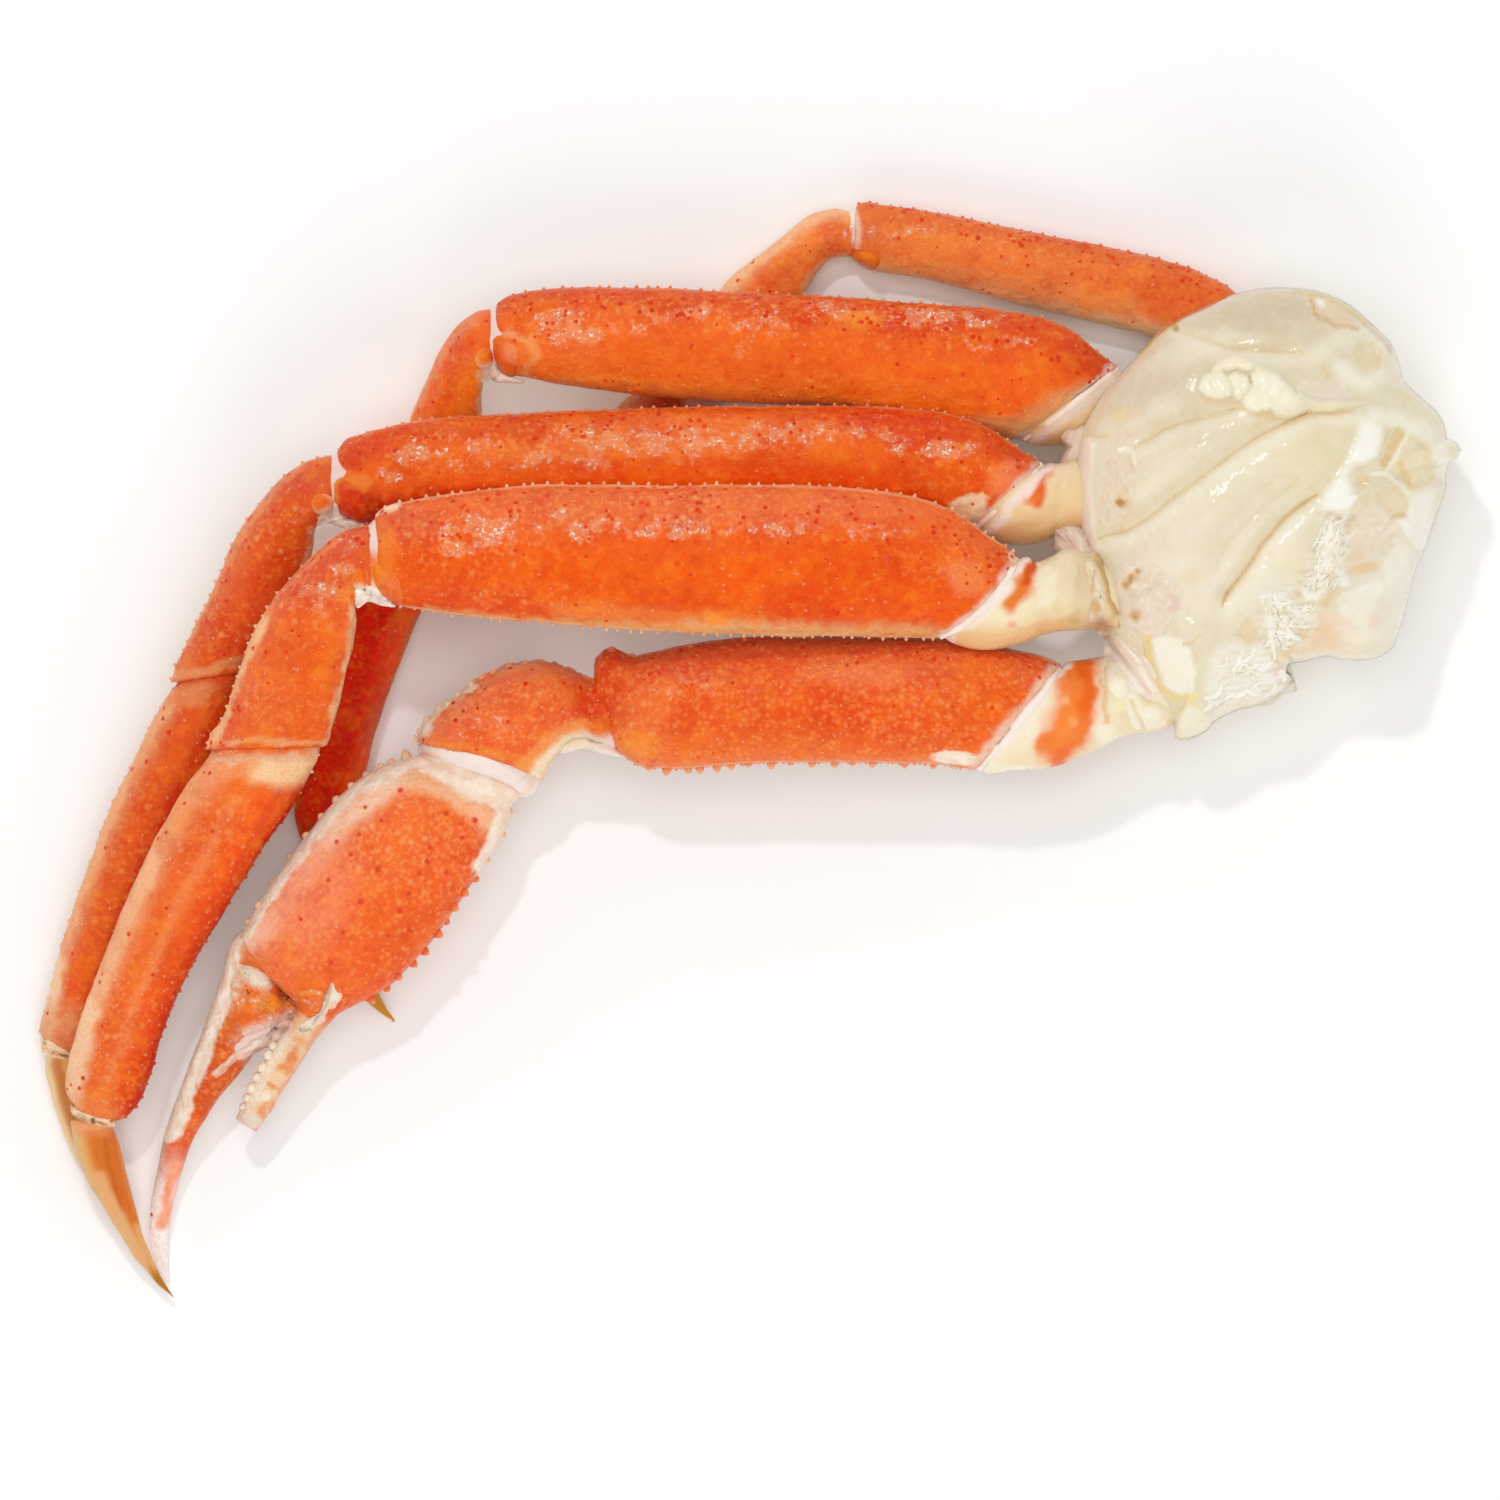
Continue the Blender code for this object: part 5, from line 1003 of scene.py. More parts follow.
def add_pimples(name, look, surface, paint, material):
    """Dark dots and pale ones over the upper side, the fine saw edge, and spines."""
    rings, around = surface.p.shape[:2]
    half = int((surface.t[0] < math.pi - 1e-6).sum())

    def seat(turn):
        """The place in a ring of a share of the turn, as the upper side has more points than the lower."""
        turn = turn % 1
        return turn * 2 * half if turn < 0.5 else half + (turn * 2 - 1) * (around - half)

    length = np.linalg.norm(np.diff(surface.p[:, half], axis=0), axis=1).sum()
    girth = np.linalg.norm(np.diff(surface.p[rings // 2], axis=0), axis=1).sum() / 2
    area = length * girth * 1e6
    spots, colours, tips, feet = [], [], [], []

    def local(ring, place):
        return paint[int(np.clip(ring, 0, rings - 1)), int(place) % around]
    count = int(area * 0.030 * look.get("dots", 0))
    for k in range(count):
        ring = (0.03 + 0.94 * ((k + RNG.uniform(-1.5, 1.5)) * 0.618 % 1)) * rings
        sort = RNG.random()
        low, high = (0.05, 0.36) if sort < 0.66 else (0.30, 0.56) if sort < 0.88 else (0.5, 0.95)
        place = seat(0.487 - 0.44 * RNG.uniform(low, high))
        big = RNG.uniform(0.00040, 0.00068) if sort < 0.66 else RNG.uniform(0.00030, 0.00052)
        spots.append((ring, place, big, big * RNG.uniform(0.08, 0.20)))
        colours.append(linear(*((228, 62, 16) if RNG.random() < 0.6 else (212, 48, 10))) * RNG.uniform(0.9, 1.1))
        feet.append(local(ring, place))
        tips.append(0.0)
    for _ in range(int(area * 0.060 * look.get("pale", 0))):
        ring = RNG.uniform(0.03, 0.97) * rings
        place = seat(RNG.uniform(0.04, 0.46))
        big = RNG.uniform(0.00018, 0.00044)
        spots.append((ring, place, big, big * RNG.uniform(0.25, 0.45)))
        colours.append(local(ring, place) * 0.82 + linear(250, 180, 116) * 0.18)
        feet.append(local(ring, place))
        tips.append(0.32)
    if look.get("serrate"):
        which, gap, height, radius = look["serrate"]
        for edge in {0: (0.5,), 1: (0.0,), 2: (0.5, 0.0)}[which]:
            ring = 0.04 * rings
            while ring < 0.96 * rings:
                size = RNG.uniform(0.4, 1.15)
                spots.append((ring, seat(edge + RNG.normal(0, 0.006)), radius / 1000 * (0.6 + 0.4 * size), height / 1000 * size))
                colours.append(np.clip(local(ring, seat(edge)) * 0.75 + linear(*CREAM) * 0.25, 0, 1))
                feet.append(local(ring, seat(edge)))
                tips.append(0.6)
                ring += gap * UNIT / (length / rings) * RNG.uniform(0.6, 1.3)
    for x, y, long, wide in look.get("spines", ()):
        ring, place = nearest(surface, x, y)
        spots.append((ring, place, wide * 1.45 * UNIT, long * 0.95 * UNIT))
        share = 0.5 if name == "claw_palm" else 0.12
        colours.append(np.clip(local(ring, place) * (1 - share) + linear(238, 116, 50) * share, 0, 1))
        feet.append(local(ring, place))
        tips.append(0.7)
    for x, y in look.get("redspots", ()):
        ring, place = nearest(surface, x, y)
        spots.append((ring, place, RNG.uniform(2.8, 4.8) * UNIT, 1.2 * UNIT))
        colours.append(linear(224, 70, 38))
        feet.append(local(ring, place))
        tips.append(0.0)
    if not spots:
        return
    vertices, faces = pimples(surface, spots)
    each = len(vertices) // len(spots)
    tint = np.repeat(np.array(colours), each, axis=0)
    foot = np.repeat(np.array(feet), each, axis=0)
    share = np.tile(np.r_[np.zeros(7), np.full(7, 0.55), np.ones(7), 1.0, 0.0], len(spots))[:, None]
    tint = foot + (tint - foot) * share
    tops = np.tile(np.r_[np.zeros(7), np.full(7, 0.15), np.full(7, 0.5), 0.8, 0.0], len(spots))[:, None] * np.repeat(np.array(tips), each)[:, None]
    tint = tint + (linear(250, 214, 172) - tint) * tops
    obj = make_object(name + "_dots", vertices, faces, DOTS, np.clip(tint, 0, 1), np.zeros_like(tint))
    finish_piece(obj, None)


def finish_piece(obj, node):
    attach(obj, "root")
    if node:
        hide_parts(node)


# ------------------------------------------------------------------ soft joints, folds, joint balls and teeth
LILAC, MILKY, WAX = (236, 210, 202), (242, 228, 214), (236, 206, 170)
JOINTS = {  # name: (shell before, shell after, base colour, marks)
    "claw_knee_skin": ("claw_merus", "claw_carpus", (232, 200, 186), [("blob", 600, 700, 12, 24, 0, (214, 60, 24), 0.9)]),
    "claw_wrist_skin": ("claw_carpus", "claw_palm", (243, 229, 222), [("blob", 428, 764, 14, 10, 30, (232, 120, 70), 0.7)]),
    "leg1_knee_skin": ("leg1_merus", "leg1_carpus", LILAC, [("blob", 370, 568, 12, 16, 0, (238, 120, 40), 0.95), ("blob", 366, 594, 20, 9, 0, (240, 214, 176), 0.9)]),
    "leg1_wrist_skin": ("leg1_carpus", "leg1_propodus", MILKY, []),
    "leg2_knee_skin": ("leg2_merus", "leg2_carpus", LILAC, [("blob", 350, 516, 24, 14, 20, (226, 186, 178), 0.7)]),
    "leg2_wrist_skin": ("leg2_carpus", "leg2_propodus", MILKY, []),
    "leg3_knee_skin": ("leg3_merus", "leg3_carpus", LILAC, [("blob", 505, 368, 16, 10, 20, (230, 192, 184), 0.7)]),
    "leg4_knee_skin": ("leg4_merus", "leg4_carpus", MILKY, [("blob", 845, 234, 8, 14, 0, (222, 92, 70), 0.8), ("blob", 856, 250, 10, 8, 0, (230, 100, 40), 0.8)]),
}


def build_skin(name):
    first, second, colour, marks = JOINTS[name]
    a, b = rows_of(first)[-1].copy(), rows_of(second)[0].copy()
    back, ahead = rows_of(first)[-2], rows_of(second)[1]
    def ring(row, toward, reach, fit):
        out = row.copy()
        step = toward[:3] - row[:3]
        out[:3] = row[:3] + step / np.linalg.norm(step) * reach
        out[3:7] = row[3:7] * fit
        return out
    gap = (a + b) / 2
    gap[3:6] *= 0.97
    gap[6] *= 0.91
    table = [ring(a, back, 0.0013, 0.84), ring(a, back, 0.0003, 0.95), gap, ring(b, ahead, 0.0003, 0.95), ring(b, ahead, 0.0013, 0.84)]
    surface = tube_surface(table, 2.1, (0.2, 0.2), CELL * 0.7)
    p0 = surface.p
    surface.push(clouds(p0, 0.0022, 81, 2) * 0.00010)
    surface.again()
    x, y = surface.xy
    paint = np.broadcast_to(linear(*colour), p0.shape).copy()
    cream = np.zeros(p0.shape[:2])
    apply_marks(x + clouds(p0, 0.002, 31, 2) * 3, y, paint, cream, marks)
    masks = np.stack([cream, np.full(p0.shape[:2], 0.8), cream], -1)
    obj = surface_object(name + "_soft", surface, SKIN, np.clip(paint, 0, 1), masks)
    finish_piece(obj, name)
    SURFACES[name] = surface


def cushion(outline, middle, up, down, colour, marks=(), relief=(), power=2.0, tilt=(0.0, 0.0), cell=None, lumps=0.00012, fibre=0.0, ragged=0.0, wet=0.6, over=None):
    """A closed cushion over a plan outline: (surface, paint, masks). middle, up, down: heights in mm, above over if given."""
    cell = cell or CELL * 0.7
    loop = np.array([(x, y, 0.0) for x, y in list(outline) + [outline[0]]])
    fine = curve_through(loop, 0.6)[:, :2]
    run = np.concatenate([[0], np.cumsum(np.linalg.norm(np.diff(fine, axis=0), axis=1))])
    count = max(18, int(run[-1] * UNIT / cell))
    wanted = np.linspace(0, run[-1], count + 1)[:-1]
    edge = np.stack([np.interp(wanted, run, fine[:, k]) for k in (0, 1)], -1)
    centre = edge.mean(0)
    if ragged:
        wave = clouds(np.stack([edge[:, 0], edge[:, 1], 0 * edge[:, 0]], -1) * UNIT, 0.0011, 7, 3)
        edge = centre + (edge - centre) * (1 + ragged * wave)[:, None]
    reach = np.linalg.norm(edge - centre, axis=1).mean() * UNIT
    steps = max(6, int(reach * 1.25 / cell))
    rings = []
    angles = np.concatenate([np.linspace(0.04, math.pi / 2, max(4, steps // 2), endpoint=False), np.linspace(math.pi / 2, math.pi - 0.04, steps)])
    for a in angles:
        share, lift = math.sin(a) ** (2 / power), -math.cos(a)
        q = centre + (edge - centre) * share
        base = middle if over is None else middle + over(q[:, 0], q[:, 1])
        z = base + (up * lift if lift > 0 else down * lift) + tilt[0] * (q[:, 0] - centre[0]) + tilt[1] * (q[:, 1] - centre[1])
        rings.append(at(q[:, 0], q[:, 1], z / 1000))
    surface = Surface(np.stack(rings), None, None)
    p0 = surface.p
    x, y = surface.xy
    high = ramp(np.arange(len(rings)), steps // 2, steps // 2 + 3)[:, None]
    surface.push(high * relief_of(x, y, relief) + clouds(p0, 0.0024, 83, 3) * lumps)
    surface.again()
    paint = np.broadcast_to(linear(*colour), p0.shape).copy()
    cream = np.zeros(p0.shape[:2])
    apply_marks(x + clouds(p0, 0.002, 31, 2) * 3, y + clouds(p0, 0.002, 37, 2) * 3, paint, cream, marks)
    paint = paint * (1 + clouds(p0, 0.003, 41, 2) * 0.05)[..., None]
    masks = np.stack([np.maximum(cream, fibre), np.full(p0.shape[:2], wet), np.zeros(p0.shape[:2])], -1)
    return surface, np.clip(paint, 0, 1), masks


def joined(name, parts, material):
    """Several (surface, paint, masks) as one object."""
    vertices, faces, colours, marks, start = [], [], [], [], 0
    for surface, paint, mask in parts:
        p = surface.p
        rings, around = p.shape[:2]
        for store, values in ((vertices, p), (colours, paint), (marks, mask)):
            store.append(np.vstack([values.reshape(-1, 3), values[0].mean(0)[None], values[-1].mean(0)[None]]))
        faces += [tuple(i + start for i in f) for f in tube_faces(rings, around)]
        start += rings * around + 2
    obj = make_object(name, np.vstack(vertices), faces, material, np.vstack(colours), np.vstack(marks))
    outward(obj)
    finish_piece(obj, None)


def circle(x, y, rx, ry=None, turn=0, count=12):
    ry = ry or rx
    c, s = math.cos(math.radians(turn)), math.sin(math.radians(turn))
    return [(x + rx * math.cos(a) * c - ry * math.sin(a) * s, y + rx * math.cos(a) * s + ry * math.sin(a) * c)
            for a in np.linspace(0, 2 * math.pi, count, endpoint=False)]


def build_knees():
    """The joint knobs at the far ends of the upper legs and the small balls they turn on."""
    parts = [
        cushion([(366, 558), (366, 568), (370, 580), (378, 591), (390, 601), (404, 604), (416, 590), (414, 566), (402, 550), (382, 550)], 30.4, 4.9, 4.0,
                (240, 112, 44), [("blob", 374, 566, 12, 18, -10, (244, 140, 40), 0.9), ("blob", 396, 580, 14, 12, 0, (240, 128, 70), 0.5)],
                [("blob", 392, 578, 12, 12, 0, 0.2)], wet=0.12),
        cushion([(328, 492), (328, 480), (338, 471), (354, 468), (370, 472), (382, 484), (384, 500), (378, 514), (364, 523), (350, 520), (338, 512), (331, 502)], 21.4, 5.6, 4.4,
                (222, 60, 14), [("line", [(330, 494), (333, 481), (345, 474), (360, 473), (372, 480), (380, 494)], 5, (240, 140, 46), 0.95),
                                ("line", [(338, 472), (352, 469), (368, 472)], 2.5, (246, 204, 140), 0.9), ("blob", 360, 502, 15, 13, 0, (212, 34, 4), 0.9),
                                ("blob", 356, 486, 12, 5, 0, (236, 112, 44), 0.8), ("blob", 333, 500, 6, 8, 0, (240, 150, 64), 0.9), ("blob", 372, 508, 6, 8, 0, (226, 70, 16), 0.8)], wet=0.12),
        cushion([(489, 338), (496, 331), (509, 329), (521, 333), (529, 344), (529, 359), (521, 371), (511, 377), (501, 371), (492, 357)], 15.9, 5.6, 4.4,
                (238, 104, 34), [("line", [(490, 346), (497, 334), (510, 331), (522, 336), (528, 348)], 5, (244, 140, 34), 0.9),
                                 ("blob", 515, 350, 12, 12, 0, (244, 150, 104), 0.8), ("line", [(493, 358), (502, 370), (512, 376)], 4, (240, 120, 28), 0.8),
                                 ("line", [(512, 329), (524, 335), (530, 347)], 2, (248, 200, 140), 0.9)], wet=0.12),
        cushion([(850, 248), (862, 246), (880, 249), (884, 262), (874, 270), (862, 266), (852, 258)], 5.6, 4.4, 3.2, (238, 124, 34),
                [("line", [(852, 249), (866, 247), (884, 250)], 3, (226, 70, 20), 0.8)], wet=0.12),
    ]
    joined("knee_knobs", parts, SHELL)
    parts = [
        cushion(circle(360, 577, 12, 16, 8), 30.0, 4.9, 3.6, (238, 112, 38),
                [("line", circle(360, 577, 11.5, 15, 8)[3:9], 3.4, (246, 196, 140), 0.6), ("line", [(369, 566), (371, 582)], 3, (248, 184, 96), 0.7),
                 ("blob", 360, 592, 14, 7, 0, (247, 226, 194), 0.95)], wet=0.12),
        cushion(circle(321, 502, 15, 14.5), 21.45, 5.2, 3.8, (234, 104, 26),
                [("line", circle(320, 501, 13.5, 13) + circle(320, 501, 13.5, 13)[:1], 4.2, (246, 200, 140), 0.85), ("blob", 332, 491, 8, 8, 30, (247, 222, 186), 0.95),
                 ("blob", 330, 514, 14, 6, -10, (244, 222, 210), 0.95)], wet=0.12),
        cushion(circle(483, 357, 12, 14.5, 10), 15.65, 5.05, 3.4, (240, 124, 26),
                [("line", circle(484, 356, 10.5, 13, 10)[1:11], 3.4, (246, 208, 158), 0.9), ("blob", 492, 370, 12, 6, 0, (242, 218, 206), 0.95)], wet=0.12),
    ]
    joined("knee_balls", parts, SHELL)
    near2, near3, near4 = (height_over([f"leg{k}_merus", f"leg{k}_carpus", f"leg{k}_knee_skin"]) for k in (1, 2, 3))
    parts = [
        # The knee membranes are painted near white, lighter than their own colour, to offset the shade they lie in:
        # painted light.
        cushion([(351, 590), (356, 583), (368, 582), (379, 588), (389, 599), (396, 607), (382, 606), (368, 602), (357, 608)], -1.0, 1.5, 2.4, (252, 240, 222),
                [("blob", 380, 598, 12, 6, 30, (250, 230, 222), 0.8)], over=near2),
        cushion([(328, 498), (334, 496), (342, 509), (355, 518), (369, 525), (373, 531), (356, 531), (340, 527), (326, 523), (315, 526), (318, 514)], -1.0, 1.6, 2.4, (250, 228, 218),
                [("blob", 326, 519, 12, 6, 0, (240, 220, 206), 0.9), ("line", [(334, 502), (346, 517), (366, 527)], 2.2, (238, 214, 206), 0.8)], over=near3),
        cushion([(491, 358), (498, 368), (510, 376), (524, 379), (522, 384), (508, 383), (496, 382), (486, 378), (479, 384), (482, 370)], -1.0, 1.6, 2.4, (252, 232, 222),
                [("blob", 488, 374, 9, 6, 0, (240, 210, 182), 0.8)], over=near4),
        cushion([(566, 734), (580, 731), (592, 738), (606, 740), (616, 744), (624, 756), (606, 755), (590, 750), (574, 749), (562, 754), (556, 748)], 17.4, 4.2, 3.4,
                (238, 222, 212), [("blob", 575, 740, 14, 10, 0, (240, 222, 194), 0.9)]),
        cushion([(418, 744), (440, 746), (471, 747), (502, 752), (530, 764), (542, 772), (530, 796), (494, 791), (458, 776), (422, 758)], 15.6, 3.9, 3.4,
                (240, 228, 222), [("blob", 444, 764, 22, 6, 32, (236, 150, 110), 0.5), ("line", [(424, 756), (436, 772)], 4, (232, 96, 40), 0.8),
                                  ("line", [(536, 776), (524, 794)], 4, (240, 214, 190), 0.8)], lumps=0.00006),
        cushion([(838, 224), (846, 220), (852, 230), (852, 244), (844, 246), (838, 238)], 5.0, 3.9, 2.6, (224, 96, 76), [("blob", 842, 236, 4, 5, 0, (240, 206, 190), 0.8)]),
    ]
    far1, far2 = height_over(["leg1_propodus", "leg1_dactyl"]), height_over(["leg2_propodus", "leg2_dactyl"])
    parts += [
        cushion([(70, 1104), (80, 1110), (92, 1115), (104, 1118), (114, 1120), (115, 1127), (106, 1130), (94, 1128), (82, 1122), (72, 1114)], -1.0, 1.3, 1.4, (242, 194, 150),
                [("line", [(76, 1112), (96, 1121), (112, 1124)], 3, (248, 218, 182), 0.8), ("line", [(80, 1120), (98, 1128), (112, 1129)], 2, (222, 140, 80), 0.6)], over=far1),
        cushion([(40, 1036), (50, 1040), (62, 1046), (72, 1052), (72, 1062), (62, 1062), (50, 1058), (42, 1052)], -1.0, 1.4, 1.4, (244, 206, 166),
                [("line", [(44, 1048), (58, 1056), (70, 1060)], 2, (226, 160, 106), 0.6)], over=far2),
    ]
    joined("knee_membranes", parts, SKIN)


SUTURES = [  # shells on the two sides, points, half width in plan units, colour
    (("claw_merus", "claw_base"), [(1060, 668), (1042, 694), (1012, 730), (978, 769)], 5.0, (252, 236, 228)),
    (("leg1_merus", "leg1_base"), [(1016, 558), (1009, 574), (992, 600), (964, 624), (940, 637)], 4.6, (250, 232, 222)),
    (("leg2_merus", "leg2_base"), [(1042, 464), (1028, 480), (1000, 507), (977, 527)], 4.2, (248, 226, 212)),
    (("leg3_merus", "leg3_base"), [(1118, 369), (1094, 388), (1058, 416), (1024, 439)], 4.2, (246, 222, 208)),
]


def build_sutures():
    """The pale bands that close the joints between the upper legs and their bases."""
    parts = []
    for names, points, half, colour in SUTURES:
        over = height_over(names)
        line = curve_through([(x, y, 0.0) for x, y in points], 2.0)[:, :2]
        z = over(line[:, 0], line[:, 1])
        for _ in range(4):
            z = np.convolve(np.r_[z[0], z, z[-1]], [0.25, 0.5, 0.25], "valid")
        table = []
        for k, (x, y) in enumerate(line):
            way = line[min(k + 1, len(line) - 1)] - line[max(k - 1, 0)]
            way = way / (np.hypot(*way) + 1e-9)
            wide = half * (1 + 0.10 * math.sin(0.31 * k)) * (0.7 + 0.3 * math.sin(math.pi * k / (len(line) - 1)))
            middle = at(x, y, (z[k] - 0.22) / 1000)
            side = at(x - way[1] * wide, y + way[0] * wide, (z[k] - 0.22) / 1000) - middle
            table.append(np.concatenate([middle, side, [0.00042]]))
        surface = tube_surface(table, 2.0, (0.1, 0.1), CELL * 0.75)
        p0 = surface.p
        surface.push(clouds(p0, 0.0016, 95, 2) * 0.00006)
        surface.again()
        paint = np.broadcast_to(linear(*colour), p0.shape).copy()
        rim = np.abs(np.cos(surface.t)) ** 3
        paint = paint + (linear(238, 206, 160) - paint) * (rim * 0.6)[..., None]
        masks = np.stack([np.zeros(p0.shape[:2]), np.full(p0.shape[:2], 0.8), np.zeros(p0.shape[:2])], -1)
        parts.append((surface, np.clip(paint, 0, 1), masks))
    joined("suture_bands", parts, SKIN)


def build_claw_joint():
    """The skin, scars and hinge between the palm and the movable finger, and the teeth."""
    over = height_over(["claw_palm", "claw_finger"])
    parts = [
        cushion([(229, 950), (242, 958), (260, 970), (278, 984), (296, 998), (304, 1012), (298, 1026), (284, 1034), (270, 1046), (252, 1052), (240, 1046), (230, 1022),
                 (226, 996), (224, 972)], -1.7, 2.3, 2.0, (234, 112, 46),
                [("line", [(232, 996), (262, 1002), (292, 1006)], 14, (240, 124, 46), 0.9), ("blob", 270, 1004, 14, 8, 0, (246, 148, 42), 0.8),
                 ("blob", 256, 976, 20, 10, 32, (233, 222, 200), 1.0), ("line", [(228, 950), (236, 962), (232, 992)], 7, (240, 222, 190), 0.95),
                 ("line", [(238, 1046), (262, 1034), (288, 1024)], 12, (236, 208, 198), 0.9), ("blob", 252, 1018, 22, 6, -14, (226, 84, 34), 0.6),
                 ("blob", 293, 1017, 7, 8, 0, (168, 144, 122), 0.8), ("blob", 238, 991, 6, 3, 20, (206, 110, 60), 0.7), ("blob", 280, 992, 8, 3, 30, (150, 110, 80), 0.5)],
                [("blob", 257, 977, 18, 9, 32, 0.8), ("line", [(276, 990), (300, 1006)], 4, -0.4), ("line", [(240, 992), (272, 990)], 3, -0.3)], lumps=0.00015, over=over),
        cushion([(299, 991), (312, 987), (324, 991), (328, 1001), (322, 1013), (312, 1021), (301, 1015), (297, 1003)], -0.9, 1.6, 1.6, (240, 112, 34),
                [("line", [(300, 993), (324, 992)], 3, (246, 170, 80), 0.6), ("line", [(326, 996), (322, 1012), (312, 1020)], 2.4, (214, 70, 24), 0.7)], lumps=0.0001, over=over),
    ]
    joined("claw_hinge", parts, CLAW)
    parts = [
        cushion([(334, 978), (338, 986), (344, 992), (341, 1002), (334, 1010), (326, 1020), (319, 1029), (308, 1035), (294, 1037), (290, 1032), (300, 1026), (310, 1024), (317, 1014),
                 (324, 1002), (328, 990)], -0.8, 1.0, 1.2, (236, 212, 188),
                [("line", [(331, 986), (326, 1006), (314, 1024)], 1.6, (190, 166, 142), 0.8), ("line", [(342, 994), (334, 1008), (320, 1026)], 3, (240, 184, 148), 0.7),
                 ("blob", 300, 1031, 8, 4, 0, (196, 172, 146), 0.8), ("line", [(292, 1034), (302, 1028), (312, 1031)], 1.4, (150, 126, 104), 0.7),
                 ("blob", 336, 996, 4, 6, 20, (238, 226, 210), 0.8), ("blob", 322, 1014, 4, 4, 0, (212, 192, 170), 0.7)], lumps=0.0005, ragged=0.09, over=over),
        cushion([(234, 1044), (248, 1034), (270, 1026), (290, 1020), (292, 1030), (282, 1038), (268, 1047), (254, 1053), (242, 1060), (234, 1054)], -0.6, 1.5, 1.4, (240, 206, 194),
                [("blob", 256, 1042, 18, 4, -28, (246, 226, 216), 0.8), ("line", [(236, 1052), (262, 1036), (286, 1028)], 1.6, (206, 160, 146), 0.7),
                 ("line", [(230, 1060), (250, 1052), (276, 1044)], 2, (232, 156, 126), 0.6), ("blob", 284, 1030, 6, 5, 0, (176, 146, 122), 0.7)], lumps=0.0004, ragged=0.08, over=over),
        cushion([(208, 1074), (220, 1064), (236, 1050), (240, 1056), (228, 1068), (214, 1082)], -0.8, 1.0, 1.0, (228, 160, 126), [("line", [(210, 1078), (224, 1064), (238, 1054)], 1.6, (238, 206, 188), 0.7)],
                lumps=0.0003, ragged=0.12, over=over),
    ]
    joined("claw_scars", parts, SKIN)
    parts = []
    for x, y, z, rx, ry in ((273, 1046, 13.0, 5, 4.6), (268.5, 1055, 12.8, 5.8, 5.2), (262.5, 1067.5, 12.2, 6.4, 5.8), (256.5, 1077, 11.7, 5.2, 5.0),
                            (251.5, 1088, 11.2, 6.4, 5.8), (247, 1098, 10.6, 5, 4.8), (243, 1107, 10.2, 4.4, 4.2)):
        parts.append(cushion(circle(x, y, rx, ry, -60), z, 1.5, 1.4, (244, 230, 208), [], lumps=0.00005, cell=0.0003))
    joined("claw_teeth", parts, HORN)


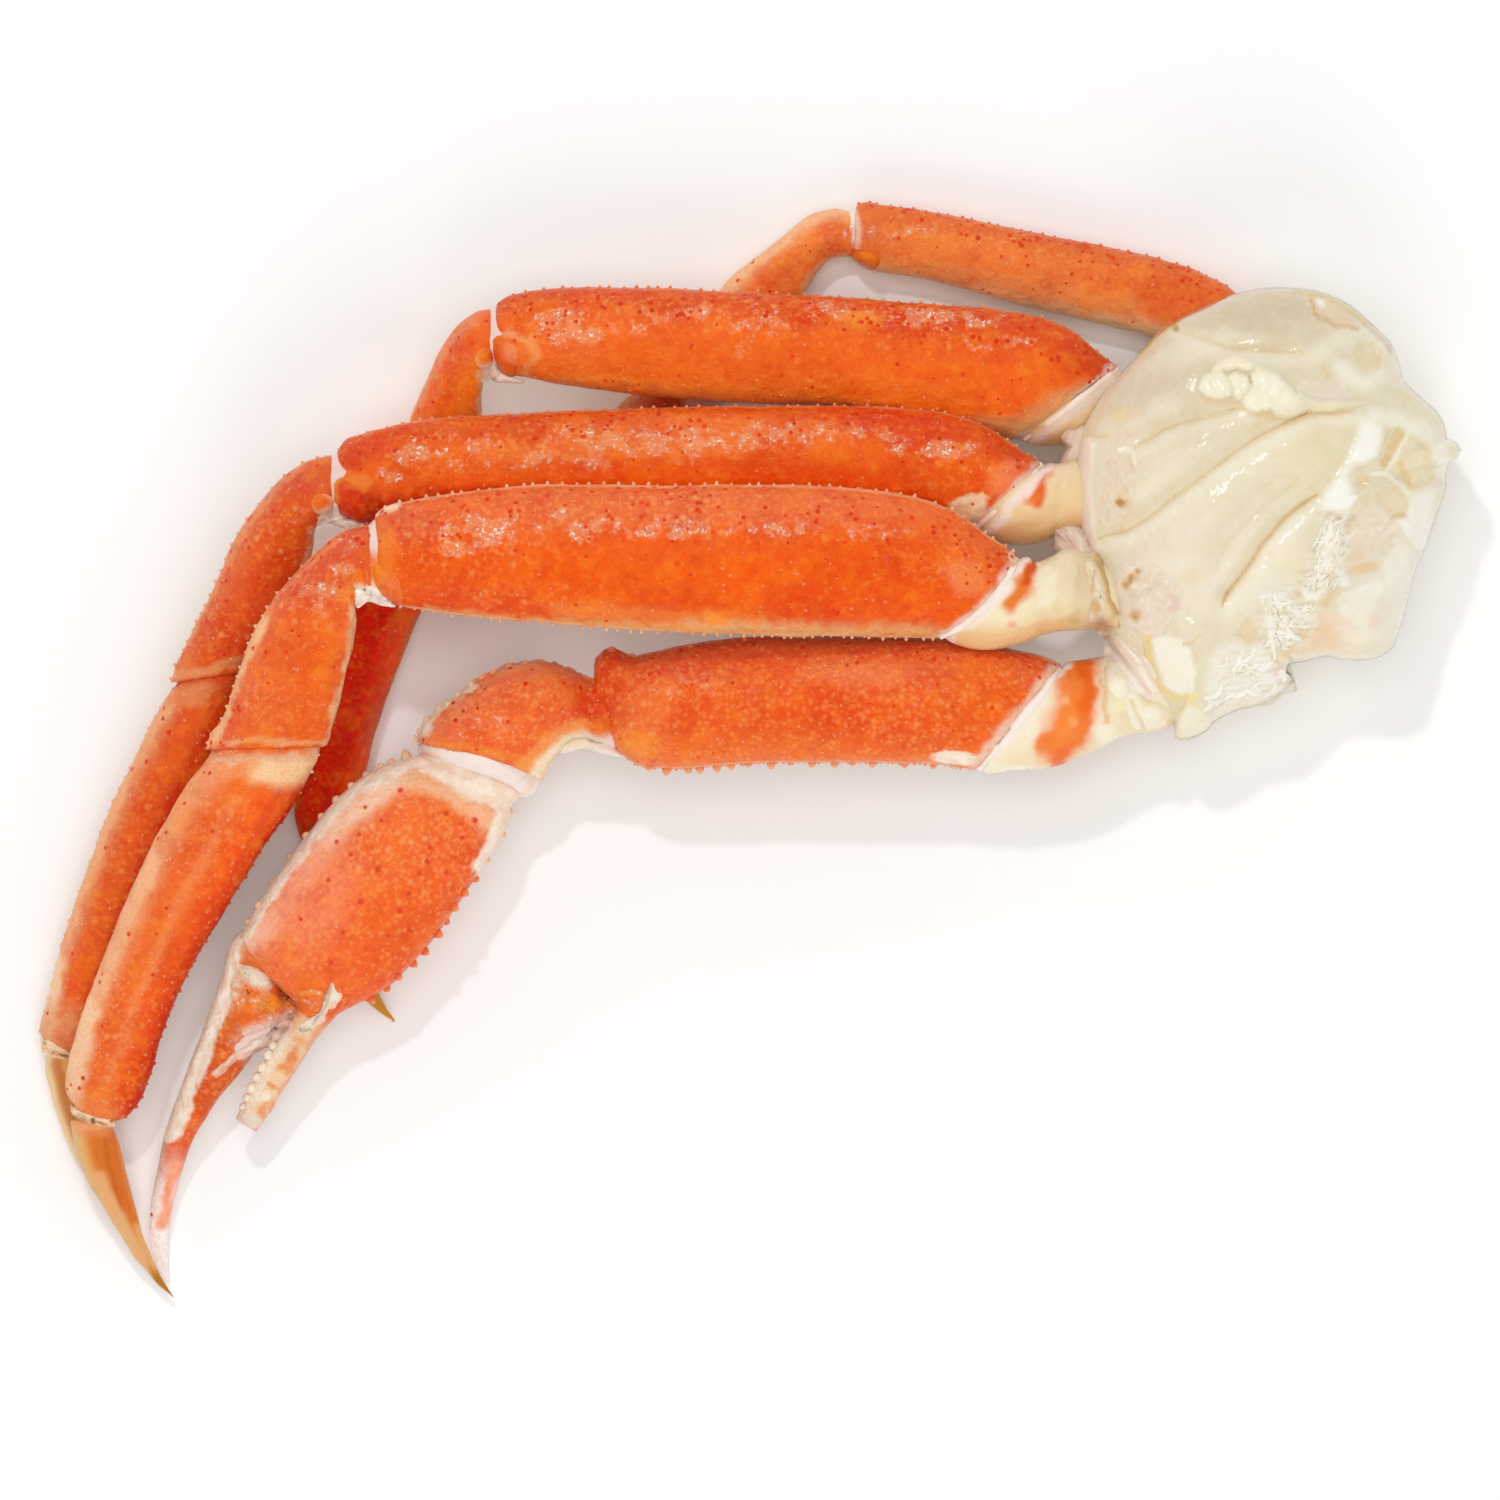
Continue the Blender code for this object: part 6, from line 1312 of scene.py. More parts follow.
def build_folds():
    """Wrinkled skin where the legs join the shoulder."""
    def pleats(points, height, spread=3.0):
        rows = []
        for k in range(-2, 3):
            rows.append(("line", [(x + k * spread, y + abs(k) * 0.4) for x, y in points], 1.3, height if k % 2 else -height))
        return rows
    def beside(name):
        """Height of a leg base's upper side, or of the shoulder where that is higher, over the plan."""
        base = height_over([name])
        def read(x, y):
            total = 0
            for dx, dy in ((0, 0), (3, 0), (-3, 0), (0, 3), (0, -3)):
                px, py = np.broadcast_arrays(np.asarray(x, float) + dx, np.asarray(y, float) + dy)
                share = share_of(px, py)
                total = total + np.maximum(base(px, py), np.where(share < 1, surface_z(px, py), 0)) / 5
            return total
        return read
    parts = [
        cushion([(1066, 448), (1060, 438), (1066, 430), (1076, 428), (1088, 424), (1096, 430), (1090, 446), (1084, 462), (1074, 470), (1060, 468), (1062, 458)], 19.6, 3.0, 4.0,
                (222, 196, 172), [("line", [(1064, 440), (1064, 462)], 4, (206, 172, 150), 0.7), ("line", [(1082, 432), (1076, 460)], 2.4, (232, 214, 196), 0.8)],
                pleats([(1080, 430), (1070, 466)], 0.10), lumps=0.0003, ragged=0.05, tilt=(0.05, 0)),
        cushion([(1048, 524), (1058, 520), (1072, 522), (1086, 534), (1094, 550), (1094, 566), (1084, 574), (1070, 566), (1058, 556), (1052, 546), (1054, 536)], 21.2, 3.4, 4.0,
                (230, 206, 186), [("line", [(1056, 524), (1070, 540), (1078, 560)], 4, (220, 186, 172), 0.8), ("line", [(1064, 522), (1080, 540), (1086, 562)], 2.6, (240, 222, 204), 0.9),
                                  ("line", [(1052, 540), (1062, 552)], 3, (208, 168, 150), 0.6)],
                pleats([(1062, 524), (1078, 544), (1084, 564)], 0.12), lumps=0.0003, ragged=0.05, tilt=(0.04, 0)),
        cushion([(1084, 560), (1094, 551), (1102, 560), (1108, 580), (1113, 600), (1119, 616), (1119, 631), (1107, 635), (1094, 631), (1088, 616), (1092, 598), (1086, 578)], -0.5, 1.2, 3.0,
                (230, 206, 170), [("line", [(1098, 556), (1106, 582), (1115, 612)], 3.4, (208, 168, 100), 0.85), ("blob", 1102, 625, 10, 7, 10, (186, 134, 98), 0.85), ("blob", 1096, 606, 5, 9, 0, (208, 162, 112), 0.8),
                                  ("line", [(1090, 564), (1097, 586), (1102, 606)], 2, (244, 228, 200), 0.8), ("line", [(1094, 572), (1092, 590)], 2, (206, 170, 130), 0.7), ("blob", 1112, 622, 4, 7, 0, (222, 186, 130), 0.8)],
                lumps=0.0004, ragged=0.05, over=beside("leg1_base")),
        cushion([(1102, 631), (1116, 628), (1132, 641), (1148, 651), (1157, 668), (1162, 688), (1159, 703), (1144, 702), (1129, 692), (1114, 676), (1104, 656)], -0.5, 0.8, 3.0,
                (244, 228, 214), [("line", [(1108, 636), (1124, 661), (1150, 694)], 2.0, (228, 204, 188), 0.7), ("line", [(1114, 634), (1134, 657), (1154, 690)], 2.4, (251, 243, 236), 0.8),
                                  ("line", [(1120, 638), (1140, 657), (1156, 684)], 1.8, (232, 210, 194), 0.6), ("line", [(1106, 642), (1120, 664), (1142, 692)], 2.2, (251, 243, 235), 0.8)],
                pleats([(1112, 636), (1132, 660), (1152, 690)], 0.05, 4.4), lumps=0.00015, ragged=0.03, over=beside("claw_base")),
        cushion([(1102, 664), (1110, 657), (1124, 668), (1132, 682), (1128, 698), (1114, 700), (1104, 686)], -1.0, 1.7, 3.0, (244, 235, 208),
                [("blob", 1118, 680, 8, 8, 0, (249, 243, 224), 0.9), ("line", [(1104, 668), (1106, 690), (1116, 700)], 2, (226, 198, 140), 0.6)], lumps=0.0003, over=beside("claw_base")),
        cushion([(1122, 696), (1134, 690), (1150, 700), (1166, 704), (1172, 716), (1164, 728), (1146, 732), (1130, 726)], -1.0, 1.8, 3.0, (243, 234, 206),
                [("line", [(1130, 700), (1142, 726)], 2, (224, 200, 146), 0.6), ("blob", 1152, 712, 8, 6, 0, (248, 242, 226), 0.8)], [("line", [(1132, 700), (1142, 728)], 3, -0.3)], lumps=0.0003, over=beside("claw_base")),
    ]
    joined("skin_folds", parts, SKIN)


# ------------------------------------------------------------------ the shoulder
SHOULDER_MIDDLE = (1252.0, 505.0)
SHOULDER_RIM = 18.5      # mm
SHOULDER_EDGE = [
    (1461, 450), (1456, 458), (1449, 463), (1446, 477), (1446, 489), (1437, 515), (1427, 544), (1416, 572), (1407, 607), (1398, 636),
    (1392, 649), (1374, 659), (1344, 660), (1327, 657), (1302, 662), (1289, 664), (1287, 672), (1290, 680), (1297, 691), (1284, 694), (1271, 704),
    (1239, 710), (1215, 722), (1207, 731), (1190, 739), (1176, 739), (1172, 722), (1150, 702), (1130, 674), (1112, 650), (1107, 632), (1108, 610),
    (1099, 575), (1088, 548), (1079, 520), (1076, 480), (1077, 445), (1083, 427), (1092, 411), (1104, 392), (1118, 375), (1133, 359), (1150, 341), (1163, 329),
    (1179, 319), (1195, 311), (1213, 303), (1229, 296), (1245, 291), (1261, 288), (1277, 287), (1298, 288), (1318, 291), (1335, 297), (1352, 306), (1366, 318),
    (1380, 331), (1392, 344), (1399, 362), (1405, 381), (1413, 390), (1422, 398), (1433, 408), (1441, 418), (1446, 430), (1447, 439), (1456, 442)]
SHOULDER_SIDE = [(0.0, 0.0), (0.3, 0.0), (0.52, 0.0), (0.74, 1.4), (0.89, 5.0), (0.97, 11.0), (1.0, SHOULDER_RIM)]


def shoulder_edge(count):
    p = np.array([(x, y, 0.0) for x, y in SHOULDER_EDGE + SHOULDER_EDGE[:1]])
    fine = curve_through(p, 1.0)[:, :2]
    run = np.concatenate([[0], np.cumsum(np.linalg.norm(np.diff(fine, axis=0), axis=1))])
    wanted = np.linspace(0, run[-1], count + 1)[:-1]
    return np.stack([np.interp(wanted, run, fine[:, k]) for k in (0, 1)], -1)


CREASES = [  # points, depth mm, reach, width of the dark line, its strength
    ([(1172, 325), (1180, 331), (1192, 336), (1207, 341), (1232, 349), (1263, 351), (1284, 352), (1303, 353)], 1.0, 9, 0.7, 0.5),
    ([(1135, 447), (1150, 438), (1162, 431), (1180, 424), (1211, 416), (1240, 407)], 1.2, 9, 0.8, 0.65),
    ([(1094, 541), (1105, 536), (1126, 531), (1145, 520), (1166, 504), (1180, 493), (1211, 471), (1242, 447), (1263, 434), (1284, 423), (1296, 418), (1310, 412), (1333, 414), (1352, 411)], 1.5, 11, 0.8, 0.7),
    ([(1223, 605), (1228, 593), (1242, 574), (1261, 546), (1283, 520), (1298, 507), (1316, 495)], 1.9, 10, 1.2, 0.95),
    ([(1214, 572), (1230, 541), (1252, 516), (1279, 496), (1298, 482)], 0.8, 12, 3.0, 0.10),
    ([(1206, 560), (1222, 528), (1246, 500), (1276, 478)], 0.35, 10, 3.0, 0.06),
    ([(1120, 470), (1160, 452), (1208, 436), (1250, 428)], 0.35, 9, 2.0, 0.08),
    ([(1083, 436), (1107, 437)], 0.4, 4, 0.9, 0.6),
]
# The hollows' colours are painted shade: darker tan standing in for the shade in each hollow, whose relief stays
# shallow. One of them is the shadow under the white sheet.
HOLLOWS = [  # outline, depth mm, colour
    ([(1387, 430), (1398, 427), (1408, 429), (1420, 438), (1431, 450), (1436, 465), (1435, 476), (1427, 484), (1413, 490), (1399, 482), (1388, 475), (1380, 466), (1379, 456), (1383, 443)], 1.5, (232, 219, 182)),
    ([(1355, 345), (1362, 340), (1371, 341), (1379, 349), (1383, 359), (1380, 369), (1372, 374), (1364, 372), (1357, 363), (1354, 353)], 1.5, (226, 203, 156)),
    ([(1354, 478), (1360, 474), (1369, 475), (1371, 482), (1366, 489), (1358, 489), (1353, 485)], 1.0, (231, 201, 160)),
    ([(1374, 494), (1384, 487), (1396, 487), (1406, 496), (1410, 506), (1406, 516), (1396, 518), (1386, 514), (1378, 504)], 1.0, (229, 207, 172)),
    ([(1390, 390), (1400, 388), (1408, 392), (1413, 402), (1404, 404), (1396, 397)], 0.9, (229, 207, 162)),
    ([(1319, 368), (1324, 366), (1330, 372), (1333, 379), (1327, 378), (1321, 373)], 0.9, (222, 194, 148)),
    ([(1292, 590), (1299, 588), (1304, 595), (1302, 602), (1295, 601)], 0.8, (227, 195, 148)),
    ([(1331, 585), (1338, 588), (1333, 600), (1327, 609), (1319, 603), (1324, 594)], 0.9, (230, 198, 152)),
    ([(1260, 607), (1264, 614), (1258, 634), (1250, 643), (1232, 634), (1244, 620)], 0.9, (229, 208, 172)),
    ([(1275, 622), (1281, 623), (1283, 629), (1277, 628)], 0.7, (221, 184, 138)),
    ([(1333, 513), (1343, 515), (1353, 511), (1358, 516), (1352, 524), (1344, 527), (1337, 521)], 0.9, (210, 182, 146)),
    ([(1118, 496), (1124, 499), (1126, 507), (1121, 509), (1115, 503)], 1.0, (200, 152, 92)),
    ([(1127, 578), (1132, 579), (1131, 586), (1128, 590), (1125, 585)], 0.9, (206, 166, 116)),
    ([(1129, 611), (1136, 609), (1140, 616), (1136, 622), (1130, 620)], 1.0, (206, 160, 106)),
]
SHEETS = [  # torn sheets: outline, height mm, colour, soft edge (or from, place, to, place)
    ([(1356, 413), (1376, 414), (1385, 427), (1383, 442), (1379, 456), (1366, 465), (1356, 467), (1352, 476), (1354, 490), (1360, 495), (1353, 506), (1350, 512),
      (1337, 514), (1323, 513), (1317, 505), (1319, 495), (1329, 479), (1343, 458), (1351, 438)], 1.8, (252, 249, 241), (1.4, (1380, 470), 14.0, (1334, 440))),
    ([(1330, 516), (1346, 528), (1342, 544), (1345, 561), (1348, 573), (1351, 585), (1343, 588), (1333, 584), (1329, 587), (1322, 595), (1317, 601), (1305, 602), (1300, 591),
      (1306, 581), (1313, 565), (1317, 548), (1321, 530)], 0.9, (245, 240, 227), (1.6, (1330, 592), 10.0, (1316, 530))),
    ([(1257, 597), (1270, 590), (1284, 589), (1291, 599), (1297, 606), (1304, 603), (1317, 605), (1319, 618), (1308, 623), (1299, 630), (1301, 640), (1292, 646), (1281, 650),
      (1275, 660), (1270, 650), (1268, 636), (1266, 625), (1264, 610)], 0.8, (246, 243, 234), 3.0),
    ([(1234, 637), (1250, 644), (1262, 641), (1270, 652), (1277, 662), (1285, 667), (1289, 678), (1296, 682), (1299, 692), (1284, 695), (1271, 705), (1262, 701), (1250, 707), (1240, 703),
      (1226, 713), (1214, 725), (1206, 716), (1200, 690), (1204, 660), (1216, 644)], 0.3, (240, 234, 222), (4.0, (1290, 680), 14.0, (1204, 680))),
    ([(1296, 388), (1307, 381), (1313, 383), (1320, 378), (1327, 381), (1334, 380), (1343, 387), (1355, 399), (1337, 401), (1314, 399), (1302, 395)], 0.45, (229, 216, 196), 1.4),
    ([(1412, 492), (1430, 484), (1443, 484), (1437, 510), (1429, 545), (1418, 551), (1408, 540), (1398, 522), (1404, 506)], 0.5, (242, 238, 228), (2.0, (1405, 530), 10.0, (1438, 490))),
    ([(1211, 376), (1213, 367), (1221, 360), (1232, 355), (1246, 358), (1257, 365), (1276, 373), (1262, 376), (1238, 369)], 0.5, (243, 232, 202), 3.0),
    ([(1352, 590), (1366, 582), (1384, 590), (1380, 612), (1372, 632), (1354, 628), (1342, 618), (1336, 600), (1342, 592)], 0.35, (241, 234, 216), (2.0, (1340, 600), 14.0, (1386, 610))),
    ([(1276, 662), (1284, 650), (1296, 646), (1308, 650), (1330, 640), (1346, 646), (1362, 650), (1372, 661), (1330, 658), (1300, 664), (1287, 668)], 0.3, (236, 218, 184), 3.0),
]
CURDS = [  # rounded lumps: outline, height mm, width of the rounding
    ([(1210, 374), (1213, 366), (1221, 361), (1232, 357), (1246, 359), (1257, 366), (1250, 372), (1236, 369), (1222, 373)], 0.8, 6),
    ([(1196, 389), (1200, 378), (1208, 372), (1222, 371), (1231, 379), (1234, 396), (1220, 400), (1206, 399)], 1.5, 11),
    ([(1226, 375), (1236, 371), (1248, 377), (1253, 386), (1247, 395), (1240, 402), (1233, 397), (1231, 386)], 1.8, 10),
    ([(1249, 374), (1262, 368), (1280, 375), (1290, 387), (1298, 393), (1307, 402), (1310, 410), (1297, 417), (1284, 419), (1276, 415), (1270, 410), (1259, 412), (1246, 409), (1239, 403), (1246, 392), (1252, 384)], 2.3, 14),
    ([(1296, 391), (1313, 399), (1337, 400), (1364, 401), (1368, 404), (1345, 409), (1325, 413), (1307, 412)], 1.0, 6),
]
FLAP = [(1114, 572), (1124, 562), (1138, 568), (1152, 564), (1168, 578), (1182, 592), (1178, 604), (1172, 618), (1160, 638), (1148, 646), (1140, 636), (1126, 624), (1118, 606), (1112, 588)]
PITS = [(1130, 579, 5, 2.4, -50), (1125, 585, 2.4, 3.4, 0), (1134, 616, 4, 3.4, 20), (1120, 502, 4.4, 3.4, 20), (1138, 571, 2.4, 1.8, 0)]
CURD_FOLDS = [([(1256, 378), (1263, 392), (1259, 404)], 2.4, 0.6), ([(1271, 374), (1269, 391), (1275, 404), (1272, 412)], 2.4, 0.65), ([(1284, 388), (1281, 402), (1288, 412)], 2.2, 0.5),
              ([(1296, 396), (1294, 408)], 2.2, 0.4), ([(1212, 380), (1218, 392)], 2.0, 0.35), ([(1240, 374), (1242, 390)], 2.0, 0.4)]


def depth_in(x, y, outline):
    """Signed distance from an outline: above 0 outside, below 0 inside."""
    return line_distance(x, y, outline + outline[:1])[0] * np.where(inside(x, y, outline), -1, 1)


def shoulder_height(x, y, share):
    """Height of the shoulder's top in mm over the plan, its colour and its masks."""
    place = np.stack([x, y, np.zeros_like(x)], -1) * UNIT
    lift = np.sqrt(np.clip(1 - share ** 3.0, 0, 1))
    # no step where the outline turns in beside the torn piece
    turn = np.arctan2(y - SHOULDER_MIDDLE[1], x - SHOULDER_MIDDLE[0])
    notch = math.atan2(657 - SHOULDER_MIDDLE[1], 1289 - SHOULDER_MIDDLE[0])
    off = np.degrees((turn - notch + math.pi) % (2 * math.pi) - math.pi)
    reach = np.hypot(x - SHOULDER_MIDDLE[0], y - SHOULDER_MIDDLE[1]) / np.interp(turn, _turns[_order], _smooth, period=2 * math.pi)
    even = np.sqrt(np.clip(1 - np.clip(reach, 0, 1) ** 3.0, 0, 1)) * np.sqrt(ramp(share, 1.0, 0.95))
    lift = lift + (even - lift) * np.exp(-(off / 14) ** 2) * ramp(share, 0.02, 0.12)
    z = 20.5 + 15.6 * lift
    z = z - 4.5 * ramp(x, 1190, 1076) * lift - 3.5 * ramp(y, 600, 730)
    cells, cells2 = clouds(place, 0.0022, 105, 3), clouds(place, 0.0022, 131, 3)
    wx, wy = x + cells * 3.0, y + cells2 * 3.0
    fx, fy = x + cells * 1.2 + clouds(place, 0.0009, 181, 2) * 1.5, y + cells2 * 1.2 + clouds(place, 0.0009, 183, 2) * 1.5
    ux, uy = x + clouds(place, 0.006, 135, 2) * 1.8, y + clouds(place, 0.006, 137, 2) * 1.8
    for points, depth, reach, _, _ in CREASES:
        d, along = line_distance(ux, uy, points)
        taper = ramp(along, 0.0, 0.10) * ramp(along, 1.0, 0.88)
        z = z - depth * (0.85 * np.exp(-(d / reach) ** 1.3) + 0.15 * np.exp(-(d / 2.2) ** 2)) * (0.25 + 0.75 * taper)
    # pillows between the creases
    z = z + 1.3 * blob(x, y, 1232, 500, 70, 34, -42, 0.9) + 0.8 * blob(x, y, 1200, 448, 60, 16, -32, 0.9) + 0.7 * blob(x, y, 1300, 450, 44, 26, -30, 0.9)
    z = z + 0.7 * blob(x, y, 1270, 560, 26, 50, 35, 0.9) + 0.5 * blob(x, y, 1166, 388, 40, 16, -34, 0.9)
    # the flap over the second leg's socket
    flap = ramp(depth_in(fx, fy, FLAP), 0.8, -2.6)
    z = z + 0.6 * flap
    z = z - 1.2 * blob(ux, uy, 1384, 590, 46, 66, 16, 0.5) - 0.8 * blob(x, y, 1330, 640, 36, 22, -10, 0.4)
    z = z + 0.8 * stroke(ux, uy, [(1350, 660), (1392, 648), (1408, 606), (1428, 546), (1440, 510)], 9, 0.8)
    curds = np.zeros_like(x)
    for outline, height, rounding in CURDS:
        t = np.clip(-depth_in(fx, fy, outline) / rounding, 0, 1)
        curds = np.maximum(curds, height * 0.8 * np.sqrt(1 - (1 - t) ** 2.4))
    for points, width, depth in CURD_FOLDS:
        curds = curds - 0.5 * depth * np.exp(-(line_distance(fx, fy, points)[0] / (width * 1.5)) ** 2) * ramp(curds, 0.2, 1.2)
    z = z + curds * (1 + cells2 * 0.10 + cells * 0.06)
    # the ridge round the first hole and the rims of the chambers
    z = z + 0.5 * stroke(ux, uy, [(1325, 350), (1340, 340), (1360, 334), (1378, 337), (1392, 352), (1398, 376)], 9, 0.9)
    z = z + 0.4 * stroke(wx, wy, [(1344, 372), (1356, 380), (1370, 380), (1384, 366), (1388, 352)], 7, 0.9)
    z = z + 0.5 * stroke(wx, wy, [(1374, 416), (1386, 424), (1400, 418), (1424, 428), (1440, 446), (1442, 470)], 8, 0.8)
    sheet_marks = []
    for outline, height, colour, soft in SHEETS:
        if isinstance(soft, tuple):
            s0, (x0, y0), s1, (x1, y1) = soft
            t = np.clip(((x - x0) * (x1 - x0) + (y - y0) * (y1 - y0)) / ((x1 - x0) ** 2 + (y1 - y0) ** 2), 0, 1)
            soft = s0 + (s1 - s0) * t
        amount = ramp(depth_in(fx, fy, outline), 0.9, -soft * 1.3)
        z = z + 0.55 * height * ramp(depth_in(fx, fy, outline), 0.9, -soft * 1.6 - 1.5)
        sheet_marks.append((amount, colour))
    hollow_marks = []
    for outline, depth, colour in HOLLOWS:
        amount = ramp(depth_in(fx, fy, outline), 1.0, -3.4)
        z = z - 0.62 * depth * ramp(depth_in(fx, fy, outline), 1.6, -5.5)
        hollow_marks.append((amount, colour))
    thin = np.maximum(stroke(wx, wy, [(1409, 431), (1402, 446), (1394, 460), (1385, 474)], 2.4, 0.5), stroke(wx, wy, [(1372, 472), (1385, 474), (1398, 482), (1410, 494)], 2.4, 0.5))
    z = z + 0.3 * thin
    # spongy places beside the leg sockets
    sponge = np.maximum.reduce([blob(wx, wy, 1116, 486, 18, 46, 8, 0.3), blob(wx, wy, 1128, 428, 20, 16, -20, 0.4), blob(wx, wy, 1146, 604, 30, 38, 24, 0.22)])
    spongy = clouds(place, 0.0016, 141, 3)
    z = z + sponge * (np.abs(spongy) * 0.6 - 0.4)
    for pit in PITS:
        z = z - 0.7 * blob(fx, fy, pit[0], pit[1], pit[2] * 1.4, pit[3] * 1.4, pit[4], 0.9)
    strip = stroke(ux, uy, [(1086, 446), (1083, 490), (1086, 530), (1090, 546)], 8.5, 0.45)
    z = z + 0.9 * strip
    curl = stroke(fx, fy, [(1120, 450), (1127, 449), (1133, 455), (1134, 463)], 2.6, 0.8) * ramp(cells, -0.9, 0.3)
    z = z + 0.35 * curl
    # torn, flaky meat
    torn = np.maximum.reduce([stroke(wx, wy, [(1340, 524), (1332, 556), (1304, 590)], 18, 0.5), blob(wx, wy, 1286, 622, 30, 30, 0, 0.4),
                              blob(wx, wy, 1250, 676, 40, 26, -10, 0.5), 0.6 * blob(wx, wy, 1382, 530, 26, 20, 0, 0.6)])
    c, s = 0.574, 0.819      # strands run this way on the plan
    stretched = np.stack([(x * -c + y * s) * 0.28, x * s + y * c, 0 * x], -1) * UNIT
    strands = clouds(stretched, 0.0012, 113, 3)
    z = z + torn * (np.abs(strands) * 0.55 - 0.25 + cells * 0.2)
    # the white oval plate by the claw, and the lobes beside it
    oval = [(1146, 640), (1153, 633), (1168, 632), (1181, 636), (1194, 650), (1199, 671), (1195, 694), (1181, 698), (1163, 692), (1152, 668)]
    plate = ramp(depth_in(ux, uy, oval), 1.0, -7)
    z = z + plate * 0.9
    z = z + 1.1 * blob(ux, uy, 1193, 634, 18, 12, 30, 0.7) + 0.8 * blob(ux, uy, 1190, 718, 20, 16, 20, 0.6)
    z = z + clouds(place, 0.007, 121, 2) * 0.30 + clouds(place, 0.0026, 123, 2) * 0.10 + clouds(place, 0.0014, 125, 2) * 0.05
    # ------- colour
    paint = np.broadcast_to(linear(228, 217, 188), x.shape + (3,)).copy()

    def tone(amount, colour, strength=1.0):
        paint[:] = paint + (linear(*colour) - paint) * (np.clip(amount, 0, 1) * strength)[..., None]

    tone(blob(x, y, 1262, 318, 96, 38, -4, 0.7), (208, 190, 160), 0.85)
    tone(blob(x, y, 1320, 345, 60, 24, 0, 0.7), (222, 208, 178), 0.8)
    tone(blob(x, y, 1160, 380, 60, 34, -40, 0.7), (216, 198, 170), 0.9)
    tone(blob(wx, wy, 1190, 410, 50, 22, -30, 0.7), (218, 202, 172), 0.6)
    tone(blob(wx, wy, 1300, 372, 30, 12, 10, 0.8), (222, 210, 180), 0.6)
    # painted highlights: soft pale patches on the tops of the pillows
    for _cx, _cy, _rx, _ry, _turn in ((1190, 352, 46, 12, -20), (1236, 338, 30, 6, 4), (1162, 410, 26, 10, -36), (1216, 470, 46, 8, -34),
                                      (1150, 486, 36, 8, -30), (1250, 470, 40, 10, -36), (1200, 520, 30, 10, -40), (1300, 440, 22, 30, 20), (1168, 560, 30, 12, -10),
                                      (1280, 545, 12, 40, 30), (1230, 575, 10, 26, 30)):
        tone(blob(wx, wy, _cx, _cy, _rx, _ry, _turn, 0.9), (247, 240, 221), 0.40)
    tone(blob(wx, wy, 1300, 455, 56, 34, -30, 0.8), (236, 224, 190), 0.7)
    tone(blob(wx, wy, 1316, 448, 30, 22, -50, 0.8), (229, 218, 180), 0.7)
    tone(blob(wx, wy, 1216, 500, 50, 40, -40, 0.8), (233, 221, 195), 0.7)
    tone(blob(wx, wy, 1180, 540, 60, 30, -20, 0.8), (234, 223, 202), 0.7)
    tone(blob(wx, wy, 1196, 590, 40, 34, 20, 0.8), (238, 228, 208), 0.8)
    tone(blob(wx, wy, 1190, 578, 16, 10, -20, 0.7), (236, 216, 184), 0.6)
    tone(blob(wx, wy, 1270, 570, 22, 46, 32, 0.7), (242, 233, 213), 0.7)
    tone(blob(wx, wy, 1290, 562, 20, 14, 20, 0.7), (238, 226, 188), 0.6)
    tone(ramp(curds, 0.0, 1.1), (245, 237, 210), 0.85)
    tone(ramp(curds, 0.9, 1.9), (249, 243, 222), 0.6)
    # painted shade: golden-tan lines of shade under the lower edges of the curds
    tone(stroke(wx, wy, [(1241, 410), (1259, 415), (1271, 414), (1284, 422), (1298, 420), (1311, 413), (1340, 413)], 3.4, 0.8) * ramp(curds, 0.6, 0.1), (226, 194, 134), 0.7)
    tone(stroke(wx, wy, [(1204, 401), (1222, 402), (1238, 405)], 3.0, 0.8), (232, 204, 158), 0.6)
    for points, depth, reach, width, strength in CREASES:
        d, along = line_distance(ux, uy, points)
        ends = 0.55 + 0.45 * np.maximum(ramp(along, 0.14, 0.02), ramp(along, 0.88, 0.98))
        # painted shade on the upper-left side of each crease and a painted highlight on its lower-right side, as if
        # light from above fell on the pillows either side
        above, below = line_distance(ux + 5, uy + 6, points)[0], line_distance(ux - 6, uy - 7, points)[0]
        tone(np.exp(-(above / 8) ** 2), (222, 206, 170), min(0.5, 0.35 * depth))
        tone(np.exp(-(below / 8) ** 2), (247, 240, 222), min(0.5, 0.35 * depth))
        tone(np.exp(-(d / 4.2) ** 2), (236, 212, 156), 0.55 * strength)
        tone(np.exp(-(d / (width * 1.2)) ** 2) * ends, (210, 168, 92), strength * 0.9)
    tone(blob(ux, uy, 1384, 598, 48, 62, 16, 0.3), (230, 221, 200), 0.9)
    tone(blob(wx, wy, 1396, 566, 12, 26, 20, 0.7), (247, 242, 230), 0.8)
    tone(blob(wx, wy, 1372, 590, 20, 8, -20, 0.7), (248, 243, 230), 0.7)
    tone(blob(wx, wy, 1356, 636, 22, 8, -4, 0.7), (244, 236, 216), 0.7)
    tone(blob(wx, wy, 1372, 535, 30, 22, 0, 0.6), (230, 213, 188), 0.8)
    tone(blob(wx, wy, 1400, 600, 14, 44, 16, 0.6), (238, 232, 219), 0.8)
    for amount, colour in sheet_marks:
        tone(amount, colour, 0.85)
        tone(amount * (1 - amount) * 4, (250, 247, 240), 0.12)
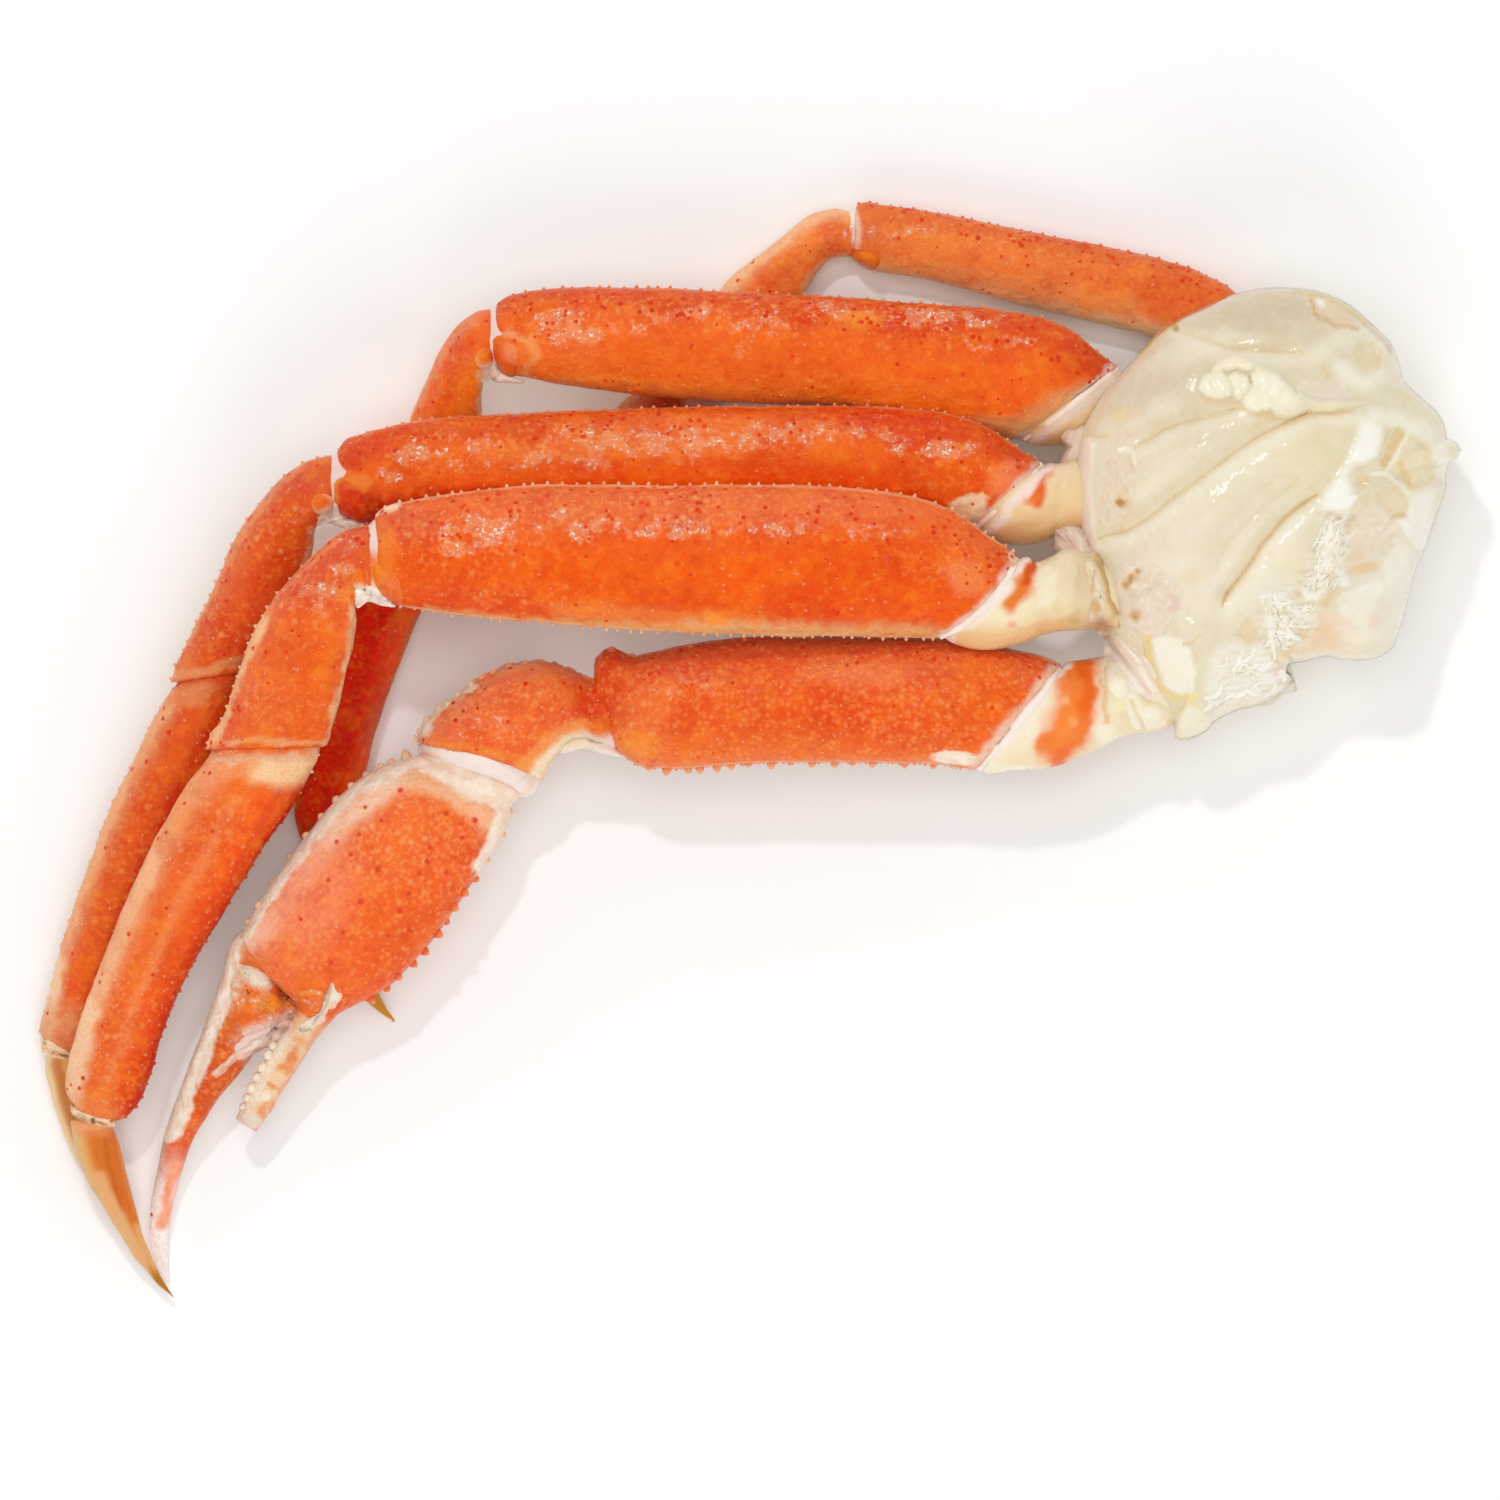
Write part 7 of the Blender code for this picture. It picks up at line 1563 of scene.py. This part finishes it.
    # painted shade in the hollows, and a darker painted ring of shade at their walls
    for amount, colour in hollow_marks:
        tone(amount, tuple(0.5 * c + 0.5 * w for c, w in zip(colour, (236, 222, 186))), 0.9)
        tone(amount * (1 - amount) * 4, (220, 194, 146), 0.25)
    tone(stroke(wx, wy, [(1399, 432), (1392, 446), (1385, 462)], 5.0, 0.4), (225, 197, 142), 0.85)
    tone(stroke(wx, wy, [(1401, 464), (1405, 474), (1409, 488)], 3.6, 0.5), (226, 200, 138), 0.85)
    tone(stroke(wx, wy, [(1390, 516), (1407, 517)], 2.4, 0.6), (222, 190, 140), 0.6)
    tone(stroke(ux, uy, [(1318, 356), (1336, 342), (1356, 334), (1378, 337), (1394, 354), (1402, 384)], 9, 1.0), (240, 233, 212), 0.6)
    tone(stroke(wx, wy, [(1340, 366), (1350, 378), (1364, 384), (1380, 378)], 7, 1.0), (246, 241, 226), 0.65)
    tone(stroke(wx, wy, [(1374, 416), (1400, 420), (1424, 430), (1440, 448), (1443, 470)], 7, 1.0), (246, 242, 228), 0.65)
    tone(thin, (246, 240, 222), 0.6)
    tone(blob(wx, wy, 1364, 568, 16, 5.5, -14, 0.6), (232, 198, 148), 0.85)
    tone(blob(wx, wy, 1356, 556, 8, 6, 0, 0.6), (234, 205, 166), 0.7)
    tone(blob(wx, wy, 1318, 636, 26, 14, 14, 0.6), (236, 204, 164), 0.85)
    tone(blob(wx, wy, 1296, 652, 18, 6, -6, 0.6), (236, 206, 160), 0.8)
    tone(blob(wx, wy, 1330, 622, 20, 8, 10, 0.6), (240, 208, 182), 0.6)
    tone(blob(wx, wy, 1373, 621, 5, 7, 0, 0.6), (240, 212, 196), 0.7)
    tone(blob(wx, wy, 1280, 674, 6, 10, 0, 0.6), (238, 206, 188), 0.8)
    tone(stroke(ux, uy, [(1296, 658), (1330, 654), (1370, 657)], 4, 0.7), (232, 222, 194), 0.7)
    tone(sponge, (234, 218, 192), 0.7)
    tone(flap, (233, 217, 196), 0.8)
    tone(flap * ramp(spongy, 0.0, 0.7), (222, 198, 170), 0.5)
    tone(flap * ramp(spongy, -0.1, -0.7), (245, 237, 222), 0.6)
    tone(flap * (1 - flap) * 4, (247, 240, 228), 0.6)
    tone(blob(wx, wy, 1172, 604, 10, 8, 0, 0.5), (228, 198, 180), 0.7)
    # painted shade in the pits: a tan ring round each and darker brown inside
    for pit in PITS:
        tone(blob(fx, fy, pit[0], pit[1], pit[2] * 1.7, pit[3] * 1.7, pit[4], 0.9), (232, 204, 156), 0.7)
        tone(blob(fx, fy, *pit, 0.9), (206, 152, 88), 0.9)
    tone(sponge * ramp(spongy, 0.1, 0.6), (218, 190, 156), 0.4)
    tone(sponge * ramp(spongy, -0.2, -0.7), (246, 240, 226), 0.5)
    tone(blob(wx, wy, 1122, 414, 14, 8, 0, 0.5), (232, 208, 150), 0.6)
    tone(curl, (249, 244, 230), 0.8)
    tone(torn * ramp(strands, -0.35, 0.35), (247, 242, 228), 0.7)
    tone(torn * ramp(strands, -0.2, -0.6), (234, 219, 194), 0.45)
    tone(plate, (243, 237, 218), 0.95)
    tone(stroke(ux, uy, [(1148, 636), (1150, 662), (1158, 686), (1176, 698), (1196, 696)], 3.2, 0.9), (240, 216, 140), 0.9)
    tone(stroke(ux, uy, [(1144, 642), (1147, 664), (1155, 690)], 1.4, 0.7), (218, 182, 108), 0.5)
    tone(stroke(ux, uy, [(1182, 644), (1191, 643), (1200, 636)], 1.4), (222, 190, 122), 0.6)
    tone(blob(ux, uy, 1192, 720, 18, 16, 20, 0.5), (240, 232, 208), 0.7)
    tone(stroke(ux, uy, [(1176, 712), (1190, 702), (1199, 706)], 2.2, 0.7), (232, 206, 140), 0.6)
    tone(strip, (238, 218, 200), 0.85)
    tone(blob(x, y, 1078, 500, 4, 40, 0, 0.5), (220, 180, 150), 0.5)
    # the gold-edged patch at the upper right and the gold edges at the left
    tone(blob(wx, wy, 1330, 310, 28, 11, 30, 0.3), (228, 204, 172), 0.95)
    tone(stroke(wx, wy, [(1296, 289), (1320, 293), (1338, 300), (1352, 308), (1364, 320)], 4, 0.6), (212, 188, 112), 0.9)
    tone(stroke(wx, wy, [(1310, 300), (1314, 312), (1324, 320), (1340, 326), (1358, 328)], 1.8, 0.6), (206, 172, 116), 0.8)
    tone(stroke(wx, wy, [(1366, 322), (1382, 336), (1392, 350)], 3.4, 0.6), (206, 168, 140), 0.7)
    tone(blob(wx, wy, 1320, 303, 6, 4, 30, 0.5), (244, 236, 222), 0.9)
    tone(stroke(ux, uy, [(1140, 352), (1158, 334), (1176, 322)], 2.6, 0.6), (212, 186, 110), 0.8)
    tone(blob(ux, uy, 1176, 328, 3.5, 3.5, 0, 0.5), (176, 136, 60), 0.85)
    tone(stroke(wx, wy, [(1082, 556), (1094, 554), (1101, 580), (1109, 605), (1118, 626)], 2.4, 0.6), (198, 160, 92), 0.85)
    fibrous = np.clip(torn + 0.25 * blob(x, y, 1290, 520, 110, 90, 0, 0.5), 0, 1)
    wet = np.clip(1 - torn * 0.6 - sponge * 0.4, 0, 1)
    return z, paint, np.stack([fibrous, wet, torn], -1)


def turned_back(edge, middle):
    """How far an outline runs back on itself as seen from a middle, in radians."""
    steps = np.diff(np.unwrap(np.arctan2(edge[:, 1] - middle[1], edge[:, 0] - middle[0])))
    return float(np.clip(-steps * np.sign(steps.sum()), 0, None).sum())


def build_shoulder():
    cell = CELL * 0.72
    count = int(2 * math.pi * 200 * UNIT / cell)
    edge = shoulder_edge(count)
    centre = np.array(SHOULDER_MIDDLE)
    reach = np.linalg.norm(edge - centre, axis=1)
    wall = 1.4 / 1000 / UNIT / reach       # the shell's thickness as a share of the reach
    side = np.array(SHOULDER_SIDE)
    run = np.concatenate([[0], np.cumsum(np.hypot(np.diff(side[:, 0]) * 33, np.diff(side[:, 1])))])
    p = curve_through(np.stack([side[:, 0] * 33, side[:, 1], 0 * run], -1), cell * 1600)
    shares, heights = p[:, 0] / 33, p[:, 1]

    def ring(share, z):
        q = centre + (edge - centre) * np.asarray(share)[..., None]
        return at(q[:, 0], q[:, 1], np.broadcast_to(np.asarray(z) / 1000, q[:, 0].shape))

    ragged = clouds(at(edge[:, 0], edge[:, 1], 0.0), 0.004, 141, 3)
    tall = 1.02 + ragged * 0.06
    low = np.clip(heights, 0, None)
    picked = list(range(1, len(shares) - 1, 2)) + [len(shares) - 1]
    rings = [ring(np.full(count, shares[k]), low[k] * np.where(low[k] > 9, tall, 1))[::2] for k in picked]
    rings += [ring(share - wall * (0.9 if share > 0.8 else 0.6), (z + (0 if share > 0.99 else 1.1)) * np.where(z > 9, tall, 1))[::2]
              for share, z in zip(shares[:0:-4], low[:0:-4])]
    surface = Surface(np.stack(rings), None, None)
    p0 = surface.p
    surface.push(clouds(p0, 0.008, 151) * 0.0003 * ramp(p0[..., 2], 0.0006, 0.004))
    surface.again()
    paint = np.broadcast_to(linear(234, 220, 194), p0.shape).copy()
    paint = paint + (linear(229, 198, 150) - paint) * (ramp(clouds(p0, 0.009, 161), 0.0, 0.8) * 0.4)[..., None]
    paint = paint + (linear(246, 236, 218) - paint) * (ramp(clouds(p0, 0.004, 171), 0.1, 0.8) * 0.5)[..., None]
    masks = np.stack([np.zeros(p0.shape[:2]), np.full(p0.shape[:2], 0.5), np.zeros(p0.shape[:2])], -1)
    obj = surface_object("shoulder_bowl", surface, BODY_SHELL, np.clip(paint, 0, 1), masks)
    finish_piece(obj, "shoulder_shell")
    # meat: inside the bowl, then over its rim and across the top
    layout = np.array(min(((x, y) for x in range(1196, 1260, 4) for y in range(440, 560, 10)), key=lambda c: turned_back(edge, c)), float)
    inner = list(zip(shares[2::3], low[2::3]))
    rings = [ring(share - wall * 1.15, (z + 1.4) * np.where(z > 9, tall, 1)) for share, z in inner]
    colours = [np.broadcast_to(linear(240, 228, 204), (count, 3))] * len(rings)
    marks = [np.zeros((count, 3))] * len(rings)
    for k, share in enumerate(np.concatenate([[0.985, 0.994, 1.0], np.linspace(1.0, 0.012, int(200 * UNIT / cell))[1:]])):
        q = layout + (edge - layout) * share
        z, paint, mask = shoulder_height(q[:, 0], q[:, 1], np.full(count, min(share, 0.9995)) if k < 3 else np.clip(share_of(q[:, 0], q[:, 1]), 0, 0.9995))
        if k < 3:
            z = 18.9 + (z - 18.9) * (0.1, 0.35, 0.7)[k]
        rings.append(at(q[:, 0], q[:, 1], z / 1000))
        colours.append(paint)
        marks.append(mask)
    surface = Surface(np.stack(rings), None, None)
    obj = surface_object("shoulder_muscle", surface, MEAT, np.clip(np.stack(colours), 0, 1), np.stack(marks))
    finish_piece(obj, "shoulder_meat")


_edge = shoulder_edge(720)
_turns = np.arctan2(_edge[:, 1] - SHOULDER_MIDDLE[1], _edge[:, 0] - SHOULDER_MIDDLE[0])
_order = np.argsort(_turns)
_reach = np.hypot(_edge[:, 0] - SHOULDER_MIDDLE[0], _edge[:, 1] - SHOULDER_MIDDLE[1])
_near = np.abs((_turns[_order][:, None] - _turns[_order][None] + math.pi) % (2 * math.pi) - math.pi)
_weight = np.exp(-(np.degrees(_near) / 8) ** 2) * np.gradient(np.unwrap(_turns[_order]))[None]
_smooth = (_weight * _reach[_order][None]).sum(1) / _weight.sum(1)


def share_of(x, y):
    """Distance from the shoulder's middle as a share of the edge's distance in that direction."""
    turn = np.arctan2(y - SHOULDER_MIDDLE[1], x - SHOULDER_MIDDLE[0])
    return np.hypot(x - SHOULDER_MIDDLE[0], y - SHOULDER_MIDDLE[1]) / np.interp(turn, _turns[_order], _reach[_order], period=2 * math.pi)


GRID = {}


def surface_z(x, y):
    """The shoulder's height in mm over the plan, read between the points of a grid made once."""
    if not GRID:
        gx, gy = np.meshgrid(np.arange(1064, 1476, 1.5), np.arange(276, 752, 1.5), indexing="ij")
        GRID["z"] = shoulder_height(gx.ravel(), gy.ravel(), np.clip(share_of(gx, gy), 0, 0.9995).ravel())[0].reshape(gx.shape)
    z = GRID["z"]
    u, v = (np.atleast_1d(np.asarray(x, float)) - 1064) / 1.5, (np.atleast_1d(np.asarray(y, float)) - 276) / 1.5
    i, j = np.clip(np.floor(u).astype(int), 0, z.shape[0] - 2), np.clip(np.floor(v).astype(int), 0, z.shape[1] - 2)
    a, b = np.clip(u - i, 0, 1), np.clip(v - j, 0, 1)
    return (z[i, j] * (1 - a) + z[i + 1, j] * a) * (1 - b) + (z[i, j + 1] * (1 - a) + z[i + 1, j + 1] * a) * b


def strand(points, wide, lift, colour, thick=0.16):
    """A soft ribbon of meat lying along plan points on the shoulder, thinner at its ends. lift in mm at its far end."""
    line = curve_through([(x, y, 0.0) for x, y in points], 3.0)[:, :2]
    z = surface_z(line[:, 0], line[:, 1])
    z = np.convolve(np.r_[z[0], z, z[-1]], [0.25, 0.5, 0.25], "valid")
    table = []
    for k, (x, y) in enumerate(line):
        s = k / (len(line) - 1)
        way = line[min(k + 1, len(line) - 1)] - line[max(k - 1, 0)]
        way = way / (np.hypot(*way) + 1e-9)
        half = wide * (0.25 + 0.75 * math.sin(math.pi * (0.08 + 0.84 * s)) ** 0.6) * (1 + 0.25 * math.sin(9 * s + x))
        height = (z[k] + 0.04 + 0.6 * lift * s) / 1000
        middle = at(x, y, height)
        side = at(x - way[1] * half, y + way[0] * half, height + 0.0001 * math.sin(7 * s + y)) - middle
        table.append(np.concatenate([middle, side, [thick / 1000 * (0.5 + 0.5 * math.sin(math.pi * (0.1 + 0.8 * s)))]]))
    surface = tube_surface(table, 2.0, (0.1, 0.1), CELL * 0.8, steps=3, least=10)
    p0 = surface.p
    surface.push(clouds(p0, 0.0010, 91, 2) * 0.00006)
    surface.again()
    paint = np.broadcast_to(linear(*colour), p0.shape).copy() * (1 + clouds(p0, 0.0016, 41, 2) * 0.04)[..., None]
    masks = np.stack([np.full(p0.shape[:2], 0.6), np.full(p0.shape[:2], 0.4), np.zeros(p0.shape[:2])], -1)
    return surface, np.clip(paint, 0, 1), masks


def build_flakes():
    """Torn ribbons and flakes of meat: x, y, reach x, reach y, direction, its spread, how many, length, width, lift."""
    parts = []
    regions = [
        (1330, 548, 12, 24, 114, 9, 64, 26, 1.3, 0.10), (1322, 578, 14, 12, 118, 22, 44, 15, 1.2, 0.30), (1276, 602, 14, 9, 160, 60, 26, 10, 1.8, 0.5),
        (1290, 622, 14, 14, 120, 60, 36, 10, 1.9, 0.5), (1280, 642, 12, 10, 60, 40, 22, 11, 1.8, 0.4), (1308, 612, 8, 8, 150, 60, 16, 8, 1.7, 0.4),
        (1250, 664, 26, 10, 150, 26, 14, 22, 3.0, 0.3), (1262, 690, 24, 8, 160, 24, 12, 18, 3.4, 0.3),
        (1284, 684, 8, 8, 30, 30, 6, 14, 3.6, 0.3), (1224, 700, 14, 12, 140, 20, 8, 20, 3.2, 0.2)]
    for cx, cy, rx, ry, turn, spread, count, long, wide, lift in regions:
        for _ in range(count):
            x, y = cx + float(np.clip(RNG.normal(0, 0.55), -1.0, 1.0)) * rx, cy + float(np.clip(RNG.normal(0, 0.55), -1.0, 1.0)) * ry
            a = math.radians(turn + float(np.clip(RNG.normal(0, spread), -1.6 * spread, 1.6 * spread)))
            bend = RNG.normal(0, 0.35)
            half = long * RNG.uniform(0.6, 1.2) / 2
            points = [(x - half * math.cos(a - bend), y - half * math.sin(a - bend)), (x, y), (x + half * math.cos(a + bend), y + half * math.sin(a + bend))]
            if share_of(*np.array(points).T).max() > 0.965:
                continue
            colour = (248, 244, 232) if RNG.random() < 0.7 else (242, 233, 214)
            parts.append(strand(points, wide * RNG.uniform(0.5, 1.2), lift * RNG.uniform(0.0, 1.2), colour))
    for points, wide, lift in (([(1286, 626), (1292, 636), (1300, 640)], 2.6, 0.4), ([(1270, 630), (1273, 644), (1275, 660)], 2.4, 0.4),
                               ([(1280, 670), (1288, 680), (1297, 690)], 3.6, 0.2)):
        parts.append(strand(points, wide, lift, (248, 244, 233), 0.2))
    joined("torn_meat", parts, FIBRE)


# ------------------------------------------------------------------ floor, light and camera
HORIZON, ZENITH = 1.0, 0.25       # the sky's brightness low down and straight above
LAMPS = [  # name, place, size, watts, whether it is mirrored in wet surfaces
    ("key", (-0.22, 0.62, 1.10), (0.075, 0.06), 2.8, True),
    ("fill", (0.10, -0.95, 0.85), (0.6, 0.6), 2.8, False),
    ("above", (0.0, 0.05, 1.50), (0.9, 0.9), 7.2, False),
]


def set_stage():
    bpy.ops.mesh.primitive_plane_add(size=6, location=(0, 0, -0.0002))
    floor = bpy.context.object
    floor.name = "floor"
    m = Nodes("floor")
    tint = m.mix(m.noise(0.4, 1), rgb(252, 252, 252), rgb(254, 254, 254))
    m.put(m.shader.inputs["Base Color"], tint)
    m.shader.inputs["Roughness"].default_value = 0.9
    m.shader.inputs["Specular IOR Level"].default_value = 0.1
    floor.data.materials.append(m.material)

    world = bpy.data.worlds.new("studio")
    world.use_nodes = True
    tree = world.node_tree
    where = tree.nodes.new("ShaderNodeTexCoord")
    split = tree.nodes.new("ShaderNodeSeparateXYZ")
    sky = tree.nodes.new("ShaderNodeMapRange")
    sky.interpolation_type = "SMOOTHSTEP"
    for key, value in (("From Min", 0.1), ("From Max", 1.0), ("To Min", HORIZON), ("To Max", ZENITH)):
        sky.inputs[key].default_value = value
    tree.links.new(where.outputs["Generated"], split.inputs[0])
    tree.links.new(split.outputs[2], sky.inputs["Value"])
    background = tree.nodes["Background"]
    background.inputs[0].default_value = (1, 1, 1, 1)
    tree.links.new(sky.outputs[0], background.inputs[1])
    bpy.context.scene.world = world
    for name, place, size, power, mirrored in LAMPS:
        data = bpy.data.lights.new(name, "AREA")
        data.shape = "RECTANGLE"
        data.size, data.size_y = size
        data.energy = power
        lamp = bpy.data.objects.new(name, data)
        lamp.location = place
        lamp.visible_glossy = mirrored
        lamp.rotation_euler = (-Vector(place)).to_track_quat("-Z", "Y").to_euler()
        bpy.context.scene.collection.objects.link(lamp)

    data = bpy.data.cameras.new("camera")
    data.sensor_width = 36
    data.lens = 18 * EYE / (750 * UNIT)
    data.clip_start, data.clip_end = 0.05, 20
    camera = bpy.data.objects.new("camera", data)
    camera.location = ((750 - MIDDLE[0]) * UNIT, (MIDDLE[1] - 750) * UNIT, EYE)
    bpy.context.scene.collection.objects.link(camera)
    bpy.context.scene.camera = camera
    bpy.context.scene.view_settings.view_transform = "Standard"


# ------------------------------------------------------------------ build
for name in SEGMENTS:
    build_shell(name)
for name in JOINTS:
    build_skin(name)
build_knees()
build_claw_joint()
build_sutures()
build_folds()
build_shoulder()
build_flakes()
set_stage()
